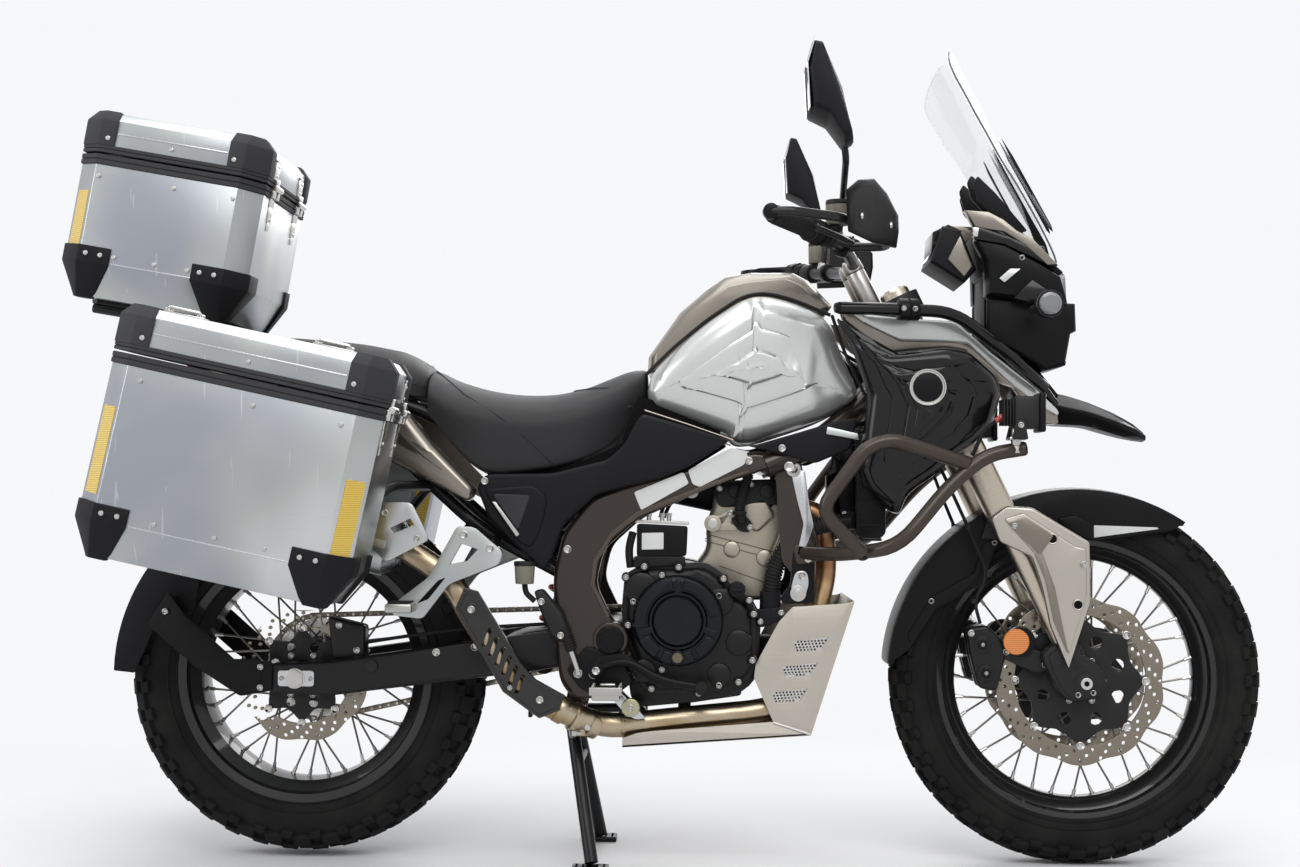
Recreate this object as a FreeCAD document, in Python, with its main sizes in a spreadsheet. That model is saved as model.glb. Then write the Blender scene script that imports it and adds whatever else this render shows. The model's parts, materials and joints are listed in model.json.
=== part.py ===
import FreeCAD, Part
import math
import os
import Sketcher
from FreeCAD import Placement, Rotation, Vector

# Adventure motorcycle with aluminium luggage, parked upright on its centre stand.
# Every piece is drawn from the point on the floor below the front axle:
# x forward, y to the rider's left, z up, millimetres and degrees.

SIZES = {
    # wheels
    "front_tyre_radius": 332, "front_tyre_width": 110, "front_tyre_height": 78, "front_rim_width": 72,
    "rear_tyre_radius": 321, "rear_tyre_width": 150, "rear_tyre_height": 92, "rear_rim_width": 112,
    "tread_depth": 6, "tyre_sides": 22, "spoke_flange_width": 8, "disc_holes": 24, "disc_windows": 8,
    "front_carrier_radius": 62, "rear_carrier_radius": 50, "axle_head_radius": 17, "axle_head_length": 6,
    "rim_flange": 10, "rim_well": 26, "seat_gap": 0.3, "spoke_radius": 2.2, "spoke_pairs": 9,
    "hub_flange_radius": 52, "hub_barrel_radius": 30, "front_hub_half": 38, "rear_hub_half": 46,
    "front_disc_radius": 150, "front_disc_y": 72, "disc_thickness": 5, "rear_disc_radius": 120,
    "rear_disc_y": 78, "sprocket_radius": 92, "sprocket_y": 85, "sprocket_thickness": 7,
    "rear_tyre_clearance": 8, "axle_radius": 12, "running_gap": 0.08, "front_axle_half": 128,
    "rear_axle_half": 142,
    # steering
    "rake": 26, "fork_offset": 38, "leg_spacing": 210, "outer_tube_radius": 27, "inner_tube_radius": 21,
    "upper_clamp_station": 735, "lower_clamp_station": 550, "clamp_thickness": 32, "stem_radius": 15,
    "outer_tube_bottom": 300, "fork_top_station": 765, "bar_station": 830, "bar_radius": 11,
    "bar_half_width": 430, "bar_sweep": 165, "bar_rise": 48, "grip_radius": 16, "grip_length": 125,
    # frame
    "head_tube_radius": 32, "spar_y": 137, "spar_thickness": 26, "beam_radius": 22,
    "pivot_x": -829, "pivot_z": 404, "pivot_radius": 16, "rail_y": 100, "rail_radius": 13,
    "swingarm_length": 561, "swingarm_height": 52, "swingarm_thickness": 30, "swingarm_y": 110,
    "bobbin_x": -1160, "bobbin_z": 352, "bobbin_radius": 4, "bobbin_depth": 20,
    "engine_half_width": 128, "cover_depth": 30, "clutch_radius": 77, "clutch_depth": 26,
    "clutch_x": -712, "clutch_z": 438,
    # bodywork
    "tank_half_width": 158, "seat_half_width": 160, "pillion_half_width": 127, "panel_thickness": 14,
    "shroud_half_width": 232, "screen_thickness": 4, "skid_half_width": 146, "skid_sheet": 4,
    "crash_bar_radius": 12.5, "upper_bar_radius": 11, "mudguard_half_width": 66,
    "mudguard_gap": 7, "mudguard_sheet": 4, "hugger_gap": 16, "plate_arm_half": 86,
    "plate_hole_spacing": 146, "plate_hole_radius": 3.5, "accent_slope": 0.25,
    "header_radius": 19, "spring_wire_radius": 5.5, "spring_radius": 29, "spring_turns": 6,
    "hose_radius": 3.2, "link_pitch": 63.5, "exhaust_radius": 22, "silencer_radius": 58, "silencer_y": 162,
    # luggage
    "case_wall": 4, "case_chamfer": 38, "case_taper": 30, "case_skirt": 60, "lid_gap": 2,
    "case_trim": 3, "case_band": 24, "case_cap_reach": 62,
    "topbox_length": 324, "topbox_width": 380, "topbox_body_height": 250, "topbox_lid_height": 75,
    "topbox_pitch": 9.7, "topbox_x": -1650, "topbox_z": 982,
    "pannier_length": 450, "pannier_width": 230, "pannier_body_height": 330, "pannier_lid_height": 77,
    "pannier_pitch": 12, "pannier_x": -1465, "pannier_z": 514, "pannier_y": 365,
    "hinge_radius": 6, "hinge_pin_radius": 2.5, "hinge_offset": 9,
    # stands
    "centre_pivot_x": -905, "centre_pivot_z": 262, "centre_foot_x": -860, "centre_foot_y": 150,
    "side_pivot_x": -790, "side_pivot_z": 248, "side_pivot_y": 172, "side_stand_length": 215,
    "side_stand_tilt": 15, "stand_pin_radius": 8,
    # place of the front axle ahead of the middle of the whole length
    "front_axle_x": 735.26,
}


class Size(float):
    """A number that also knows the spreadsheet expression it came from."""

    def __new__(cls, value, text):
        size = float.__new__(cls, value)
        size.text = text
        return size

    @staticmethod
    def text_of(value):
        return value.text if isinstance(value, Size) else repr(float(value))

    def joined(self, sign, other, value):
        return Size(value, f"({self.text} {sign} {Size.text_of(other)})")

    def __add__(self, other):
        return self.joined("+", other, float(self) + float(other))

    def __sub__(self, other):
        return self.joined("-", other, float(self) - float(other))

    def __mul__(self, other):
        return self.joined("*", other, float(self) * float(other))

    def __truediv__(self, other):
        return self.joined("/", other, float(self) / float(other))

    def __neg__(self):
        return Size(-float(self), f"(-{self.text})")


class Sheet:
    """The driving dimensions: one spreadsheet row each, read back by name."""

    def __init__(self, document, sizes):
        self.cells = document.addObject("Spreadsheet::Sheet", "Sizes")
        for row, (alias, value) in enumerate(sizes.items(), start=1):
            self.cells.set(f"A{row}", alias.replace("_", " "))
            self.cells.set(f"B{row}", str(value))
            self.cells.setAlias(f"B{row}", alias)
        document.recompute()

    def __getattr__(self, alias):
        return Size(self.cells.get(alias), f"Sizes.{alias}")


DOC = FreeCAD.newDocument("AdventureMotorcycle")
S = Sheet(DOC, SIZES)
SUBPARTS = []

X_AXIS, Y_AXIS, Z_AXIS = Vector(1, 0, 0), Vector(0, 1, 0), Vector(0, 0, 1)
CENTRE = Vector(0, 0, 0)

# Steering geometry: the fork legs lie on a line through the front axle, the stem behind them.
RAKE = math.radians(S.rake)
ALONG_FORK = Vector(-math.sin(RAKE), 0, math.cos(RAKE))
BEHIND_FORK = Vector(-math.cos(RAKE), 0, -math.sin(RAKE))
FRONT_AXLE = Vector(0, 0, S.front_tyre_radius)
LEG_Y = S.leg_spacing / 2
PIVOT = Vector(S.pivot_x, 0, S.pivot_z)
NOSE_SEAT = Vector(-138, 0, 962)
PLATE_CENTRE, PLATE_NORMAL = Vector(-1661.6, 0, 779.2), Vector(-0.8437, 0, 0.5369)
SHOCK_FOOT, SHOCK_HEAD = Vector(-957, 0, 348), Vector(-881, 0, 609)
REAR_AXLE_Z = S.rear_tyre_radius + S.rear_tyre_clearance
REAR_AXLE_X = S.pivot_x - math.sqrt(S.swingarm_length ** 2 - (S.pivot_z - REAR_AXLE_Z) ** 2)
REAR_AXLE = Vector(REAR_AXLE_X, 0, REAR_AXLE_Z)


def on_fork(station, behind=0.0, y=0.0):
    """A point at a distance up the fork from the axle, and behind the line of the legs."""
    return FRONT_AXLE + ALONG_FORK * station + BEHIND_FORK * behind + Y_AXIS * y


def on_stem(station, y=0.0):
    """A point on the steering axis."""
    return on_fork(station, S.fork_offset, y)


# Shapes from runs and arcs

def rod(start, end, radius):
    """A round bar from one point to another."""
    return Part.makeCylinder(radius, (end - start).Length, start, end - start)


def cross_rod(x, z, half, radius):
    """A round bar across the machine, centred on its middle plane."""
    return rod(Vector(x, -half, z), Vector(x, half, z), radius)


def rounded(corner, before, after, radius):
    """Start, middle and end of the arc that rounds a corner, kept within its two runs."""
    back, ahead = (before - corner), (after - corner)
    room = 0.49 * min(back.Length, ahead.Length)
    back.normalize()
    ahead.normalize()
    half = back.getAngle(ahead) / 2
    if half > math.radians(89.5) or radius <= 0:
        return None
    cut = min(radius / math.tan(half), room)
    fitted = cut * math.tan(half)
    middle = (back + ahead).normalize() * (fitted / math.sin(half) - fitted)
    return corner + back * cut, corner + middle, corner + ahead * cut


def smooth_wire(points, radius, closed):
    """Straight runs through the points, joined by tangent arcs."""
    count = len(points)
    edges, last = [], None
    first = None
    for index, corner in enumerate(points):
        inner = closed or 0 < index < count - 1
        arc = rounded(corner, points[index - 1], points[(index + 1) % count], radius) if inner else None
        start, end = (arc[0], arc[2]) if arc else (corner, corner)
        if last is not None and (start - last).Length > 1e-4:
            edges.append(Part.LineSegment(last, start).toShape())
        if arc:
            edges.append(Part.Arc(*arc).toShape())
        first = start if first is None else first
        last = end
    if closed and (first - last).Length > 1e-4:
        edges.append(Part.LineSegment(last, first).toShape())
    return Part.Wire(edges)


def side_outline(points, y, radius=0.0):
    """A closed outline seen from the side, at one distance from the middle plane."""
    return smooth_wire([Vector(x, y, z) for x, z in points], radius, True)


def slab(points, near, far, radius=0.0):
    """A plate with a side outline, between two distances from the middle plane."""
    return Part.Face(side_outline(points, near, radius)).extrude(Vector(0, far - near, 0))


def tube(points, radius, bend):
    """A round tube along runs and arcs."""
    path = smooth_wire(points, bend, False)
    ring = Part.Wire(Part.makeCircle(radius, points[0], points[1] - points[0]))
    return path.makePipeShell([ring], True, False)


def loft(wires, ruled=False):
    return Part.makeLoft(wires, True, ruled)


def block(low, high):
    """A box between two opposite corners."""
    size = high - low
    return Part.makeBox(size.x, size.y, size.z, low)


def joined(shapes):
    """One solid from shapes that touch or overlap."""
    return shapes[0].multiFuse(shapes[1:]).removeSplitter()


def layered(outline, layers):
    """A solid through side outlines, each at its distance from the middle and drawn in by its inset."""
    return loft([side_outline(shrunk(outline, inset), y) for y, inset in layers], True)


def mirrored(shape):
    """The same piece on the other side of the machine."""
    return shape.mirror(CENTRE, Y_AXIS)


def both(shape):
    """A piece and its mirror image."""
    return Part.Compound([shape, mirrored(shape)])


# Document objects

def subpart(label, shape):
    """Adds a shape to the document as a sub-part, drawn from below the front axle."""
    piece = DOC.addObject("Part::Feature", label)
    piece.Label = label
    piece.Shape = Part.Compound(shape.Solids)
    piece.Placement = Placement(Vector(S.front_axle_x, 0, 0), Rotation())
    SUBPARTS.append(piece)
    return shape


def origin_feature(body, role):
    return next(item for item in body.Origin.OriginFeatures if item.Role == role)


def bind(owner, path, value):
    if isinstance(value, Size):
        owner.setExpression(path, value.text)


def body_at(label, place, turn=Rotation(), alone=True):
    """A part design body with its own origin, either a sub-part alone or half of a pair."""
    body = DOC.addObject("PartDesign::Body", label)
    body.Label = label
    body.Placement = Placement(X_AXIS * S.front_axle_x + place, turn)
    if alone:
        SUBPARTS.append(body)
    return body


def paired(label, right):
    """A sub-part of a body on the right and its mirror image on the left."""
    left = DOC.addObject("Part::Mirroring", f"{label}_left")
    left.Source, left.Normal = right, Y_AXIS
    pair = DOC.addObject("Part::Compound", label)
    pair.Label = label
    pair.Links = [right, left]
    SUBPARTS.append(pair)
    return pair


def profile(body, role, name, points):
    """A closed sketch of straight lines whose corners are bound to the spreadsheet."""
    sketch = body.newObject("Sketcher::SketchObject", f"{body.Label}_{name}")
    sketch.AttachmentSupport = [(origin_feature(body, role), "")]
    sketch.MapMode = "FlatFace"
    corners = [Vector(float(across), float(up), 0) for across, up in points]
    count = len(corners)
    for index in range(count):
        sketch.addGeometry(Part.LineSegment(corners[index], corners[(index + 1) % count]))
    for index in range(count):
        sketch.addConstraint(Sketcher.Constraint("Coincident", index, 2, (index + 1) % count, 1))
    for index, point in enumerate(points):
        for kind, value in zip(("DistanceX", "DistanceY"), point):
            number = sketch.addConstraint(Sketcher.Constraint(kind, -1, 1, index, 1, float(value)))
            bind(sketch, f"Constraints[{number}]", value)
    return sketch


def circles(body, role, name, places):
    """A sketch of circles, each an (across, up, radius) bound to the spreadsheet."""
    sketch = body.newObject("Sketcher::SketchObject", f"{body.Label}_{name}")
    sketch.AttachmentSupport = [(origin_feature(body, role), "")]
    sketch.MapMode = "FlatFace"
    for index, (across, up, radius) in enumerate(places):
        centre = Vector(float(across), float(up), 0)
        sketch.addGeometry(Part.Circle(centre, Z_AXIS, float(radius)))
        kinds = [("Radius", (index,), radius)]
        if centre.Length:
            kinds += [("DistanceX", (-1, 1, index, 3), across), ("DistanceY", (-1, 1, index, 3), up)]
        else:
            sketch.addConstraint(Sketcher.Constraint("Coincident", index, 3, -1, 1))
        for kind, where, value in kinds:
            number = sketch.addConstraint(Sketcher.Constraint(kind, *where, float(value)))
            bind(sketch, f"Constraints[{number}]", value)
    return sketch


def pad(body, sketch, name, length, reverse=False):
    """Raises a sketch by a length."""
    feature = body.newObject("PartDesign::Pad", f"{body.Label}_{name}")
    feature.Profile = sketch
    feature.Length = float(length)
    bind(feature, "Length", length)
    feature.Reversed = reverse
    return feature


def cut_round(body, sketch, name, count):
    """Cuts a sketch right through, and repeats the cut round the body's cross axis."""
    before = body.Shape.Volume
    pocket = body.newObject("PartDesign::Pocket", f"{body.Label}_{name}")
    pocket.Profile = sketch
    pocket.Type = "ThroughAll"
    pocket.Midplane = True
    DOC.recompute()
    if body.Shape.Volume >= before:
        raise RuntimeError(f"{pocket.Name} cut nothing")
    if count > 1:
        pattern = body.newObject("PartDesign::PolarPattern", f"{body.Label}_{name}_round")
        pattern.Originals = [pocket]
        pattern.Axis = (origin_feature(body, "Y_Axis"), [""])
        pattern.Angle = 360.0
        pattern.Occurrences = int(count)
        body.Tip = pattern
        DOC.recompute()


def revolved(label, place, points, turn=Rotation(), alone=True):
    """A body turned about its own cross axis, from (across, radius) corners."""
    body = body_at(label, place, turn, alone)
    sketch = profile(body, "YZ_Plane", "section", points)
    turned = body.newObject("PartDesign::Revolution", f"{label}_turned")
    turned.Profile = sketch
    turned.ReferenceAxis = (sketch, ["H_Axis"])
    turned.Angle = 360.0
    return body


# Wheels

def tyre_points(radius, width, rim_radius, rim_width):
    """Half of a tyre's section, mirrored: bead, sidewall, shoulder and crown."""
    bead = rim_width / 2 - S.rim_flange / 2 - S.seat_gap
    wall = radius - rim_radius
    half = [
        (bead, rim_radius + S.rim_flange * 0.5), (width * 0.47, rim_radius + wall * 0.28),
        (width * 0.5, rim_radius + wall * 0.55), (width * 0.47, radius - wall * 0.24),
        (width * 0.36, radius - wall * 0.06), (width * 0.16, radius),
    ]
    return [(-across, up) for across, up in half] + half[::-1]


def tyre(centre, radius, width, rim_radius, rim_width):
    """A many-sided tyre with rows of tread blocks, open where the rim sits."""
    sides = int(S.tyre_sides)
    base = radius - S.tread_depth
    section = tyre_points(base, width, rim_radius, rim_width)
    carcass = loft([Part.makePolygon([on_circle(centre + Y_AXIS * across, up, 360.0 * index / sides)
                                      for index in range(sides + 1)]) for across, up in section], True)
    seat = cross_rod(centre.x, centre.z, width, rim_radius - S.rim_flange + S.seat_gap)
    flat = base * math.cos(math.pi / sides)
    blocks = []
    rows = ((0.02, 0.155, radius, 0.10), (0.18, 0.35, radius - S.tread_depth * 0.4, 0.60))
    half = radius * math.pi / sides * 0.55
    for side in (-1, 1):
        for low, high, top, shift in rows:
            near, far = sorted((side * low * width, side * high * width))
            for index in range(sides):
                turn = 360.0 * (index + shift + (0.5 if side > 0 else 0)) / sides
                lug = block(Vector(-half, near, flat * 0.94), Vector(half, far, math.sqrt(top ** 2 - half ** 2)))
                blocks.append(lug.rotate(CENTRE, Y_AXIS, turn).translate(centre))
    return carcass.cut(seat).multiFuse(blocks)


def rim_points(radius, width):
    """A drop-centre rim section."""
    edge, flange = width / 2, S.rim_flange
    seat = radius - flange
    well = radius - S.rim_well
    half = [(edge, radius), (edge - flange / 2, radius), (edge - flange / 2, seat), (edge * 0.45, seat),
            (edge * 0.3, well)]
    inside = [(edge * 0.3, well - flange), (edge * 0.55, seat - flange), (edge, seat - flange / 2)]
    ordered = half + [(-across, up) for across, up in half[::-1]]
    return ordered + [(-across, up) for across, up in inside[::-1]] + inside


def spoked_hub(centre, half_width, rim_radius):
    """A hub whose two flanges carry crossed wire spokes that reach the rim's well."""
    barrel = rod(centre - Y_AXIS * half_width, centre + Y_AXIS * half_width, S.hub_barrel_radius)
    solids = [barrel]
    tip_radius = rim_radius - S.rim_well - S.rim_flange - S.seat_gap
    step = 180.0 / S.spoke_pairs
    for side in (-1, 1):
        outer = centre + Y_AXIS * (side * half_width)
        inner = outer - Y_AXIS * (side * S.spoke_flange_width)
        solids.append(rod(inner, outer, S.hub_flange_radius))
        for index in range(int(S.spoke_pairs) * 2):
            for lean, inset in ((1, 2.0), (-1, 6.0)):
                head_angle = math.radians(step * index + 0.25 * step * side)
                tip_angle = head_angle + lean * math.radians(1.75 * step)
                head = spoke_end(centre, head_angle, S.hub_flange_radius - 4, side * (half_width - inset))
                tip = spoke_end(centre, tip_angle, tip_radius, side * 6.0)
                solids.append(spoke(head, tip))
    hub = joined(solids)
    bore = rod(centre - Y_AXIS * (half_width + 1), centre + Y_AXIS * (half_width + 1),
               S.axle_radius + S.running_gap)
    reach = rod(centre - Y_AXIS * half_width, centre + Y_AXIS * half_width, tip_radius)
    return hub.common(reach).cut(bore)


def spoke_end(centre, angle, radius, y):
    return centre + Vector(math.cos(angle) * radius, y, math.sin(angle) * radius)


def spoke(head, tip):
    """A six-sided wire, run a little past the rim circle that trims it."""
    run = tip - head
    end = tip + run.normalize() * 8
    across = (end - head).cross(Y_AXIS).normalize()
    other = (end - head).cross(across).normalize()
    corners = []
    for index in range(6):
        angle = math.radians(60 * index)
        corners.append(head + across * (math.cos(angle) * S.spoke_radius)
                       + other * (math.sin(angle) * S.spoke_radius))
    return Part.Face(Part.makePolygon(corners + corners[:1])).extrude(end - head)


def wave_points(radius, waves):
    """The wavy edge of a disc: shallow scallops between its lobes."""
    points = []
    for index in range(waves * 4):
        angle = math.radians(360.0 * index / (waves * 4))
        reach = radius * (0.965 if index % 4 in (2, 3) else 1.0)
        points.append((reach * math.cos(angle), reach * math.sin(angle)))
    return points


def brake_disc(label, centre, inner_y, face_y, radius, carrier, alone):
    """A brake disc: wavy edge, windows round its carrier, drilled rows and a stub to the hub."""
    body = body_at(label, centre - Y_AXIS * (face_y - S.disc_thickness), alone=alone)
    windows = int(S.disc_windows)
    pad(body, profile(body, "XZ_Plane", "edge", wave_points(radius, windows)), "plate", S.disc_thickness)
    stub = circles(body, "XZ_Plane", "stub_rings", [(0, 0, carrier), (0, 0, carrier * 0.7)])
    pad(body, stub, "stub", face_y - S.disc_thickness - inner_y, True)
    DOC.recompute()
    bore = circles(body, "XZ_Plane", "bore_circle", [(0, 0, carrier * 0.7)])
    cut_round(body, bore, "bore", 1)
    lean = math.radians(9)
    low, high = carrier + 6, radius * 0.77
    half = math.radians(360.0 / windows) * 0.33
    corners = [(low * math.cos(-half), low * math.sin(-half)), (low * math.cos(half), low * math.sin(half)),
               (high * math.cos(half + lean), high * math.sin(half + lean)),
               (high * math.cos(lean - half), high * math.sin(lean - half))]
    cut_round(body, profile(body, "XZ_Plane", "window_outline", corners), "windows", windows)
    for name, share in (("inner_holes", 0.83), ("outer_holes", 0.91)):
        place = [(radius * share * math.cos(half * (share > 0.9)), radius * share * math.sin(half * (share > 0.9)),
                  S.disc_thickness * 0.8)]
        cut_round(body, circles(body, "XZ_Plane", f"{name}_circle", place), name, S.disc_holes)
    return body


def build_front_wheel():
    """Tyre, rim, hub with spokes, and two discs."""
    rim_radius = S.front_tyre_radius - S.front_tyre_height
    subpart("front_tyre", tyre(FRONT_AXLE, S.front_tyre_radius, S.front_tyre_width, rim_radius,
                               S.front_rim_width))
    revolved("front_rim", FRONT_AXLE, rim_points(rim_radius, S.front_rim_width))
    subpart("front_hub", spoked_hub(FRONT_AXLE, S.front_hub_half, rim_radius))
    paired("front_discs", brake_disc("front_right_disc", FRONT_AXLE, S.front_hub_half, S.front_disc_y,
                                     S.front_disc_radius, S.front_carrier_radius, False))


def build_rear_wheel():
    """Tyre, rim, hub with spokes and sprocket, and one disc."""
    rim_radius = S.rear_tyre_radius - S.rear_tyre_height
    subpart("rear_tyre", tyre(REAR_AXLE, S.rear_tyre_radius, S.rear_tyre_width, rim_radius,
                              S.rear_rim_width))
    revolved("rear_rim", REAR_AXLE, rim_points(rim_radius, S.rear_rim_width))
    subpart("rear_hub", joined([spoked_hub(REAR_AXLE, S.rear_hub_half, rim_radius), sprocket()]))
    brake_disc("rear_disc", REAR_AXLE, S.rear_hub_half, S.rear_disc_y, S.rear_disc_radius,
               S.rear_carrier_radius, True)


def sprocket():
    """The driven sprocket on its carrier, left of the hub."""
    centre = REAR_AXLE + Y_AXIS * S.sprocket_y
    teeth = 22
    points = []
    for index in range(teeth * 2):
        angle = math.pi * index / teeth
        reach = S.sprocket_radius - (0 if index % 2 else 5)
        points.append(centre + Vector(math.cos(angle) * reach, 0, math.sin(angle) * reach))
    plate = Part.Face(Part.makePolygon(points + points[:1])).extrude(Y_AXIS * S.sprocket_thickness)
    carrier = rod(REAR_AXLE + Y_AXIS * S.rear_hub_half, centre, 50)
    hollow = rod(REAR_AXLE, centre + Y_AXIS * (S.sprocket_thickness + 1), 34)
    windows = [rod(on_circle(centre - Y_AXIS, 68, 60 * index), on_circle(centre + Y_AXIS * 9, 68, 60 * index),
                   11) for index in range(6)]
    return joined([plate, carrier]).cut(hollow).cut(Part.Compound(windows))


def on_circle(centre, radius, degrees):
    angle = math.radians(degrees)
    return centre + Vector(math.cos(angle) * radius, 0, math.sin(angle) * radius)


# Steering assembly

def clamp_plate(station):
    """A yoke that holds both legs and the stem."""
    half = S.clamp_thickness / 2
    low, high = station - half, station + half
    ends = [rod(on_fork(low, 0, side * LEG_Y), on_fork(high, 0, side * LEG_Y), S.outer_tube_radius + 12)
            for side in (-1, 1)]
    middle = rod(on_stem(low), on_stem(high), S.stem_radius + 16)
    bridge_points = [on_fork(low, S.fork_offset + 4, -50), on_fork(low, 18, -LEG_Y),
                     on_fork(low, -22, -LEG_Y), on_fork(low, -4, -40), on_fork(low, -4, 40),
                     on_fork(low, -22, LEG_Y), on_fork(low, 18, LEG_Y), on_fork(low, S.fork_offset + 4, 50)]
    bridge = Part.Face(Part.makePolygon(bridge_points + bridge_points[:1]))
    bridge = bridge.extrude(ALONG_FORK * (high - low))
    plate = joined([bridge, middle] + ends)
    for side in (-1, 1):
        plate = plate.cut(rod(on_fork(low - 1, 0, side * LEG_Y), on_fork(high + 1, 0, side * LEG_Y),
                              S.outer_tube_radius))
    return plate


def build_fork():
    """Yokes with the stem, upper and lower tubes, and the tube guards."""
    stem = rod(on_stem(S.lower_clamp_station), on_stem(S.upper_clamp_station), S.stem_radius)
    yokes = joined([clamp_plate(S.lower_clamp_station), clamp_plate(S.upper_clamp_station), stem])
    subpart("triple_clamps", yokes)
    length = S.fork_top_station - S.outer_tube_bottom
    step, wall = S.outer_tube_radius - 1.5, S.outer_tube_radius
    outer = [(0, 0), (0, step), (14, wall), (length - 4, wall), (length, step), (length, 12), (length - 6, 12),
             (length - 6, 0)]
    tube_body = revolved("right_outer_tube", on_fork(S.outer_tube_bottom, 0, -LEG_Y), outer,
                         Rotation(Y_AXIS, ALONG_FORK), False)
    paired("fork_outer_tubes", tube_body)
    inner = rod(on_fork(20, 0, -LEG_Y), on_fork(S.outer_tube_bottom, 0, -LEG_Y), S.inner_tube_radius)
    boot = slab(from_axle(BOOT_OUTLINE), -LEG_Y - 20, -LEG_Y + 17, 12)
    axle_hole = rod(FRONT_AXLE - Y_AXIS * 200, FRONT_AXLE, S.axle_radius)
    leg = joined([inner, boot]).cut(axle_hole)
    subpart("fork_sliders", both(leg))
    subpart("fork_guards", both(fork_guard()))


# Outlines about the front axle, so that they follow it.
BOOT_OUTLINE = [(-48, -10), (-30, -32), (24, -26), (38, 0), (26, 30), (-10, 53), (-52, 70), (-78, 48)]
GUARD_OUTLINE = [(-166, 286), (-141, 308), (-95, 305), (4, 246), (6, 148), (-33, 28), (-62, 98), (-80, 173),
                 (-96, 220), (-152, 248)]
SKIRT_OUTLINE = [(-303, 50), (-254, 124), (-171, 169), (-150, 228), (-110, 258), (-45, 274), (29, 250),
                 (163, 271)]


def from_axle(points):
    """An outline given about the front axle."""
    return [(FRONT_AXLE.x + x, FRONT_AXLE.z + z) for x, z in points]


def fork_guard():
    """The pale cover that shields one lower leg, folded round its outer side."""
    outline = from_axle(GUARD_OUTLINE)
    inner_face = -LEG_Y - S.outer_tube_radius - S.seat_gap
    cover = layered(outline, ((inner_face, 0), (inner_face - 14, 9)))
    folded = layered(from_axle([(-150, 290), (-112, 300), (-20, 238), (-2, 236), (-2, 160), (-34, 52),
                                (-56, 104), (-74, 178), (-90, 226)]), ((inner_face - 13, 0),
                                                                      (inner_face - 19, 6)))
    windows = []
    for (x, z), radius in zip(from_axle([(-62, 252), (-18, 138)]), (7, 6)):
        windows.append(rod(Vector(x, inner_face + 1, z), Vector(x, inner_face - 24, z), radius))
    return cover.fuse(folded).cut(Part.Compound(windows))


def shrunk(points, inset):
    """An outline drawn in towards its middle by about the inset."""
    middle_x = sum(x for x, _ in points) / len(points)
    middle_z = sum(z for _, z in points) / len(points)
    moved = []
    for x, z in points:
        away = math.hypot(x - middle_x, z - middle_z)
        share = max(0.0, 1 - inset / away)
        moved.append((middle_x + (x - middle_x) * share, middle_z + (z - middle_z) * share))
    return moved


def arc_points(centre, radius, first, last, count):
    """Points of a side outline along an arc, angles in degrees from straight ahead."""
    angles = [math.radians(first + (last - first) * index / (count - 1)) for index in range(count)]
    return [(centre.x + math.cos(angle) * radius, centre.z + math.sin(angle) * radius) for angle in angles]


def build_front_mudguard():
    """An arched guard over the tyre with side skirts, and arms to the fork legs."""
    half, sheet = S.mudguard_half_width, S.mudguard_sheet
    outer = S.front_tyre_radius + S.mudguard_gap + sheet
    crown = arc_points(FRONT_AXLE, outer, 56, 176, 16)
    roof = crown + arc_points(FRONT_AXLE, outer - sheet, 176, 56, 16)
    skirt = crown + from_axle(SKIRT_OUTLINE)
    side = slab(skirt, -half, -half + sheet)
    arm = slab(from_axle([(-176, 250), (-120, 250), (-108, 280), (-158, 300)]),
               -LEG_Y + S.outer_tube_radius + S.seat_gap, -half)
    solids = [slab(roof, -half, half), side, mirrored(side), arm, mirrored(arm)]
    return subpart("front_mudguard", joined(solids))


def build_brakes():
    """Front calipers on the legs, and the rear one on the swingarm."""
    body = slab(from_axle([(-205, 93), (-168, 100), (-128, 60), (-150, -20), (-182, -14), (-196, 40)]),
                -S.front_disc_y - 28, -S.front_disc_y + 22, 10)
    gap = rod(FRONT_AXLE - Y_AXIS * (S.front_disc_y + 3), FRONT_AXLE - Y_AXIS * (S.front_disc_y - 8),
              S.front_disc_radius + 5)
    bridge = slab(from_axle([(-140, 40), (-128, 73), (-70, 53), (-52, 20), (-80, 13)]), -S.front_disc_y - 26,
                  -S.front_disc_y - 12, 6)
    boss_at = FRONT_AXLE + Vector(-110, -S.front_disc_y - 26, 70)
    reflector_boss = rod(boss_at, boss_at - Y_AXIS * 14, 27)
    pistons = [rod(FRONT_AXLE + Vector(x, -S.front_disc_y - 20, z),
                   FRONT_AXLE + Vector(x, -S.front_disc_y - 33, z), 15) for x, z in ((-172, 62), (-166, 12))]
    caliper = joined([body.cut(gap), bridge, reflector_boss] + pistons)
    leg = rod(on_fork(-30, 0, -LEG_Y), on_fork(S.outer_tube_bottom, 0, -LEG_Y), S.inner_tube_radius)
    boot = slab(from_axle(BOOT_OUTLINE), -LEG_Y - 20, -LEG_Y + 17, 12)
    subpart("front_calipers", both(caliper.cut(leg).cut(boot)))


def axle(label, centre, half, radius):
    """A spindle across the machine with a head on the right and a hollow left end."""
    head = S.axle_head_radius
    points = [(-half - S.axle_head_length, 0), (-half - S.axle_head_length, head - 2), (-half - 4, head),
              (-half, head), (-half, radius), (half - 2, radius), (half, radius - 2), (half, radius * 0.5),
              (half - 12, radius * 0.5), (half - 12, 0)]
    return revolved(label, centre, points)


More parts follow.
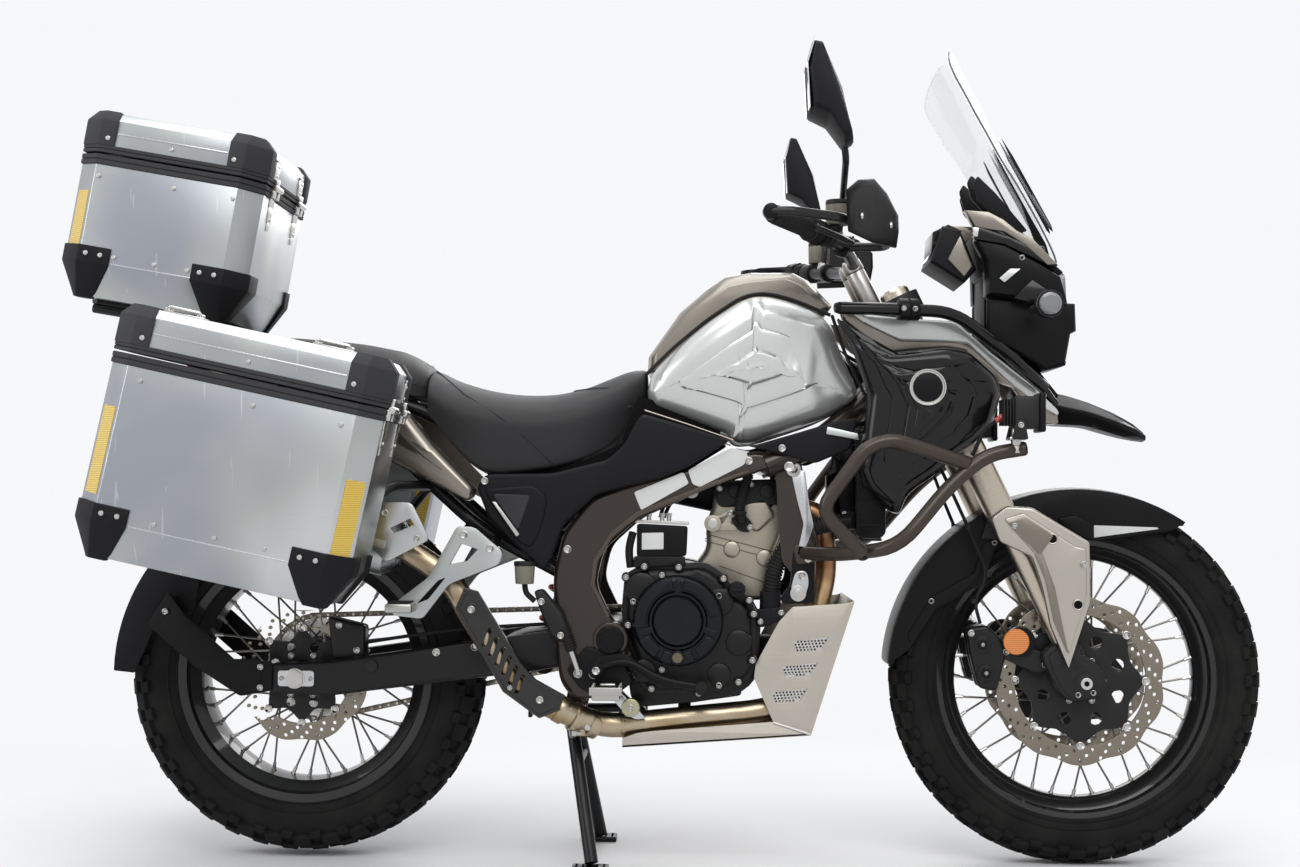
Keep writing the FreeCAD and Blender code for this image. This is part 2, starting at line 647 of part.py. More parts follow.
def build_brake_hoses():
    """A hose from each front caliper up behind its leg to the union under the lower yoke."""
    union = on_fork(S.lower_clamp_station - S.clamp_thickness / 2 - 12, S.fork_offset + 12)
    solids = [rod(union - Y_AXIS * 16, union + Y_AXIS * 16, 8),
              rod(union, union + ALONG_FORK * 11.5, 6)]
    for side in (-1, 1):
        route = [FRONT_AXLE + Vector(-178, side * 86, 100.2), FRONT_AXLE + Vector(-190, side * 92, 140),
                 on_fork(240, 66, side * 96), on_fork(330, 62, side * 96), on_fork(420, 58, side * 78),
                 on_fork(480, 54, side * 46), union + Y_AXIS * (side * 14)]
        solids.append(tube(route, S.hose_radius, 60))
    return subpart("brake_hoses", joined(solids))


BAR_STATIONS = (0.14, 0.34, 0.6, 1.0)


def bar_point(side, along):
    """A point of the handlebar's straight runs: 0 in the middle, 1 at the end of the grip."""
    low = max([0.0] + [station for station in BAR_STATIONS if station <= along])
    high = min([station for station in BAR_STATIONS if station > along] + [1.0])
    share = (along - low) / (high - low) if high > low else 0.0
    return bar_bend(side, low) * (1 - share) + bar_bend(side, high) * share


def bar_bend(side, along):
    """Where the bar's bends lie: swept back and raised towards the ends."""
    lift = S.bar_rise * along ** 0.8
    return on_stem(S.bar_station) + Vector(-S.bar_sweep * along ** 2, side * S.bar_half_width * along, lift)


def build_handlebar():
    """The bar with its risers, the grips and switches, guards and mirrors."""
    right = [bar_bend(-1, along) for along in BAR_STATIONS]
    left = [bar_bend(1, along) for along in BAR_STATIONS]
    bar = tube(right[::-1] + left, S.bar_radius, 70)
    risers = []
    for side in (-1, 1):
        foot = on_stem(S.upper_clamp_station + S.clamp_thickness / 2, side * 42)
        head = on_stem(S.bar_station, side * 42)
        risers.append(rod(foot, head + ALONG_FORK * 20, 19))
    subpart("handlebar", joined([bar] + risers))
    controls = [hand_control(side) for side in (-1, 1)]
    subpart("hand_controls", Part.Compound(controls).cut(bar))
    subpart("handguards", Part.Compound([hand_guard(side) for side in (-1, 1)]).cut(bar))
    controls = Part.Compound(controls)
    subpart("mirrors", Part.Compound([mirror(side) for side in (-1, 1)]).cut(bar).cut(controls))


def hand_control(side):
    """Grip, switch housing, lever and fluid cup on one end of the bar."""
    end, inboard = bar_point(side, 0.985), bar_point(side, 0.70)
    run = (inboard - end).normalize()
    grip = rod(end, end + run * S.grip_length, S.grip_radius)
    housing = rod(end + run * S.grip_length, end + run * (S.grip_length + 48), 23)
    perch_at = end + run * (S.grip_length + 62)
    perch = rod(perch_at - run * 14, perch_at + run * 14, 19)
    ahead = Vector(1, 0, -0.25).normalize()
    pivot = perch_at + ahead * 42
    arm = rod(perch_at, pivot, 10)
    lever = tube([pivot, pivot - run * 60 + ahead * 8, end + ahead * 46 + run * 60], 6, 30)
    cup = rod(perch_at + Vector(18, 0, 20), perch_at + Vector(18, 0, 62), 22)
    neck = rod(perch_at, perch_at + Vector(18, 0, 24), 11)
    return joined([grip, housing, perch, arm, lever, cup, neck])


def hand_guard(side):
    """A metal guard bar round the hand with a plastic shell on it."""
    end = bar_point(side, 1.0) + Y_AXIS * (side * 16)
    inboard = bar_point(side, 0.44)
    front = Vector(82, 0, -4)
    across = Y_AXIS * side
    loop = [end, end + Vector(30, 0, 0) + across * 6, end + front + across * -40,
            inboard + front + across * 40, inboard + Vector(6, 0, 0)]
    bar = tube(loop, 8, 30)
    inboard_clamp = rod(bar_point(side, 0.42), bar_point(side, 0.46), 17)
    cap = rod(end - across * 9, end + across * 8, 14)
    low, high = end + front * 1.05 - across * 30, inboard + front * 1.05 + across * 60
    high.z = low.z
    along = high - low
    shell_points = [low + along * share + Z_AXIS * lift
                    for share, lift in ((0.0, -24), (1.0, -30), (1.06, 30), (0.5, 78), (-0.05, 44))]
    shell = Part.Face(Part.makePolygon(shell_points + shell_points[:1])).extrude(Vector(7, 0, 0))
    return joined([bar, cap, shell, inboard_clamp])


def mirror(side):
    """A stalk from the bar with a tall faceted mirror head."""
    foot = bar_point(side, 0.51)
    across = Y_AXIS * side
    ball = foot + Vector(8, 0, 26)
    neck = Vector(-445, side * 405, 1232)
    stalk = tube([foot + Vector(4, 0, 12), ball + Vector(2, 0, 40), neck + Vector(4, 0, -30), neck], 6, 40)
    outline = [(-428, 1222), (-444, 1215), (-474, 1252), (-506, 1268), (-510, 1345), (-497, 1390),
               (-484, 1388), (-446, 1312), (-434, 1246)]
    centre_y = side * 420
    head = layered(outline, ((centre_y + side * 58, 12), (centre_y, 0), (centre_y - side * 58, 4)))
    return joined([stalk, head])


# Frame

def beam_route(side):
    """The centre line of one upper beam, from the head tube to the side spar."""
    return [on_stem(S.lower_clamp_station + 100), Vector(-402, side * 104, 800),
            Vector(-478, side * 134, 742), Vector(-562, side * 149, 708)]


def build_frame():
    """Head tube, twin beams, curved side spars, cross members and pivot plates in one piece."""
    head_low = on_stem(S.lower_clamp_station + S.clamp_thickness / 2 + 4)
    head_high = on_stem(S.upper_clamp_station - S.clamp_thickness / 2 - 4)
    head = rod(head_low, head_high, S.head_tube_radius)
    near, far = -S.spar_y, -S.spar_y - S.spar_thickness
    spar_outline = [(-515, 716), (-574, 736), (-700, 702), (-800, 676), (-868, 648), (-915, 585),
                    (-930, 515), (-928, 440), (-918, 330), (-895, 300), (-850, 300), (-800, 350), (-800, 410),
                    (-828, 442), (-856, 500), (-842, 560), (-785, 612), (-661, 668)]
    solids = [head]
    solids.append(rod(on_stem(S.lower_clamp_station + 90), NOSE_SEAT, 13))
    for side in (1, -1):
        spar = slab(spar_outline, near * side, far * side, 18)
        solids += [spar, tube(beam_route(side), S.beam_radius, 60)]
        hanger = slab([(-545, 712), (-500, 722), (-466, 560), (-478, 528), (-508, 515), (-532, 540)],
                      side * (S.spar_y - 4), side * (S.spar_y + 10), 10)
        solids += [hanger]
    solids.append(cross_rod(-885, 322, S.spar_y + 4, 14))
    solids.append(cross_rod(-880, 610, S.spar_y + 4, 16))
    solids.append(cross_rod(-560, 708, S.spar_y + 4, 14))
    frame = joined(solids + stand_mounts())
    bore = rod(head_low - ALONG_FORK * 60, head_high + ALONG_FORK * 60, S.stem_radius + S.running_gap)
    pin = cross_rod(S.pivot_x, S.pivot_z, 400, S.pivot_radius)
    frame = frame.cut(bore).cut(pin)
    return subpart("main_frame", frame)


def build_swingarm():
    """Two box arms from the pivot tube to the axle, joined by a bridge ahead of the tyre."""
    height, y, thick = S.swingarm_height / 2, S.swingarm_y, S.swingarm_thickness
    axle_x, axle_z = REAR_AXLE.x, REAR_AXLE.z
    arm_outline = [(PIVOT.x + 30, PIVOT.z + height * 0.9), (-960, 412), (axle_x + 60, axle_z + height),
                   (axle_x - 46, axle_z + height - 6), (axle_x - 46, axle_z - height + 4),
                   (axle_x + 60, axle_z - height), (-960, 345), (PIVOT.x + 30, PIVOT.z - height * 0.9)]
    arm = slab(arm_outline, -y, -y - thick, 8)
    arm = arm.cut(slab([(-1010, 480), (-1010, 300), (-780, 300), (-780, 480)], -S.spar_y + 6, -y - thick - 1))
    sleeve = cross_rod(PIVOT.x, PIVOT.z, S.spar_y - 6.5, 30)
    bridge_back = REAR_AXLE.x + S.rear_tyre_radius + 34
    bridge_front = PIVOT.x - 76
    middle = bridge_front * 0.36 + bridge_back * 0.64
    web = slab([(bridge_front, 425), (bridge_front, 368), (middle, 352), (bridge_back, 360),
                (bridge_back, 395), (middle, 410)], -y - 2, y + 2, 6)
    arms = joined([arm, mirrored(arm), sleeve, web])
    for side in (-1, 1):
        face = Vector(S.bobbin_x, side * (y + thick + 1), S.bobbin_z)
        arms = arms.cut(rod(face, face - Y_AXIS * (side * (S.bobbin_depth + 1)), S.bobbin_radius))
    slot = cross_rod(axle_x, axle_z, 300, S.axle_radius)
    arms = arms.cut(slot).cut(cross_rod(PIVOT.x, PIVOT.z, 300, S.pivot_radius + S.running_gap))
    foot = SHOCK_FOOT
    shock_room = rod(Vector(foot.x + 12, 0, 240), Vector(foot.x + 12, 0, 560), 55)
    shock_pin = cross_rod(foot.x, foot.z + 14, 60, 8)
    caliper = slab([(axle_x + 118, axle_z + 30), (axle_x + 60, axle_z + 30), (axle_x + 50, axle_z + 108),
                    (axle_x + 118, axle_z + 92)], -S.rear_disc_y + 6, -y - 4, 8)
    slit = rod(REAR_AXLE - Y_AXIS * (S.rear_disc_y - 10), REAR_AXLE - Y_AXIS * (S.rear_disc_y + 3),
               S.rear_disc_radius + 5)
    return subpart("swingarm", joined([arms.cut(shock_room), shock_pin, caliper.cut(slit)]))


def rail_route(side):
    """The centre line of one seat rail."""
    return [Vector(-905, side * 128, 600), Vector(-1000, side * S.rail_y, 700),
            Vector(-1180, side * S.rail_y, 812), Vector(-1540, side * S.rail_y, 862)]


def build_subframe():
    """Rails under the seat, struts, the luggage loops and the rack over the tail."""
    rail_y, radius = S.rail_y, S.rail_radius
    solids = []
    for side in (-1, 1):
        strut = [Vector(-925, side * 128, 520), Vector(-1060, side * 122, 590),
                 Vector(-1330, side * rail_y, 832)]
        solids += [tube(rail_route(side), radius, 60), tube(strut, radius - 2, 60)]
    for x, z in ((-1200, 815), (-1500, 856)):
        solids.append(cross_rod(x, z, rail_y, 9))
    return solids


def rack():
    """The carrier under the top box: a pitched plate on four posts with a tube loop."""
    slope = math.tan(math.radians(S.topbox_pitch))
    top = S.topbox_z - S.seat_gap / math.cos(math.radians(S.topbox_pitch))
    length, half = 250.0, 95.0
    plate = slab([(S.topbox_x - length / 2, top + slope * length / 2),
                  (S.topbox_x + length / 2, top - slope * length / 2),
                  (S.topbox_x + length / 2, top - slope * length / 2 - 8),
                  (S.topbox_x - length / 2, top + slope * length / 2 - 8)], -half, half)
    solids = [plate]
    for side in (-1, 1):
        for x, foot_z in ((S.topbox_x + 110, 862), (S.topbox_x + 175, 858)):
            head_x = min(x, S.topbox_x + 105)
            head_z = top - slope * (head_x - S.topbox_x) - 10
            solids.append(rod(Vector(x, side * S.rail_y, foot_z), Vector(head_x, side * 82, head_z), 8))
    loop_z = top - 16
    front_x, rear_x = S.topbox_x + 180, S.topbox_x - 120
    loop = [Vector(rear_x, -half + 8, loop_z + slope * 120), Vector(front_x, -118, loop_z - slope * 180),
            Vector(front_x, 118, loop_z - slope * 180), Vector(rear_x, half - 8, loop_z + slope * 120)]
    solids.append(tube(loop, 9, 45))
    return solids


def luggage_loops():
    """A tube frame each side that carries a side case on the rails."""
    solids = []
    for side in (-1, 1):
        inner_face = S.pannier_y - S.pannier_width / 2
        # The cases lean in below their corner caps, so the loops stand a little nearer than a full cap.
        y = side * (inner_face - 9 - S.seat_gap - S.case_trim * 0.75)
        loop = [Vector(-1150, side * 115, 670), Vector(-1210, y, 668), Vector(-1285, y, 570),
                Vector(-1560, y, 628), Vector(-1510, y, 800), Vector(-1505, side * 165, 812),
                Vector(-1500, side * S.rail_y, 856)]
        solids.append(tube(loop, 9, 35))
    return solids


def build_rear_structure(frame):
    """Subframe, rack and case loops welded into one piece."""
    return subpart("subframe", joined(build_subframe() + rack() + luggage_loops()).cut(frame))


# Engine

def build_engine():
    """Crankcases, side covers and the cylinder with its head."""
    half = S.engine_half_width
    case_outline = [(-786, 404), (-800, 520), (-690, 540), (-597, 486), (-566, 444), (-572, 336),
                    (-602, 308), (-673, 294), (-790, 282), (-800, 330)]
    cases = slab(case_outline, -half, half, 22)
    clutch = Vector(S.clutch_x, 0, S.clutch_z)
    right_cover = slab([(-792, 380), (-770, 500), (-700, 528), (-610, 486), (-578, 440), (-582, 340),
                        (-690, 306), (-770, 330)], -half, -half - S.cover_depth, 26)
    left_cover = slab([(-740, 350), (-740, 490), (-690, 520), (-610, 480), (-580, 430), (-590, 345),
                       (-660, 318)], half, half + S.cover_depth, 26)
    clutch_cover = rod(clutch - Y_AXIS * half, clutch - Y_AXIS * (half + S.cover_depth + S.clutch_depth),
                       S.clutch_radius)
    cap = rod(clutch, clutch - Y_AXIS * (half + S.cover_depth + S.clutch_depth + 7), S.clutch_radius * 0.56)
    rotor = rod(Vector(-650, half, 420), Vector(-650, half + S.cover_depth + 18, 420), 66)
    chain_room = block(Vector(-830, S.sprocket_y - 8, 352), Vector(-700, S.sprocket_y + 16, 470))
    sprocket_at = front_sprocket() + Y_AXIS * (S.sprocket_y - 9)
    small = rod(sprocket_at, sprocket_at + Y_AXIS * (S.sprocket_thickness + 8), SMALL_SPROCKET - S.seat_gap)
    bosses = [rod(Vector(x, -half, z), Vector(x, -half - S.cover_depth - 4, z), 9)
              for x, z in ((-786, 392), (-771, 492), (-704, 522), (-618, 486), (-586, 436), (-589, 350),
                           (-640, 322), (-696, 314), (-762, 334))]
    bosses += [rod(Vector(x, half, z), Vector(x, half + S.cover_depth - 3, z), 9)
               for x, z in ((-732, 358), (-732, 484), (-686, 510), (-590, 426), (-598, 352), (-660, 326))]
    segments = [sector(clutch - Y_AXIS * (half + S.cover_depth + S.clutch_depth - 1), S.clutch_radius * 0.64,
                       S.clutch_radius * 0.93, 60 * index + 8, 60 * index + 52, -6) for index in range(6)]
    glass = rod(Vector(-612, -half, 362), Vector(-612, -half - S.cover_depth - 3, 362), 13)
    pump = rod(Vector(-640, half, 372), Vector(-640, half + S.cover_depth + 10, 372), 30)
    covers = [right_cover, left_cover, clutch_cover, cap, rotor, glass, pump]
    engine = joined([cases] + covers + bosses + segments).cut(chain_room)
    engine = joined([engine, small])
    barrel = slab([(-690, 520), (-664, 560), (-660, 650), (-640, 684), (-520, 692), (-508, 640), (-540, 590),
                   (-556, 450), (-620, 470)], -88, 88, 14)
    head_cover = slab([(-652, 655), (-634, 682), (-530, 686), (-511, 660), (-530, 640), (-640, 634)], -96, 96, 12)
    ribs = [slab([(-668, 556), (-664, 636), (-530, 640), (-520, 560), (-560, 520)], y, y + 4)
            for y in range(-92, 90, 22)]
    plugs = [rod(Vector(x, -96, 666), Vector(x, -101, 666), 14) for x in (-612, -556)]
    starter = rod(Vector(-732, -34, 548), Vector(-732, 70, 548), 27)
    oil_filter = rod(Vector(-590, 44, 372), Vector(-534, 44, 372), 31)
    intake = rod(Vector(-640, 0, 650), Vector(-735, 0, 672), 27)
    pieces = [engine, barrel, head_cover, starter, oil_filter, intake]
    return subpart("engine", joined(pieces + ribs + plugs))


def sector(centre, inner, outer, first, last, depth):
    """A raised part of a ring about a cross axis, between two angles in degrees."""
    middle = (first + last) / 2
    edges = [Part.Arc(*(on_circle(centre, outer, angle) for angle in (first, middle, last))).toShape(),
             Part.LineSegment(on_circle(centre, outer, last), on_circle(centre, inner, last)).toShape(),
             Part.Arc(*(on_circle(centre, inner, angle) for angle in (last, middle, first))).toShape(),
             Part.LineSegment(on_circle(centre, inner, first), on_circle(centre, outer, first)).toShape()]
    return Part.Face(Part.Wire(edges)).extrude(Y_AXIS * depth)


def build_cooling(engine):
    """The radiator with its hose down to the engine."""
    core = block(Vector(-398, -150, 578), Vector(-358, 150, 772))
    rows = 12
    pitch = (772 - 578) / rows
    grooves = [block(Vector(-362, -146, 580 + pitch * index), Vector(-357, 146, 580 + pitch * (index + 0.62)))
               for index in range(rows)]
    core = core.cut(Part.Compound(grooves))
    neck = rod(Vector(-380, 118, 771), Vector(-380, 118, 784), 14)
    tank_right = block(Vector(-404, -165.7, 590), Vector(-352, -150, 760))
    hose = tube([Vector(-398, -108, 610), Vector(-440, -108, 612), Vector(-520, -112, 560),
                 Vector(-548, -112, 470), Vector(-566, -108, 430)], 16, 45)
    assembly = joined([core, tank_right, mirrored(tank_right), hose, neck])
    return subpart("radiator", assembly.cut(engine))


def exhaust_route():
    """The pipe's centre line from under the engine back to the silencer."""
    return [Vector(-474, -92, 430), Vector(-490, -104, 300), Vector(-560, -108, 276),
            Vector(-700, -110, 262), Vector(-835, -122, 248), Vector(-900, -146, 272),
            Vector(-985, -166, 312), Vector(-1070, -168, 440), Vector(-1110, -166, 510),
            Vector(-1190, -S.silencer_y, 560)]


def build_exhaust(engine):
    """Twin header pipes that meet ahead of the engine, the long pipe, shield and silencer."""
    headers = [tube([Vector(-524, y, 640), Vector(-455, y, 624), Vector(-448, y, 520),
                     Vector(-474, -92, 418)], S.header_radius, 30) for y in (-30, -66)]
    pipe = tube(exhaust_route(), S.exhaust_radius, 70)
    can = silencer()
    subpart("exhaust_pipe", joined([pipe] + headers).cut(can).cut(engine))
    shield = slab([(-1086, 494), (-1058, 486), (-973, 350), (-905, 306), (-905, 288), (-949, 270),
                   (-1010, 314), (-1098, 462)], -182, -199, 6)
    room = tube(exhaust_route(), S.exhaust_radius + S.seat_gap, 70)
    slots = [slab([(-1062 + 26 * n, 430 - 40 * n), (-1044 + 26 * n, 446 - 40 * n),
                   (-1040 + 26 * n, 438 - 40 * n), (-1058 + 26 * n, 422 - 40 * n)], -170, -200)
             for n in range(4)]
    subpart("exhaust_shield", shield.cut(room).cut(Part.Compound(slots)))


def silencer():
    """The can, turned about its own length, with a stepped end cap and an open outlet."""
    front, back = Vector(-1190, -S.silencer_y, 560), Vector(-1500, -S.silencer_y, 640)
    run = back - front
    length, wall = run.Length, S.silencer_radius
    points = [(0, 0), (0, wall * 0.55), (26, wall), (58, wall), (58, wall - 2), (64, wall - 2), (64, wall),
              (length - 40, wall), (length - 40, wall - 2), (length - 34, wall - 2), (length - 34, wall),
              (length - 8, wall * 0.82), (length, wall * 0.45), (length + 30, 24), (length + 30, 19),
              (length - 40, 19), (length - 40, 0)]
    body = revolved("silencer", front, points, Rotation(Y_AXIS, run))
    DOC.recompute()
    can = body.Shape.copy()
    can.translate(X_AXIS * -S.front_axle_x)
    return can


def build_skid_plate(engine):
    """A folded sheet: belly pan, sloping front and vented side wings."""
    half, sheet = S.skid_half_width, S.skid_sheet
    wing = [(-536, 436), (-417, 469), (-404, 474), (-479, 240), (-808, 215), (-808, 232), (-765, 240),
            (-560, 256), (-579, 338), (-567, 386)]
    vents = []
    for lift, shift in ((0, 0), (52, 17), (104, 34)):
        vents.append(slab([(-545 + shift, 300 + lift), (-498 + shift, 308 + lift),
                           (-488 + shift, 332 + lift), (-548 + shift, 324 + lift)], -half - 1, -half + sheet + 1))
    side = slab(wing, -half, -half + sheet).cut(Part.Compound(vents))
    pan = slab([(-808, 215), (-479, 240), (-481, 240 + sheet), (-808, 215 + sheet)], -half, half)
    front = slab([(-479, 240), (-404, 474), (-404 - sheet, 474), (-479 - sheet, 241)], -half, half)
    pad = block(Vector(-712, -60, 222), Vector(-690, -20, 300)).cut(engine)
    return subpart("skid_plate", joined([side, mirrored(side), pan, front, pad, mirrored(pad)]))


# Bodywork

TANK_SECTION = [(-771, 803), (-766, 880), (-672, 982), (-598, 1020), (-446, 992), (-388, 842), (-467, 786),
                (-590, 748)]


def build_tank():
    """A crowned tank with a raised cover along its top."""
    half = S.tank_half_width
    shoulder = [(x, z + 14) if z > 870 else (x, z) for x, z in TANK_SECTION]
    sections = [(TANK_SECTION, 30, half), (TANK_SECTION, 0, half * 0.84), (shoulder, 0, half * 0.5)]
    right = [side_outline(shrunk(outline, inset), -y) for outline, inset, y in sections]
    left = [side_outline(shrunk(outline, inset), y) for outline, inset, y in sections[::-1]]
    tank = loft(right + left, True)
    tank = tank.cut(slab([(-800, 700), (-800, 850), (-560, 850), (-380, 870), (-360, 700)], -62, 62))
    beams = [tube(beam_route(side), S.beam_radius + S.seat_gap, 60) for side in (-1, 1)]
    tank = tank.cut(Part.Compound(beams))
    subpart("fuel_tank", tank)
    ridge = [(-770, 880), (-769, 903), (-713, 983), (-663, 1026), (-632, 1049), (-586, 1056), (-502, 1057),
             (-488, 1044), (-436, 980)]
    cover = slab(ridge, -half * 0.5 + 1, half * 0.5 - 1, 10)
    cap = rod(Vector(-560, 0, 1040), Vector(-560, 0, 1064), 34)
    subpart("tank_cover", joined([cover, cap]).cut(tank))
    return tank


def seat_section(x, half, top, bottom):
    """One cross section of a saddle: crowned top, rolled edges and straight skirts."""
    roll = min(62.0, 0.7 * (top - bottom))
    right = [Vector(x, half * 0.55, top - 0.08 * roll), Vector(x, half * 0.9, top - 0.42 * roll),
             Vector(x, half, top - roll), Vector(x, half * 0.96, bottom)]
    left = [Vector(x, -point.y, point.z) for point in right[::-1]]
    points = [Vector(x, 0, top)] + right + left
    return Part.makePolygon(points + points[:1])


def build_seats(tank):
    """The rider's saddle and the pillion pad behind it."""
    half = S.seat_half_width
    stations = [(-778, 0.5, 882, 806), (-836, 0.72, 868, 735), (-934, 0.93, 838, 700), (-1040, 1.0, 842, 688),
                (-1110, 0.98, 860, 740), (-1158, 0.92, 880, 800)]
    saddle = loft([seat_section(x, half * share, top, low) for x, share, top, low in stations], True)
    tunnel = block(Vector(-1200, -half * 0.8, 600), Vector(-760, half * 0.8, 765))
    rails = [tube(rail_route(side), S.rail_radius + S.seat_gap, 60) for side in (-1, 1)]
    subpart("rider_seat", saddle.cut(tunnel).cut(Part.Compound(rails)).cut(tank))
    pad_stations = [(-1159, 0.9, 882, 824), (-1215, 1.0, 914, 831), (-1290, 1.0, 928, 841),
                    (-1450, 0.9, 940, 863)]
    pad = loft([seat_section(x, S.pillion_half_width * share, top, low)
                for x, share, top, low in pad_stations], True)
    subpart("pillion_seat", pad.cut(Part.Compound(rails)).cut(cross_rod(-1200, 815, S.rail_y, 10)))


def build_side_panels(frame):
    """Black covers below the seat, and the frame covers under the tank."""
    near = -S.spar_y - S.spar_thickness - S.seat_gap
    far = near - S.panel_thickness
    lower = [(-778, 792), (-640, 752), (-748, 690), (-868, 658), (-924, 580), (-934, 520), (-950, 520),
             (-1042, 614), (-1062, 668), (-932, 690), (-835, 714)]
    upper = [(-609, 742), (-585, 738), (-507, 763), (-432, 786), (-404, 790), (-415, 738), (-475, 716),
             (-562, 732)]
    panels = Part.Compound([slab(lower, near, far, 8), slab(upper, near, far, 6)])
    return subpart("side_panels", both_all(panels.cut(frame)))


def both_all(compound):
    """Every solid of a compound with its mirror image."""
    return Part.Compound(list(compound.Solids) + [mirrored(solid) for solid in compound.Solids])


def build_tail(subframe):
    """Painted tail covers, the lamp between them, and the guard over the rear wheel."""
    outline = [(-1074, 642), (-1066, 666), (-1150, 768), (-1200, 832), (-1480, 902), (-1565, 905),
               (-1580, 880), (-1300, 772), (-1225, 716)]
    cover = layered(outline, ((-127.2, 0), (-160, 8))).cut(subframe)
    subpart("tail_covers", both(cover))
    lamp = slab([(-1585, 872), (-1560, 915), (-1590, 922), (-1612, 905), (-1606, 876)], -70, 70, 6)
    bracket = slab([(-1540 - S.seat_gap, 846), (-1540 - S.seat_gap, 876), (-1590, 886), (-1590, 866)], -112, 112)
    plate_arm = slab([(-1580, 872), (-1600, 876), (-1712, 700), (-1700, 690), (-1570, 850)],
                     -S.plate_arm_half, S.plate_arm_half, 4)
    drill = PLATE_NORMAL * 60
    plate_arm = plate_arm.cut(Part.Compound([
        rod(PLATE_CENTRE - drill + Y_AXIS * y, PLATE_CENTRE + drill + Y_AXIS * y, S.plate_hole_radius)
        for y in (-S.plate_hole_spacing / 2, S.plate_hole_spacing / 2)]))
    subpart("tail_lamp", lamp.cut(bracket).cut(plate_arm))
    subpart("plate_holder", joined([plate_arm, bracket]).cut(subframe))
    stalks, heads = [], []
    for place, out in ((Vector(-1648, -S.plate_arm_half - 1.2, 776), -0.25), (Vector(-92, -129.4, 985), 0.25)):
        tip = place + Vector(40 * out, -72, 0)
        stalks.append(rod(place, tip, 8))
        heads.append(rod(tip - Y_AXIS * 46, tip, 23))
    subpart("indicators", both_all(Part.Compound([joined([a, b]) for a, b in zip(stalks, heads)])))


def build_rear_mudguard():
    """A tyre-hugging guard whose arms bolt to the outside of the swingarm."""
    x, z = REAR_AXLE.x, REAR_AXLE.z
    half, sheet = S.rear_tyre_width / 2 + S.hugger_gap, S.mudguard_sheet
    outer = S.rear_tyre_radius + S.hugger_gap + sheet
    crown = arc_points(REAR_AXLE, outer, 122, 179, 12)
    roof = crown + arc_points(REAR_AXLE, outer - sheet, 179, 122, 12)
    cheek = crown + [(x - 300, z + 2), (x - 262, z + 92), (x - 196, z + 110), (x - 168, z + 262)]
    side = slab(cheek, -half, -half + sheet)
    arm_y = S.swingarm_y + S.swingarm_thickness
    arm = slab([(x - 262, z + 92), (x - 226, z + 150), (x - 196, z + 110), (x - 104, z + 30), (x - 40, z + 30),
                (x - 40, z - 22), (x - 96, z - 32), (x - 178, z + 20)], -arm_y - 0.3, -arm_y - 0.3 - sheet, 4)
    spacer = slab([(x - 258, z + 94), (x - 226, z + 142), (x - 204, z + 112)], -half, -arm_y - 1)
    solids = [slab(roof, -half, half), side, mirrored(side), arm, mirrored(arm), spacer, mirrored(spacer)]
    return subpart("rear_mudguard", joined(solids))


def build_fairing(tank):
    """Side shrouds with pale upper panels, the beak, nose and screen."""
    edge = S.shroud_half_width
    shroud = [(-440, 955), (-391, 925), (-351, 900), (-225, 909), (-209, 905), (-155, 857), (-160, 830),
              (-190, 771), (-235, 727), (-273, 690), (-303, 678), (-315, 650), (-331, 622), (-363, 637),
              (-380, 668), (-372, 715), (-366, 752), (-358, 830), (-390, 907)]
    skin = layered(shroud, ((-edge + 66, 0), (-edge + 30, 0), (-edge, 26)))
    subpart("fairing_shrouds", both(skin.cut(tank)))
    accent = [(-436, 985), (-388, 969), (-230, 968), (-182, 944), (-82, 872), (-37, 820), (-37, 790),
              (-80, 786), (-69, 819), (-121, 856), (-149, 864), (-205, 914), (-222, 919), (-347, 909),
              (-388, 932), (-424, 960)]
    layers = ((-edge + 42, 0), (-edge + 34, 0), (-edge + 28, 5))
    upper = loft([slanted(shrunk(accent, inset), y) for y, inset in layers], True)
    upper = upper.cut(tank).cut(skin).cut(stem_envelope(156))
    beak_side = [(-120, 838), (-27, 846), (102, 794), (131, 772), (129, 758), (97, 764), (-11, 784),
                 (-60, 787), (-120, 790)]
    neck = slab([(-112, 840), (-112, 920), (-64, 884 - S.seat_gap), (-30, 840)], -42, 42)
    beak = joined([layered(beak_side, ((-100, 7), (0, 0), (100, 7))), neck])
    subpart("beak", beak)
    upper = upper.cut(beak)
    subpart("fairing_accents", both(upper))
    return upper


def slanted(points, y):
    """A side outline in a plane that closes in towards the front."""
    slope = S.accent_slope
    corners = [Vector(x, y + (x + 436) * slope, z) for x, z in points]
    return Part.makePolygon(corners + corners[:1])


def stem_envelope(radius):
    """The room that the turning fork needs round the steering axis."""
    return rod(on_stem(S.lower_clamp_station - 160), on_stem(S.upper_clamp_station + 60), radius)


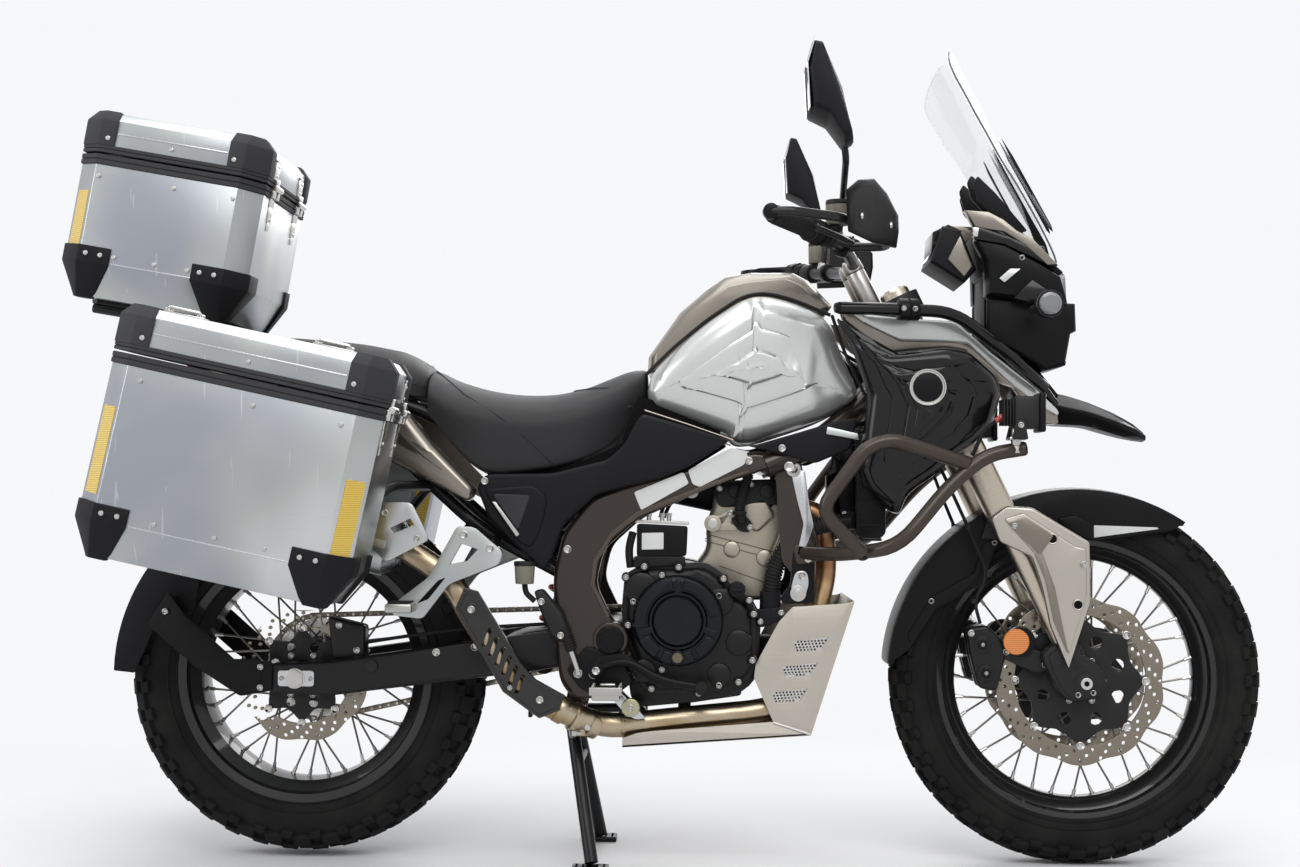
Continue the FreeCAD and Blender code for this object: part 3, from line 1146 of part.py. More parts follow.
def build_nose():
    """Headlight housing with its lens, instrument panel, screen and its supports."""
    housing_outline = [(-205, 1000), (-194, 1127), (-206, 1166), (-172, 1164), (-106, 1127), (-43, 1070),
                       (-22, 999), (-10, 996), (-13, 951), (-30, 897), (-63, 884), (-107, 926),
                       (-165, 938)]
    nose = layered(housing_outline, ((-128, 30), (-70, 0), (70, 0), (128, 30)))
    stem_room = rod(on_stem(S.lower_clamp_station - 60), on_stem(S.upper_clamp_station + 200), 140)
    stay_root = on_stem(S.lower_clamp_station + 90)
    stay = rod(stay_root, NOSE_SEAT + (NOSE_SEAT - stay_root).normalize() * S.seat_gap, 13 + S.seat_gap)
    nose = nose.cut(stem_room).cut(stay)
    lens_outline = [(-40, 1052), (-26, 992), (-12, 988), (-16, 955), (-34, 902), (30, 902), (30, 1052)]
    lens_room = slab(lens_outline, -62, 62, 6)
    lens = nose.common(lens_room)
    strut = slab([(-42.7, 1075), (-79.7, 1160), (-127.7, 1250), (-148.7, 1290), (-160, 1288), (-142, 1245),
                  (-96, 1150), (-70, 1080), (-50, 1040)], -64, -56)
    housing = joined([nose.cut(lens_room), strut, mirrored(strut)])
    subpart("headlight_housing", housing)
    subpart("headlight_lens", lens)
    dash = [(-268, 1078), (-244, 1143), (-210, 1134), (-182, 1060), (-205, 1036)]
    subpart("instruments", slab(dash, -78, 78, 6).cut(nose))
    subpart("windscreen", windscreen(S.screen_thickness).cut(housing).cut(nose))


def windscreen(thickness):
    """A clear sheet that leans back and curves round to the sides."""
    curve = 0.00150
    levels = [(1075, -33, 78), (1160, -70, 128), (1250, -118, 158), (1320, -152, 178), (1397, -190, 186),
              (1440, -213, 140), (1460, -224, 70)]
    wires = []
    for z, x, half in levels:
        front, back = [], []
        for share in (-1, -0.66, -0.33, 0, 0.33, 0.66, 1):
            y = half * share
            front.append(Vector(x - curve * y * y, y, z))
            back.append(Vector(x - thickness - curve * y * y, y, z))
        points = front + back[::-1]
        wires.append(Part.makePolygon(points + points[:1]))
    return loft(wires, True)


def build_bars(frame, accents):
    """Engine guards, the upper bars beside the fairing and the auxiliary lamps on them."""
    radius = S.crash_bar_radius
    lower = [Vector(-492, -146, 556), Vector(-430, -215, 556), Vector(-342, -284, 571),
             Vector(-252, -262, 678), Vector(-190, -252, 728), Vector(-128, -250, 738)]
    upper = [Vector(-400, -262, 560), Vector(-474, -296, 632), Vector(-398, -292, 737),
             Vector(-355, -290, 752), Vector(-225, -262, 712)]
    guard = joined([tube(lower, radius, 45), tube(upper, radius, 30)]).cut(frame)
    rail = [Vector(-438, -219, 978), Vector(-310, -190, 978), Vector(-236, -170, 976),
            Vector(-170, -154, 930), Vector(-92, -132, 866), Vector(-70, -110, 850)]
    clamp = rod(Vector(-335, -195, 978), Vector(-300, -187, 978), 19)
    upper_rail = joined([tube(rail, S.upper_bar_radius, 40), clamp]).cut(accents)
    subpart("crash_bars", both_all(Part.Compound([guard, upper_rail])))
    lamp = block(Vector(-170, -290, 770), Vector(-108, -226, 826))
    bezel = block(Vector(-108, -294, 764), Vector(-98, -222, 832))
    post = rod(Vector(-142, -252, 742), Vector(-142, -252, 772), 9)
    subpart("aux_lamps", both(joined([lamp, bezel, post]).cut(guard)))


def build_controls(subframe):
    """Footrest plates with pegs, brake pedal and gear lever, and the pillion brackets."""
    plate_y = S.spar_y + S.spar_thickness
    plate = slab([(-905, 352), (-872, 392), (-812, 380), (-790, 330), (-830, 300), (-880, 318)],
                 -plate_y, -plate_y - 12, 8)
    peg = block(Vector(-858, -plate_y - 92, 306), Vector(-806, -plate_y - 12, 330))
    teeth = [block(Vector(-860, -plate_y - 88 + 12 * index, 323), Vector(-804, -plate_y - 82 + 12 * index, 331))
             for index in range(6)]
    well = block(Vector(-846, -plate_y - 86, 305), Vector(-818, -plate_y - 22, 331))
    peg = peg.cut(Part.Compound(teeth + [well]))
    pedal = tube([Vector(-852, -plate_y - 18, 352), Vector(-800, -plate_y - 22, 372),
                  Vector(-740, -plate_y - 26, 336), Vector(-672, -plate_y - 30, 326)], 7, 30)
    toe = rod(Vector(-670, -plate_y - 14, 325), Vector(-670, -plate_y - 48, 325), 11)
    side = joined([plate, peg, pedal, toe])
    arm = slab([(-1092, 600), (-1062, 598), (-1012, 556), (-1020, 534), (-1105, 500), (-1150, 440),
                (-1204, 446), (-1195, 470), (-1140, 512)], -200, -214, 8)
    window = slab([(-1082, 574), (-1052, 560), (-1070, 540), (-1104, 534)], -190, -220, 4)
    foot = rod(Vector(-1080, -121, 600), Vector(-1080, -200, 585), 9)
    foot_front = rod(Vector(-1034, -121, 576), Vector(-1034, -200, 562), 9)
    rest = block(Vector(-1206, -272, 452), Vector(-1160, -214, 470))
    bracket = joined([arm.cut(window), foot, foot_front, rest]).cut(subframe)
    subpart("footrests", both_all(Part.Compound([side, bracket])))


SMALL_SPROCKET = 34.0


def front_sprocket():
    """The middle of the drive sprocket, just ahead of the swingarm's pivot."""
    return Vector(S.pivot_x + 70, 0, S.pivot_z + 6)


def build_chain():
    """One closed loop of drive chain round both sprockets."""
    y_low, y_high = S.sprocket_y - 1, S.sprocket_y + S.sprocket_thickness + 1
    big, small = S.sprocket_radius + 1, SMALL_SPROCKET
    front = front_sprocket()
    outer = hull_of_circles(REAR_AXLE, big + 8, front, small + 8, y_low, y_high)
    inner = hull_of_circles(REAR_AXLE, big, front, small, y_low - 1, y_high + 1)
    links = []
    for place, heading in belt_stations(REAR_AXLE, big + 4.5, front, small + 4.5, S.link_pitch):
        link = block(Vector(-9, y_low - 2.5, -4.5), Vector(9, y_high + 2.5, 4.5))
        links.append(link.rotate(CENTRE, Y_AXIS, -heading).translate(place))
    room = hull_of_circles(REAR_AXLE, big - 0.7, front, small - 0.7, y_low, y_high)
    return subpart("drive_chain", outer.cut(inner).multiFuse(links).cut(room))


def belt_corners(first, first_radius, second, second_radius):
    """The run between two discs: its heading and lean in radians, and the distance."""
    run = Vector(second.x - first.x, 0, second.z - first.z)
    return math.atan2(run.z, run.x), math.asin((first_radius - second_radius) / run.Length), run.Length


def belt_stations(first, first_radius, second, second_radius, pitch):
    """Even places along a belt round two discs, each with its heading in degrees."""
    heading, lean, distance = belt_corners(first, first_radius, second, second_radius)
    straight = distance * math.cos(lean)
    pieces = [(first, first_radius, math.pi / 2 - lean, math.pi + 2 * lean), None,
              (second, second_radius, -math.pi / 2 + lean, math.pi - 2 * lean), None]
    total = first_radius * (math.pi + 2 * lean) + second_radius * (math.pi - 2 * lean) + 2 * straight
    count = round(total / pitch)
    stations = []
    for index in range(count):
        rest = total * index / count
        for number, piece in enumerate(pieces):
            span = piece[1] * piece[3] if piece else straight
            if rest <= span:
                stations.append(belt_place(pieces, number, rest, heading, lean))
                break
            rest -= span
    return stations


def belt_place(pieces, number, rest, heading, lean):
    """A place on one piece of a belt: an arc round a disc, or the straight run after it."""
    centre, radius, start, sweep = pieces[number] if pieces[number] else pieces[number - 1]
    turn = heading + start + (sweep if pieces[number] is None else rest / radius)
    rim = Vector(centre.x + math.cos(turn) * radius, 0, centre.z + math.sin(turn) * radius)
    along = Vector(-math.sin(turn), 0, math.cos(turn))
    place = rim + along * (rest if pieces[number] is None else 0)
    return place, math.degrees(turn + math.pi / 2)


def hull_of_circles(first, first_radius, second, second_radius, y_low, y_high):
    """The solid inside a belt round two discs."""
    run = Vector(second.x - first.x, 0, second.z - first.z)
    distance = run.Length
    lean = math.asin((first_radius - second_radius) / distance)
    heading = math.atan2(run.z, run.x)
    corners = []
    for centre, radius, turn in ((first, first_radius, 1), (second, second_radius, 1),
                                 (second, second_radius, -1), (first, first_radius, -1)):
        angle = heading + turn * (math.pi / 2 - lean)
        corners.append(Vector(centre.x + math.cos(angle) * radius, y_low, centre.z + math.sin(angle) * radius))
    span = Y_AXIS * (y_high - y_low)
    belt = Part.Face(Part.makePolygon(corners + corners[:1])).extrude(span)
    ends = [rod(Vector(c.x, y_low, c.z), Vector(c.x, y_high, c.z), r)
            for c, r in ((first, first_radius), (second, second_radius))]
    return joined([belt] + ends)


def build_shock():
    """The rear spring and damper behind the engine, between the swingarm's pin and the frame's tube."""
    run = (SHOCK_HEAD - SHOCK_FOOT).normalize()
    low, high = SHOCK_FOOT + run * 50, SHOCK_HEAD - run * 52
    seats = [rod(low - run * 6, low, 34), rod(high, high + run * 6, 34)]
    damper = joined([rod(SHOCK_FOOT, SHOCK_HEAD, 10), rod(low, low + run * 90, 19)] + seats)
    spring = coil(low - run * 2, high + run * 2, S.spring_radius, S.spring_wire_radius, int(S.spring_turns))
    pins = [cross_rod(SHOCK_FOOT.x, SHOCK_FOOT.z + 14, 60, 8), cross_rod(-880, 610, 60, 16)]
    return subpart("rear_shock", damper.fuse(spring).cut(Part.Compound(pins)))


def coil(start, end, radius, wire, turns):
    """A spring of six-sided wire, wound in short straight runs from one seat to the other."""
    run = end - start
    along = (end - start).normalize()
    across = along.cross(Y_AXIS).normalize()
    other = along.cross(across)
    steps = 14
    sections = []
    for index in range(turns * steps + 1):
        angle = math.tau * index / steps
        outward = across * math.cos(angle) + other * math.sin(angle)
        centre = start + run * (index / (turns * steps)) + outward * radius
        corners = [centre + outward * (math.cos(math.tau * side / 6) * wire)
                   + along * (math.sin(math.tau * side / 6) * wire) for side in range(6)]
        sections.append(Part.makePolygon(corners + corners[:1]))
    return Part.makeLoft(sections, True, True)


# Luggage

class Case:
    """A chamfered aluminium case with a hinged lid, drawn level and then pitched into place."""

    def __init__(self, length, width, body_height, lid_height, pitch, base):
        self.length, self.width = length, width
        self.body_height, self.lid_height = body_height, lid_height
        self.pitch, self.base = pitch, base

    def ring(self, z, inset):
        """The eight-sided outline at one level."""
        half_x, half_y = self.length / 2 - inset, self.width / 2 - inset
        cut = S.case_chamfer - inset * 0.4
        points = [(half_x - cut, half_y), (half_x, half_y - cut), (half_x, -half_y + cut),
                  (half_x - cut, -half_y), (-half_x + cut, -half_y), (-half_x, -half_y + cut),
                  (-half_x, half_y - cut), (-half_x + cut, half_y)]
        corners = [Vector(x, y, z) for x, y in points]
        return Part.makePolygon(corners + corners[:1])

    def solid(self, levels):
        return loft([self.ring(z, inset) for z, inset in levels], True)

    def placed(self, shape):
        moved = shape.copy()
        moved.Placement = Placement(self.base, Rotation(Y_AXIS, self.pitch))
        return Part.Compound([moved]).Solids[0]

    def body(self):
        wall, taper = S.case_wall, S.case_taper
        seam = self.body_height - S.lid_gap / 2
        outer = self.solid([(0, taper), (S.case_skirt, 0), (seam, 0)])
        inner = self.solid([(wall, taper + wall), (S.case_skirt + 1, wall), (seam + 1, wall)])
        trim = self.trim([(0, taper), (S.case_skirt, 0), (S.case_skirt + 34, 0)])
        trim.append(self.band(seam - S.case_band, seam))
        hinges = self.knuckles(((-20, -7), (7, 20)), seam, -18)
        return self.placed(joined([outer.cut(inner)] + trim + hinges))

    def lid(self):
        wall = S.case_wall
        seam = self.body_height + S.lid_gap / 2
        top = self.body_height + self.lid_height
        outer = self.solid([(seam, 0), (top - 14, 0), (top, 16)])
        inner = self.solid([(seam - 1, wall), (top - 14 - wall, wall), (top - wall, 16 + wall)])
        trim = self.trim([(top - 42, 0), (top - 14, 0), (top, 16)])
        trim.append(self.band(seam, seam + S.case_band / 2))
        hinges = self.knuckles(((-6.5, 6.5),), seam, 18)
        return self.placed(joined([outer.cut(inner)] + trim + hinges + self.handles(top)))

    def trim(self, levels):
        """Caps over the four corners, between the first level and the last."""
        thick, reach = S.case_trim, S.case_cap_reach
        outer = self.solid([(z, inset - thick) for z, inset in levels])
        inner = self.solid([(z, inset) for z, inset in levels])
        low, high = levels[0][0] - 1, levels[-1][0] + 1
        half_x, half_y = self.length / 2, self.width / 2
        corners = [block(Vector(min(x * half_x, x * (half_x - reach)) - thick * (x < 0) - 1,
                                min(y * half_y, y * (half_y - reach)) - thick * (y < 0) - 1, low),
                         Vector(max(x * half_x, x * (half_x - reach)) + thick * (x > 0) + 1,
                                max(y * half_y, y * (half_y - reach)) + thick * (y > 0) + 1, high))
                   for x in (-1, 1) for y in (-1, 1)]
        return outer.cut(inner).common(Part.Compound(corners)).Solids

    def band(self, low, high):
        """A ribbed band round the seam, left open at the hinges."""
        thick = S.case_trim - 0.5
        middle = (low + high) / 2
        outer = joined([self.solid([(low, -thick * 0.5), (high, -thick * 0.5)]),
                        self.solid([(low, -thick), (middle - 1, -thick)])])
        gaps = [block(Vector(self.length / 2 - 1, centre - 26, low - 1),
                      Vector(self.length / 2 + thick + 1, centre + 26, high + 1))
                for centre in (-self.width / 4, self.width / 4)]
        return outer.cut(self.solid([(low - 1, 0), (high + 1, 0)])).cut(Part.Compound(gaps))

    def handles(self, top):
        """Two low carrying handles across the lid."""
        reach = self.width * 0.26
        return [tube([Vector(x, -reach, top - 1), Vector(x, -reach + 4, top + 15), Vector(x, reach - 4, top + 15),
                      Vector(x, reach, top - 1)], 4, 9) for x in (-self.length * 0.22, self.length * 0.22)]

    def knuckles(self, spans, seam, reach):
        """Hinge barrels on the front face, with leaves that join them to the wall."""
        solids = []
        axis_x = self.length / 2 + S.hinge_offset
        for centre in (-self.width / 4, self.width / 4):
            for low, high in spans:
                start, end = Vector(axis_x, centre + low, self.body_height), Vector(axis_x, centre + high,
                                                                                    self.body_height)
                barrel = rod(start, end, S.hinge_radius)
                leaf_low = Vector(self.length / 2 - 1, centre + low, min(seam, seam + reach))
                leaf_high = Vector(axis_x, centre + high, max(seam, seam + reach))
                solids += [barrel, block(leaf_low, leaf_high)]
        return solids


def build_luggage():
    """Two side cases and the top box, each with its own lid."""
    top = Case(S.topbox_length, S.topbox_width, S.topbox_body_height, S.topbox_lid_height,
               S.topbox_pitch, Vector(S.topbox_x, 0, S.topbox_z))
    subpart("top_case", top.body())
    subpart("top_case_lid", top.lid())
    for name, side in (("right", -1), ("left", 1)):
        case = Case(S.pannier_length, S.pannier_width, S.pannier_body_height, S.pannier_lid_height,
                    S.pannier_pitch, Vector(S.pannier_x, side * S.pannier_y, S.pannier_z))
        subpart(f"{name}_case", case.body())
        subpart(f"{name}_case_lid", case.lid())


# Stands

def build_centre_stand():
    """A pivot tube below the frame with two splayed legs, a tie bar and flat feet."""
    pivot = Vector(S.centre_pivot_x, 0, S.centre_pivot_z)
    radius = 12.0
    sleeve = cross_rod(pivot.x, pivot.z, 68, 15)
    solids = [sleeve]
    for side in (-1, 1):
        ankle = Vector(S.centre_foot_x, side * (S.centre_foot_y - 6), 14)
        solids.append(rod(Vector(pivot.x, side * 46, pivot.z), ankle, radius))
        solids.append(block(Vector(S.centre_foot_x - 34, side * S.centre_foot_y - 22, 0),
                            Vector(S.centre_foot_x + 30, side * S.centre_foot_y + 22, 10)))
    share = 0.34
    tie = pivot + (Vector(S.centre_foot_x, 0, 14) - pivot) * share
    solids.append(cross_rod(tie.x, tie.z, 46 + (S.centre_foot_y - 52) * share, 9))
    stand = joined(solids).cut(cross_rod(pivot.x, pivot.z, 100, S.stand_pin_radius + S.running_gap))
    return subpart("centre_stand", stand)


def stand_mounts():
    """Lugs and pin for the centre stand, and the ear and pin for the side stand."""
    pivot = Vector(S.centre_pivot_x, 0, S.centre_pivot_z)
    solids = [cross_rod(pivot.x, pivot.z, 79, S.stand_pin_radius)]
    for side in (-1, 1):
        solids.append(slab([(-922, 246), (-888, 246), (-866, 322), (-902, 334)], side * 69, side * 79, 6))
    at, along = side_pivot()
    solids.append(rod(at - along * 24, at - along * 9, 15))
    solids.append(rod(at - along * 24, at + along * 11, S.stand_pin_radius))
    solids.append(rod(Vector(-868, S.spar_y + 8, 318), at - along * 20, 8))
    return solids


def side_pivot():
    """The side stand's pivot point and its axis, tilted so that the foot swings outwards."""
    tilt = math.radians(S.side_stand_tilt)
    return Vector(S.side_pivot_x, S.side_pivot_y, S.side_pivot_z), Vector(0, math.cos(tilt), math.sin(tilt))


def build_side_stand():
    """A leg folded back along the left side."""
    at, along = side_pivot()
    knee = at - X_AXIS * (S.side_stand_length - 12)
    leg = rod(at, knee, 9)
    eye = rod(at - along * 8, at + along * 8, 17)
    foot = block(knee + Vector(-8, -24, -18), knee + Vector(0, 24, 18))
    pin = rod(at - along * 30, at + along * 30, S.stand_pin_radius + S.running_gap)
    return subpart("side_stand", joined([leg, eye, foot]).cut(pin))


def checked(document):
    """Stops with a message when any object failed to compute."""
    for item in document.Objects:
        if {"Invalid", "Error"} & set(item.State):
            raise RuntimeError(f"{item.Name} failed: {item.State}")
    broken = [piece.Label for piece in SUBPARTS
              if piece.Shape.isNull() or not piece.Shape.isValid() or not piece.Shape.Solids]
    if broken:
        raise RuntimeError(f"no valid shape: {broken}")


def build():
    build_front_wheel()
    build_rear_wheel()
    build_fork()
    build_front_mudguard()
    build_brakes()
    axle("front_axle", FRONT_AXLE, S.front_axle_half, S.axle_radius)
    axle("rear_axle", REAR_AXLE, S.rear_axle_half, S.axle_radius)
    build_brake_hoses()
    build_handlebar()
    frame = build_frame()
    build_swingarm()
    subframe = build_rear_structure(frame)
    engine = build_engine()
    build_cooling(engine)
    build_exhaust(engine)
    build_skid_plate(engine)
    tank = build_tank()
    build_seats(tank)
    build_side_panels(frame)
    build_tail(subframe)
    build_rear_mudguard()
    accents = build_fairing(tank)
    build_nose()
    build_bars(frame, accents)
    build_controls(subframe)
    build_chain()
    build_shock()
    build_luggage()
    build_centre_stand()
    build_side_stand()
    DOC.recompute()
    checked(DOC)
    os.makedirs("parts", exist_ok=True)
    for piece in SUBPARTS:
        piece.Shape.exportStep(f"parts/{piece.Label}.step")


build()
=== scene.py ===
"""Adventure motorcycle with wire wheels and hard luggage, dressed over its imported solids.

Every shape is drawn in millimetres from the point on the floor below the front axle: x forward,
y to the rider's left, z up. The near side in the photograph is the rider's right.
"""

from __future__ import annotations

import json
import logging
import math
from dataclasses import dataclass, field
from enum import Enum
from typing import Callable, Iterable, Protocol, Sequence

import bmesh
import bpy
from mathutils import Matrix, Vector
from mathutils.geometry import intersect_line_line_2d

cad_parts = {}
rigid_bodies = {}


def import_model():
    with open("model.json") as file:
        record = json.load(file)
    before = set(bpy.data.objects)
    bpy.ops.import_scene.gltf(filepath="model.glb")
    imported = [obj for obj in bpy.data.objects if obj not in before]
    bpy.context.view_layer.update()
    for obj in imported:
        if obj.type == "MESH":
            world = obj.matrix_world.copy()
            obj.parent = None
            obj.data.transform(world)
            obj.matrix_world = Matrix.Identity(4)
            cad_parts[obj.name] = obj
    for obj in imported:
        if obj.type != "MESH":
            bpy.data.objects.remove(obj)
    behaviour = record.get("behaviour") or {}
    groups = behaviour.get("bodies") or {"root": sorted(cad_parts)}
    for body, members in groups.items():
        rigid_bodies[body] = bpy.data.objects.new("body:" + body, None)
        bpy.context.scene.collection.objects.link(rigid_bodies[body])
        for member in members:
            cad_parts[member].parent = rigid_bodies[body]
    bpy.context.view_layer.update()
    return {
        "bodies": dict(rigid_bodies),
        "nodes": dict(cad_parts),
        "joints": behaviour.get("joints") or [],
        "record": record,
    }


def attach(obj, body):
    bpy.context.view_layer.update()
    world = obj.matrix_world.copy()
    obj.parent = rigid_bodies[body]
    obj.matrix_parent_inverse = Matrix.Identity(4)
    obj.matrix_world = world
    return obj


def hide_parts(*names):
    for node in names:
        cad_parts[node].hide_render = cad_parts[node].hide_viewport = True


LOG = logging.getLogger("motorcycle")
MM = 0.001
MERGE = 1e-6
REAR_AXLE = (-1384.96, 329.0)
TOP_CASE_PITCH = 9.7
LINK_PITCH = 15.875
SHARP_ANGLE = math.radians(32)
FINISH_ANGLE = math.radians(40)
SENSOR_WIDTH = 36.0
FAR_CLIP = 60.0
EVEN = (1.0, 1.0, 1.0)
PAINT_SPECULAR = 0.2
PLASTIC_SPECULAR = 0.12
METAL_SPECULAR = 0.3
RUBBER_SPECULAR = 0.1
HIDE_SPECULAR = 0.25
WHITE = (0.93, 0.935, 0.95)
VIEW_RAYS = ("Is Camera Ray", "Is Glossy Ray", "Is Transmission Ray")
Mesh = bmesh.types.BMesh
Outline = Sequence[tuple[float, float]]
Spot = tuple[float, float, float]
Colour = tuple[float, float, float]


class Body(Enum):
    """The bodies of the machine that pieces ride on."""

    MACHINE = "machine"
    STEERING = "steering"
    FRONT_WHEEL = "front_wheel"
    REAR_WHEEL = "rear_wheel"
    CENTRE_STAND = "centre_stand_leg"
    SIDE_STAND = "side_stand_leg"
    TOP_LID = "top_lid"
    RIGHT_LID = "right_lid"
    LEFT_LID = "left_lid"


class Head(Enum):
    """Kinds of fastener head."""

    HEX = 6
    SOCKET = 16
    RIVET = 12


class Drawing:
    """Turns drawing places into row places."""

    axle_x: float = 0.0

    @classmethod
    def place(cls, x: float, y: float, z: float) -> Vector:
        """Gives the row place, in metres, of a drawing point in millimetres."""
        return Vector((x * MM + cls.axle_x, y * MM, z * MM))


at = Drawing.place


# Shapes: each function returns a bmesh in row metres

def corner_points(before: Vector, corner: Vector, after: Vector, radius: float, steps: int) -> list[Vector]:
    """Rounds one corner of a route.

    Args:
        before: The point before the corner.
        corner: The corner itself.
        after: The point after it.
        radius: How far from the corner the curve starts, in metres.
        steps: How many points the curve has.

    Returns:
        The points of the curve, from the first tangent point to the last.
    """
    back, ahead = before - corner, after - corner
    reach = min(radius, 0.49 * back.length, 0.49 * ahead.length)
    start, end = corner + back.normalized() * reach, corner + ahead.normalized() * reach
    if reach < MERGE:
        return [corner]
    shares = [index / (steps - 1) for index in range(steps)]
    return [start * (1 - t) ** 2 + corner * (2 * t * (1 - t)) + end * t ** 2 for t in shares]


def rounded(points: Sequence[Vector], radius: float, closed: bool, steps: int = 5) -> list[Vector]:
    """Rounds every corner of a route or an outline."""
    result: list[Vector] = []
    for index, corner in enumerate(points):
        if not closed and index in (0, len(points) - 1):
            result.append(corner)
            continue
        before, after = points[index - 1], points[(index + 1) % len(points)]
        result += corner_points(before, corner, after, radius, steps)
    return result


def tube(points: Sequence[Vector], radius: float, bend: float = 30, sides: int = 12,
         closed: bool = False, steps: int = 6) -> Mesh:
    """Sweeps a round section along a route.

    Args:
        points: Row places of the route.
        radius: Section radius in millimetres.
        bend: How far before each corner the bend starts, in millimetres.
        sides: Faces round the section.
        closed: Whether the route is a loop.
        steps: Points in each bend.

    Returns:
        The tube with closed ends.
    """
    curve = bpy.data.curves.new("route", "CURVE")
    curve.dimensions = "3D"
    curve.bevel_depth = radius * MM
    curve.bevel_resolution = sides // 2 - 2
    curve.use_fill_caps = not closed
    route = rounded(points, bend * MM, closed, steps)
    spline = curve.splines.new("POLY")
    spline.points.add(len(route) - 1)
    for node, place in zip(spline.points, route):
        node.co = (*place, 1.0)
    spline.use_cyclic_u = closed
    holder = bpy.data.objects.new("route", curve)
    bpy.context.scene.collection.objects.link(holder)
    graph = bpy.context.evaluated_depsgraph_get()
    mesh = bpy.data.meshes.new_from_object(holder.evaluated_get(graph))
    shape = bmesh.new()
    shape.from_mesh(mesh)
    bpy.data.objects.remove(holder)
    bpy.data.curves.remove(curve)
    bpy.data.meshes.remove(mesh)
    bmesh.ops.remove_doubles(shape, verts=shape.verts, dist=MERGE)
    bmesh.ops.recalc_face_normals(shape, faces=shape.faces)
    return shape


def rod(start: Vector, end: Vector, radius: float, tip: float | None = None, sides: int = 24,
        edge: float = 0.0) -> Mesh:
    """Makes a round bar or a cone between two places, radii and chamfer in millimetres."""
    shape = bmesh.new()
    run = end - start
    turn = run.to_track_quat("Z", "Y").to_matrix().to_4x4()
    bmesh.ops.create_cone(shape, cap_ends=True, segments=sides, radius1=radius * MM,
                          radius2=(radius if tip is None else tip) * MM, depth=run.length,
                          matrix=Matrix.Translation((start + end) / 2) @ turn)
    if edge:
        rims = [e for e in shape.edges if any(len(f.verts) > 4 for f in e.link_faces)]
        soften(shape, rims, edge, 2)
    return shape


def soften(shape: Mesh, edges: Iterable[bmesh.types.BMEdge], width: float, segments: int = 2) -> None:
    """Bevels edges by a width in millimetres."""
    bmesh.ops.bevel(shape, geom=list(edges), offset=width * MM, segments=segments, profile=0.5,
                    affect="EDGES", material=-1, clamp_overlap=True)


def folded_edges(shape: Mesh, degrees: float) -> list[bmesh.types.BMEdge]:
    """Finds the edges folded by more than an angle."""
    return [e for e in shape.edges if e.calc_face_angle(0) > math.radians(degrees)]


def box(low: Vector, high: Vector, edge: float = 2.0, turn: Matrix | None = None) -> Mesh:
    """Makes a bevelled box between two corners, then turns it about its middle."""
    shape = bmesh.new()
    middle, size = (low + high) / 2, high - low
    bmesh.ops.create_cube(shape, size=1.0, matrix=Matrix.Diagonal((*size, 1.0)))
    if edge:
        soften(shape, shape.edges, min(edge, 450 * min(abs(side) for side in size)))
    matrix = Matrix.Translation(middle) @ (turn.to_4x4() if turn else Matrix.Identity(4))
    bmesh.ops.transform(shape, matrix=matrix, verts=shape.verts)
    return shape


def outline_loop(shape: Mesh, points: Sequence[Vector]) -> list[bmesh.types.BMEdge]:
    """Adds a closed loop of edges."""
    verts = [shape.verts.new(point) for point in points]
    return [shape.edges.new(pair) for pair in zip(verts, verts[1:] + verts[:1])]


def plate(outline: Outline, y_near: float, y_far: float, radius: float = 6.0, edge: float = 1.2,
          holes: Sequence[Outline] = (), steps: int = 4,
          mapping: Callable[[float, float, float], Vector] = at) -> Mesh:
    """Cuts a plate from a side outline.

    Args:
        outline: Corners as x, z in millimetres.
        y_near: First face.
        y_far: Second face.
        radius: Corner rounding of the outline.
        edge: Chamfer of the face edges.
        holes: Outlines of holes.
        steps: Points in each rounded corner.
        mapping: Turns x, y, z into a row place.

    Returns:
        The plate.
    """
    shape = bmesh.new()
    edges = outline_loop(shape, rounded([mapping(x, y_near, z) for x, z in outline], radius * MM, True,
                                        steps))
    for hole in holes:
        edges += outline_loop(shape, [mapping(x, y_near, z) for x, z in hole])
    if holes:
        bmesh.ops.triangle_fill(shape, use_beauty=True, use_dissolve=False, edges=edges)
    else:
        bmesh.ops.contextual_create(shape, geom=edges)
    rims = [e for e in shape.edges if e.is_boundary]
    extruded = bmesh.ops.extrude_face_region(shape, geom=shape.faces[:])
    moved = [item for item in extruded["geom"] if isinstance(item, bmesh.types.BMVert)]
    shift = mapping(0, y_far, 0) - mapping(0, y_near, 0)
    bmesh.ops.translate(shape, vec=shift, verts=moved)
    bmesh.ops.recalc_face_normals(shape, faces=shape.faces)
    if edge:
        far = {vert for vert in moved}
        rims = [e for e in shape.edges if e.is_manifold and e.calc_face_angle(0) > math.radians(80)
                and (all(v in far for v in e.verts) or not any(v in far for v in e.verts))]
        soften(shape, rims, edge, 2)
    return shape


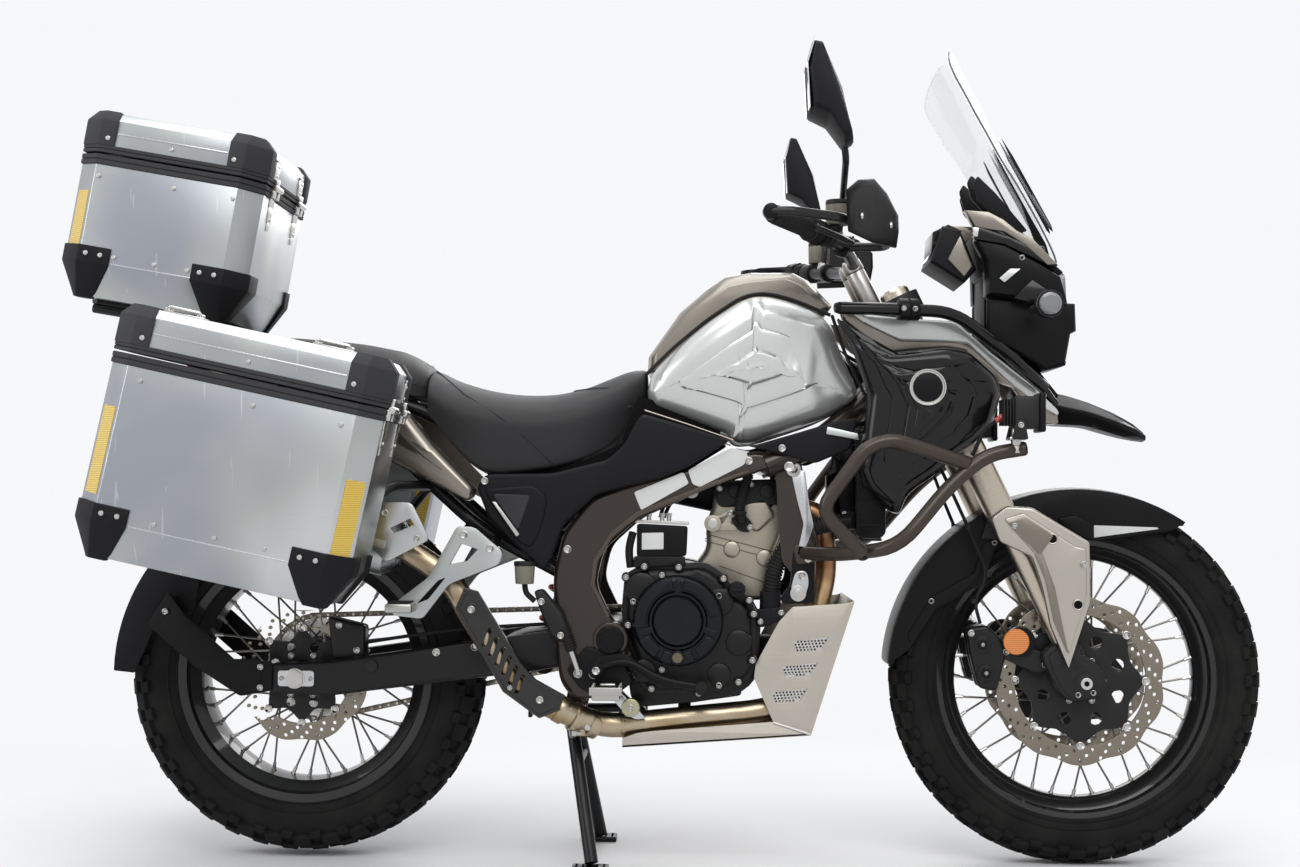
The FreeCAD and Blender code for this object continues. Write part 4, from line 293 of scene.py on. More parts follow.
def ways_in(ring: Sequence[Vector]) -> list[Vector]:
    """Finds how far each point of an outline in x and z can move inward.

    Args:
        ring: The outline's points, in order.

    Returns:
        For each point the longest move that crosses neither its neighbours' moves nor the far side.
    """
    flat = [Vector((point.x, point.z)) for point in ring]
    spin = math.copysign(1, sum(a.x * b.y - b.x * a.y for a, b in zip(flat, flat[1:] + flat[:1])))
    normals, room = [], []
    for index, here in enumerate(flat):
        before, after = flat[index - 1], flat[(index + 1) % len(flat)]
        come, leave = here - before, after - here
        heading = (come.normalized() + leave.normalized()).normalized()
        normal = Vector((-heading.y, heading.x)) * spin
        turn = spin * math.atan2(come.x * leave.y - come.y * leave.x, come.dot(leave))
        reach = 0.8 * min(come.length, leave.length) / turn if turn > 1e-3 else 1.0
        for place, (start, end) in enumerate(zip(flat, flat[1:] + flat[:1])):
            if (place - index) % len(flat) in (0, len(flat) - 1):
                continue
            hit = intersect_line_line_2d(here + normal * 1e-6, here + normal, start, end)
            if hit:
                reach = min(reach, 0.4 * (hit - here).length)
        normals.append(normal)
        room.append(reach)
    count = len(flat)
    return [Vector((n.x, 0, n.y)) * min(room[i - 1], room[i], room[(i + 1) % count])
            for i, n in enumerate(normals)]


def pillow(outline: Outline, y_root: float, y_face: float, roll: float = 8.0, radius: float = 10.0,
           layers: int = 4, steps: int = 4, slope: Callable[[float, float], float] | None = None,
           rings: int = 0, heart: tuple[float, float] | None = None) -> Mesh:
    """Moulds a panel whose face rolls over at its edges.

    Args:
        outline: Corners as x, z in millimetres.
        y_root: Where the panel starts.
        y_face: Its outer face.
        roll: Width of the rolled edge.
        radius: Corner rounding of the outline.
        layers: Rings of faces in the roll.
        steps: Points in each rounded corner.
        slope: Extra y, outward, at x and z, which leans or crowns the panel.
        rings: Rings of faces inside the roll, which follow the slope.
        heart: The x, z that those rings close in on.

    Returns:
        The closed panel.
    """
    root = rounded([at(x, y_root, z) for x, z in outline], radius * MM, True, steps)
    outward = 1 if y_face > y_root else -1
    height = abs(y_face - y_root)
    sheer = max(0.0, height - roll)
    ways = [way * min(1.0, roll * MM / way.length) for way in ways_in(root)]
    loops = [root]
    for layer in range(layers + 1):
        bend = math.pi / 2 * layer / layers
        lift = Vector((0, outward * (sheer + (height - sheer) * math.sin(bend)) * MM, 0))
        if sheer or layer:
            loops.append([point + way * (1 - math.cos(bend)) + lift for point, way in zip(root, ways)])
    for left in range(rings, 0, -1):
        middle = at(heart[0], y_face, heart[1])
        loops.append([middle + (point - middle) * (left / (left + 1)) for point in loops[-1]])
    shape = loft(loops)
    if slope:
        for vert in shape.verts:
            x, z = (vert.co.x - Drawing.axle_x) / MM, vert.co.z / MM
            vert.co.y += outward * slope(x, z) * MM
    bmesh.ops.recalc_face_normals(shape, faces=shape.faces)
    return shape


def loft(rings: Sequence[Sequence[Vector]], closed: bool = True) -> Mesh:
    """Bridges rings of points into a skin, with its ends closed."""
    shape = bmesh.new()
    loops = [outline_loop(shape, ring) for ring in rings]
    for first, second in zip(loops, loops[1:]):
        bmesh.ops.bridge_loops(shape, edges=first + second)
    if closed:
        for loop in (loops[0], loops[-1]):
            bmesh.ops.contextual_create(shape, geom=loop)
    bmesh.ops.recalc_face_normals(shape, faces=shape.faces)
    return shape


def section_ring(x: float, half: Outline) -> list[Vector]:
    """A ring across the machine from the y, z points of its right half, top to bottom."""
    right = [at(x, -y, z) for y, z in half]
    left = [at(x, y, z) for y, z in half[::-1] if y > 0]
    return right + left


def turned(section: Outline, centre: Vector, steps: int = 96, closed: bool = False) -> Mesh:
    """Spins a section of across, radius points about the cross axis through a centre.

    Args:
        section: Points as across, radius in millimetres.
        centre: Row place of the axis.
        steps: Faces round the turn.
        closed: Whether the section is a closed loop.

    Returns:
        The turned shape.
    """
    shape = bmesh.new()
    verts = [shape.verts.new(centre + Vector((0, across * MM, radius * MM))) for across, radius in section]
    pairs = list(zip(verts, verts[1:] + (verts[:1] if closed else [])))
    edges = [shape.edges.new(pair) for pair in pairs]
    bmesh.ops.spin(shape, geom=edges + verts, cent=centre, axis=(0, 1, 0), angle=math.tau, steps=steps,
                   use_merge=True, use_duplicate=False)
    bmesh.ops.remove_doubles(shape, verts=shape.verts, dist=MERGE)
    bmesh.ops.recalc_face_normals(shape, faces=shape.faces)
    return shape


def repeated(shape: Mesh, centre: Vector, count: int, axis: Vector = Vector((0, 1, 0))) -> Mesh:
    """Repeats a shape round an axis."""
    geometry = shape.verts[:] + shape.edges[:] + shape.faces[:]
    for index in range(1, count):
        copy = bmesh.ops.duplicate(shape, geom=geometry)["geom"]
        verts = [item for item in copy if isinstance(item, bmesh.types.BMVert)]
        bmesh.ops.rotate(shape, cent=centre, matrix=Matrix.Rotation(math.tau * index / count, 3, axis),
                         verts=verts)
    return shape


def joined(shapes: Iterable[Mesh]) -> Mesh:
    """Gathers shapes into one bmesh and frees them."""
    whole = bmesh.new()
    for shape in shapes:
        mesh = bpy.data.meshes.new("part")
        shape.to_mesh(mesh)
        shape.free()
        whole.from_mesh(mesh)
        bpy.data.meshes.remove(mesh)
    return whole


def other_side(shape: Mesh) -> Mesh:
    """A mirrored copy on the other side of the machine."""
    copy = shape.copy()
    bmesh.ops.scale(copy, vec=Vector((1, -1, 1)), verts=copy.verts)
    bmesh.ops.reverse_faces(copy, faces=copy.faces)
    return copy


def both(shape: Mesh) -> Mesh:
    """A shape with its mirror image."""
    return joined([other_side(shape), shape])


def circle_outline(x: float, z: float, radius: float, sides: int = 16) -> list[tuple[float, float]]:
    """Points round a circle seen from the side."""
    angles = [math.tau * index / sides for index in range(sides)]
    return [(x + math.cos(a) * radius, z + math.sin(a) * radius) for a in angles]


def arc(centre: tuple[float, float], radius: float, first: float, last: float,
        count: int) -> list[tuple[float, float]]:
    """Points along an arc, angles in degrees from straight ahead."""
    angles = [math.radians(first + (last - first) * index / (count - 1)) for index in range(count)]
    return [(centre[0] + math.cos(a) * radius, centre[1] + math.sin(a) * radius) for a in angles]


def bolt(place: Vector, axis: Vector, radius: float = 5.0, head: Head = Head.SOCKET,
         height: float = 4.0) -> Mesh:
    """Makes a fastener head standing on a place.

    Args:
        place: Where the head sits.
        axis: Its outward direction.
        radius: Head radius in millimetres.
        head: Kind of head.
        height: Head height in millimetres.

    Returns:
        The head, hollowed where its kind is.
    """
    out = axis.normalized()
    top = place + out * (height * MM)
    shape = rod(place - out * 0.002, top, radius, radius * (0.8 if head is Head.RIVET else 1.0),
                sides=head.value, edge=radius * 0.12)
    if head is Head.SOCKET:
        cap = max(shape.faces, key=lambda face: face.calc_center_median().dot(out) + face.calc_area())
        bmesh.ops.inset_region(shape, faces=[cap], thickness=radius * 0.45 * MM)
        bmesh.ops.translate(shape, vec=-out * (height * 0.6 * MM), verts=cap.verts[:])
    return shape


def bolts(places: Iterable[Spot], axis: Spot,
          radius: float = 5.0, head: Head = Head.SOCKET, height: float = 4.0) -> Mesh:
    """A set of equal fasteners."""
    return joined(bolt(at(*place), Vector(axis), radius, head, height) for place in places)


class Piece:
    """One object of the machine while it is made: shapes with a finish each."""

    def __init__(self, name: str) -> None:
        """Starts an empty piece."""
        self.name = name
        self.shape = bmesh.new()
        self.finishes: list[Finish] = []

    def add(self, shape: Mesh, finish: "Finish") -> "Piece":
        """Adds a shape with its finish.

        Args:
            shape: The bmesh to take in; it is freed.
            finish: What covers it.

        Returns:
            The piece, so that calls can be chained.
        """
        if finish not in self.finishes:
            self.finishes.append(finish)
        index = self.finishes.index(finish)
        for face in shape.faces:
            face.material_index = index
        mesh = bpy.data.meshes.new(self.name)
        shape.to_mesh(mesh)
        shape.free()
        self.shape.from_mesh(mesh)
        bpy.data.meshes.remove(mesh)
        return self

    def place(self, body: Body, slot: str, replaces: Sequence[str] = (), subdivide: int = 0,
              sharp: float = SHARP_ANGLE, edge: float = 0.0, thick: float = 0.0) -> bpy.types.Object:
        """Turns the piece into an object that rides on a body.

        Args:
            body: The body that carries it.
            slot: The record's material slot; not used.
            replaces: CAD nodes that it stands for.
            subdivide: Levels of subdivision.
            sharp: Edges folded more than this stay sharp.
            edge: Width of a finishing bevel in millimetres.
            thick: Wall thickness in millimetres, for an open skin.

        Returns:
            The object.
        """
        for line in self.shape.edges:
            line.smooth = line.is_manifold and line.calc_face_angle(0) < sharp
        for face in self.shape.faces:
            face.smooth = True
        mesh = bpy.data.meshes.new(self.name)
        self.shape.to_mesh(mesh)
        self.shape.free()
        thing = bpy.data.objects.new(self.name, mesh)
        bpy.context.scene.collection.objects.link(thing)
        for finish in self.finishes:
            mesh.materials.append(finish.material())
        if thick:
            wall = thing.modifiers.new("wall", "SOLIDIFY")
            wall.thickness, wall.offset = thick * MM, -1
        if edge:
            bevel = thing.modifiers.new("edge", "BEVEL")
            bevel.width, bevel.segments, bevel.limit_method = edge * MM, 2, "ANGLE"
            bevel.angle_limit = FINISH_ANGLE
        if subdivide:
            smooth = thing.modifiers.new("smooth", "SUBSURF")
            smooth.levels = smooth.render_levels = subdivide
        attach(thing, body.value)
        if replaces:
            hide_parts(*replaces)
        LOG.info("%s: %d faces, %d finishes", self.name, len(mesh.polygons), len(self.finishes))
        return thing


# Finishes

class Term:
    """A number on a surface: wraps a socket, and arithmetic on it adds Math nodes."""

    def __init__(self, graph: "Graph", socket: bpy.types.NodeSocket) -> None:
        """Wraps one output socket."""
        self.graph, self.socket = graph, socket

    def _math(self, operation: str, first: object, second: object) -> "Term":
        """Adds one Math node."""
        node = self.graph.node("ShaderNodeMath", {"operation": operation}, {0: first, 1: second})
        return Term(self.graph, node.outputs[0])

    def __add__(self, other: object) -> "Term":
        """Sum."""
        return self._math("ADD", self, other)

    __radd__ = __add__

    def __sub__(self, other: object) -> "Term":
        """Difference."""
        return self._math("SUBTRACT", self, other)

    def __rsub__(self, other: object) -> "Term":
        """Difference the other way."""
        return self._math("SUBTRACT", other, self)

    def __mul__(self, other: object) -> "Term":
        """Product."""
        return self._math("MULTIPLY", self, other)

    __rmul__ = __mul__

    def power(self, exponent: float) -> "Term":
        """Raises to a power."""
        return self._math("POWER", self, exponent)

    def above(self, level: float) -> "Term":
        """One where the value is above a level."""
        return self._math("GREATER_THAN", self, level)

    def limited(self) -> "Term":
        """Keeps the value between 0 and 1."""
        return self._math("MINIMUM", self._math("MAXIMUM", self, 0.0), 1.0)


class Graph:
    """The node tree of one material."""

    def __init__(self, name: str) -> None:
        """Starts a material with an empty surface."""
        self.material = bpy.data.materials.new(name)
        self.material.use_nodes = True
        self.tree = self.material.node_tree
        self.tree.nodes.clear()
        self.surface = self.node("ShaderNodeBsdfPrincipled")
        self.output = self.node("ShaderNodeOutputMaterial")
        self.tree.links.new(self.surface.outputs[0], self.output.inputs["Surface"])

    def node(self, kind: str, settings: dict[str, object] | None = None,
             inputs: dict[int | str, object] | None = None) -> bpy.types.Node:
        """Adds a node.

        Args:
            kind: The node's type.
            settings: Properties to set first; "stops" fills a ramp.
            inputs: Values, sockets or terms by input name or number.

        Returns:
            The node.
        """
        node = self.tree.nodes.new(kind)
        for key, value in (settings or {}).items():
            if key == "stops":
                ramp = node.color_ramp
                while len(ramp.elements) < len(value):
                    ramp.elements.new(0.5)
                for element, (place, colour) in zip(ramp.elements, value):
                    element.position, element.color = place, (*colour, 1.0)
            else:
                setattr(node, key, value)
        for key, value in (inputs or {}).items():
            self.feed(node.inputs[key], value)
        return node

    def feed(self, target: bpy.types.NodeSocket, value: object) -> None:
        """Links or sets one input."""
        if isinstance(value, Term):
            value = value.socket
        if isinstance(value, bpy.types.NodeSocket):
            self.tree.links.new(value, target)
        elif isinstance(value, tuple) and target.type == "RGBA" and len(value) == 3:
            target.default_value = (*value, 1.0)
        else:
            target.default_value = value

    def glow(self, share: object, colour: Colour) -> None:
        """Blends the surface with its own light."""
        light = self.node("ShaderNodeEmission", None, {"Color": colour, "Strength": 1.0})
        blend = self.node("ShaderNodeMixShader", None, {0: share, 1: self.surface.outputs[0],
                                                        2: light.outputs[0]})
        self.tree.links.new(blend.outputs[0], self.output.inputs["Surface"])

    def seen(self) -> Term:
        """One where the camera looks, straight, by reflection or through glass."""
        path = self.node("ShaderNodeLightPath")
        rays = [Term(self, path.outputs[name]) for name in VIEW_RAYS]
        return sum(rays[1:], rays[0]).limited()

    def set(self, **values: object) -> None:
        """Sets inputs of the surface by name, with spaces as underscores."""
        for key, value in values.items():
            self.feed(self.surface.inputs[key.replace("_", " ")], value)

    def place(self, stretch: Spot = EVEN,
              centre: Vector | None = None) -> bpy.types.NodeSocket:
        """Object coordinates, moved to a centre and stretched."""
        source = self.node("ShaderNodeTexCoord").outputs["Object"]
        if centre is not None:
            source = self.node("ShaderNodeVectorMath", {"operation": "SUBTRACT"},
                               {0: source, 1: tuple(centre)}).outputs[0]
        return self.node("ShaderNodeVectorMath", {"operation": "MULTIPLY"},
                         {0: source, 1: stretch}).outputs[0]

    def noise(self, scale: float, detail: float = 3.0, stretch: Spot = EVEN,
              rough: float = 0.5) -> Term:
        """Soft noise over the surface."""
        node = self.node("ShaderNodeTexNoise", None, {"Vector": self.place(stretch), "Scale": scale,
                                                      "Detail": detail, "Roughness": rough})
        return Term(self, node.outputs[0])

    def cells(self, scale: float, feature: str = "F1") -> Term:
        """Distance to the nearest of many scattered points."""
        node = self.node("ShaderNodeTexVoronoi", {"feature": feature},
                         {"Vector": self.place(), "Scale": scale})
        return Term(self, node.outputs[0])

    def polar(self, centre: Vector) -> tuple[Term, Term]:
        """Radius in metres and turn in radians about a cross axis."""
        split = self.node("ShaderNodeSeparateXYZ", None, {0: self.place(centre=centre)})
        x, z = Term(self, split.outputs[0]), Term(self, split.outputs[2])
        radius = (x * x + z * z).power(0.5)
        turn = self.node("ShaderNodeMath", {"operation": "ARCTAN2"}, {0: z, 1: x})
        return radius, Term(self, turn.outputs[0])

    def mix(self, share: object, first: object, second: object) -> bpy.types.NodeSocket:
        """Blends two colours."""
        node = self.node("ShaderNodeMix", {"data_type": "RGBA"})
        self.feed(node.inputs["Factor"], share)
        self.feed(node.inputs[6], first)
        self.feed(node.inputs[7], second)
        return node.outputs[2]

    def ramp(self, share: object, stops: Sequence[tuple[float, Spot]]) -> bpy.types.NodeSocket:
        """Runs a value through a row of colours."""
        return self.node("ShaderNodeValToRGB", {"stops": stops}, {0: share}).outputs[0]

    def bump(self, height: object, strength: float, distance: float = 0.0005) -> None:
        """Feeds a height to the surface's normal."""
        node = self.node("ShaderNodeBump", None,
                         {"Height": height, "Strength": strength, "Distance": distance})
        self.feed(self.surface.inputs["Normal"], node.outputs[0])


@dataclass(frozen=True)
class Finish:
    """What covers a surface; each kind builds its own nodes once."""

    name: str

    def material(self) -> bpy.types.Material:
        """Gives the material, made on its first use."""
        found = bpy.data.materials.get(self.name)
        if found:
            return found
        graph = Graph(self.name)
        self.fill(graph)
        return graph.material

    def fill(self, graph: Graph) -> None:
        """Builds the nodes; each finish has its own."""
        raise NotImplementedError


@dataclass(frozen=True)
class Paint(Finish):
    """Sprayed and lacquered paint, with flake and a little orange peel."""

    colour: Colour = (0.5, 0.5, 0.5)
    metallic: float = 0.0
    roughness: float = 0.3
    coat: float = 0.6
    flake: float = 0.0

    def fill(self, graph: Graph) -> None:
        """Mixes flake into the colour and dust into the gloss."""
        specks = graph.cells(5200.0)
        dust = graph.noise(9.0, 4.0)
        darker = tuple(c * (1 - 0.35 * self.flake) for c in self.colour)
        graph.set(Base_Color=graph.mix(specks, darker, self.colour), Metallic=self.metallic,
                  Roughness=self.roughness + dust * 0.07, Coat_Weight=self.coat, Coat_Roughness=0.06,
                  Specular_IOR_Level=PAINT_SPECULAR)
        graph.bump(graph.noise(420.0, 2.0), 0.04)


@dataclass(frozen=True)
class Plastic(Finish):
    """Moulded plastic with a fine grain and faint scuffs."""

    colour: Colour = (0.007, 0.007, 0.008)
    roughness: float = 0.46
    grain: float = 0.25

    def fill(self, graph: Graph) -> None:
        """Grain as bump, scuffs as paler and rougher patches."""
        scuffs = graph.noise(26.0, 5.0, rough=0.65).above(0.62)
        worn = graph.noise(7.0, 3.0)
        paler = tuple(min(1.0, c * 1.5 + 0.003) for c in self.colour)
        graph.set(Base_Color=graph.mix(worn * 0.6, self.colour, paler),
                  Roughness=self.roughness + scuffs * 0.05 + worn * 0.06, Specular_IOR_Level=PLASTIC_SPECULAR)
        graph.bump(graph.cells(1900.0), self.grain, 0.0002)


@dataclass(frozen=True)
class Metal(Finish):
    """Bare or plated metal, brushed along one direction or cast."""

    colour: Colour = (0.7, 0.71, 0.72)
    roughness: float = 0.3
    stretch: Spot = EVEN
    grain: float = 0.1
    scale: float = 300.0
    metallic: float = 1.0

    def fill(self, graph: Graph) -> None:
        """Fine lines or grain in colour, roughness and bump, and broad patches of handling."""
        lines = graph.noise(self.scale, 4.0, self.stretch)
        patches = graph.noise(11.0, 3.0)
        darker = tuple(c * 0.8 for c in self.colour)
        graph.set(Base_Color=graph.mix(lines * 0.6 + patches * 0.25, darker, self.colour),
                  Metallic=self.metallic, Roughness=self.roughness + (lines - 0.5) * 0.2 + patches * 0.06,
                  Specular_IOR_Level=METAL_SPECULAR)
        graph.bump(lines, self.grain, 0.0002)


@dataclass(frozen=True)
class CaseSheet(Finish):
    """Anodised aluminium sheet with fine rolling lines and a few scratches, under clouds of darker, paler and
    faintly tinted tone that are painted reflection of the studio.
    """

    deep: Colour = (0.33, 0.345, 0.38)
    pale: Colour = (0.60, 0.605, 0.61)
    tint: Colour = (0.44, 0.46, 0.44)

    def fill(self, graph: Graph) -> None:
        """Clouds of painted reflection choose the tone, lines run along the sheet and thin scratches cross
        it.
        """
        # Painted reflection: the cloud ramp darkens, tints and lightens the sheet in patches, as the
        # surroundings reflected in it would.
        reflection_clouds = graph.noise(3.4, 2.0)
        lines = graph.noise(900.0, 4.0, (0.02, 1.0, 1.0))
        scratch = graph.noise(24.0, 1.0, (6.0, 1.0, 0.4)).above(0.74)
        reflection_tone = graph.ramp(reflection_clouds, ((0.34, self.deep), (0.5, self.tint), (0.66, self.pale)))
        worn = graph.mix(scratch * 0.5, reflection_tone, self.pale)
        shaded = tuple(c * 0.9 for c in self.deep)
        graph.set(Base_Color=graph.mix((lines * 0.25).limited(), worn, shaded), Metallic=1.0,
                  Roughness=0.3 + (lines - 0.5) * 0.14 + reflection_clouds * 0.06)
        graph.bump(lines, 0.06, 0.0002)


@dataclass(frozen=True)
class Turned(Finish):
    """Metal ground round an axle, with faint rings."""

    colour: Colour = (0.45, 0.4, 0.34)
    centre: Spot = (0.0, 0.0, 0.0)
    roughness: float = 0.26

    def fill(self, graph: Graph) -> None:
        """Rings by distance from the axle."""
        radius, _ = graph.polar(Vector(self.centre))
        rings = graph.node("ShaderNodeTexNoise", {"noise_dimensions": "1D"}, {"W": radius, "Scale": 1800.0})
        ring = Term(graph, rings.outputs[0])
        patches = graph.noise(18.0, 3.0)
        darker = tuple(c * 0.7 for c in self.colour)
        graph.set(Base_Color=graph.mix(ring * 0.7 + patches * 0.2, darker, self.colour), Metallic=1.0,
                  Roughness=self.roughness + ring * 0.12)
        graph.bump(ring, 0.08, 0.0002)


@dataclass(frozen=True)
class Tinted(Finish):
    """Steel pipe coloured by heat: straw near the joints, bronze along the run."""

    cool: Colour = (0.44, 0.37, 0.27)
    warm: Colour = (0.25, 0.155, 0.075)
    roughness: float = 0.24
    straw: Colour = (0.36, 0.26, 0.14)

    def fill(self, graph: Graph) -> None:
        """Broad bands of heat colour, with fine scratches."""
        bands = graph.noise(7.0, 2.0, (1.0, 1.0, 2.0))
        lines = graph.noise(220.0, 3.0, (0.3, 1.0, 1.0))
        tint = graph.ramp(bands, ((0.3, self.warm), (0.5, self.cool), (0.62, self.straw),
                                  (0.8, self.warm)))
        graph.set(Base_Color=tint, Metallic=1.0, Roughness=self.roughness + lines * 0.14)
        graph.bump(lines, 0.05, 0.0002)


@dataclass(frozen=True)
class Rubber(Finish):
    """Tyre and hose rubber, dusty in its hollows."""

    colour: Colour = (0.008, 0.008, 0.008)
    dust: Colour = (0.036, 0.034, 0.031)
    roughness: float = 0.72

    def fill(self, graph: Graph) -> None:
        """Dust by noise, with a fine rough skin."""
        film = (graph.noise(14.0, 5.0) - 0.35).limited()
        graph.set(Base_Color=graph.mix(film, self.colour, self.dust),
                  Roughness=self.roughness + film * 0.2, Specular_IOR_Level=RUBBER_SPECULAR)
        graph.bump(graph.noise(900.0, 3.0), 0.2, 0.0003)


@dataclass(frozen=True)
class Hide(Finish):
    """Grained black seat leather."""

    colour: Colour = (0.018, 0.018, 0.019)
    grain: float = 0.45

    def fill(self, graph: Graph) -> None:
        """Creased cells with worn highlights."""
        cells = graph.cells(420.0, "DISTANCE_TO_EDGE")
        fine = graph.cells(1100.0)
        worn = graph.noise(6.0, 4.0)
        paler = tuple(c * 2.2 for c in self.colour)
        creases = (cells * 9.0).limited()
        graph.set(Base_Color=graph.mix(worn * 0.5, self.colour, paler),
                  Roughness=0.5 + creases * -0.08 + worn * 0.12, Specular_IOR_Level=HIDE_SPECULAR)
        graph.bump(creases * 0.7 + fine * 0.3, self.grain, 0.0004)


@dataclass(frozen=True)
class Clear(Finish):
    """Clear screen, lens or mirror glass."""

    colour: Colour = (0.9, 0.92, 0.93)
    alpha: float = 0.25
    roughness: float = 0.03

    def fill(self, graph: Graph) -> None:
        """Thin see-through skin with faint wipe marks."""
        wipes = graph.noise(30.0, 4.0, (1.0, 4.0, 1.0))
        graph.set(Base_Color=self.colour, Roughness=self.roughness + wipes * 0.04,
                  Alpha=self.alpha + wipes * 0.05, Coat_Weight=1.0, Coat_Roughness=0.02)


@dataclass(frozen=True)
class Lens(Finish):
    """Coloured lens with moulded flutes."""

    colour: Colour = (0.7, 0.25, 0.02)

    def fill(self, graph: Graph) -> None:
        """Flutes as bump under a clear coat."""
        flutes = graph.node("ShaderNodeTexWave", {"wave_type": "BANDS", "bands_direction": "Z"},
                            {"Vector": graph.place(), "Scale": 90.0})
        shade = Term(graph, flutes.outputs[1])
        darker = tuple(c * 0.6 for c in self.colour)
        graph.set(Base_Color=graph.mix(shade, darker, self.colour), Roughness=0.16, Coat_Weight=1.0)
        graph.bump(shade, 0.3, 0.0005)


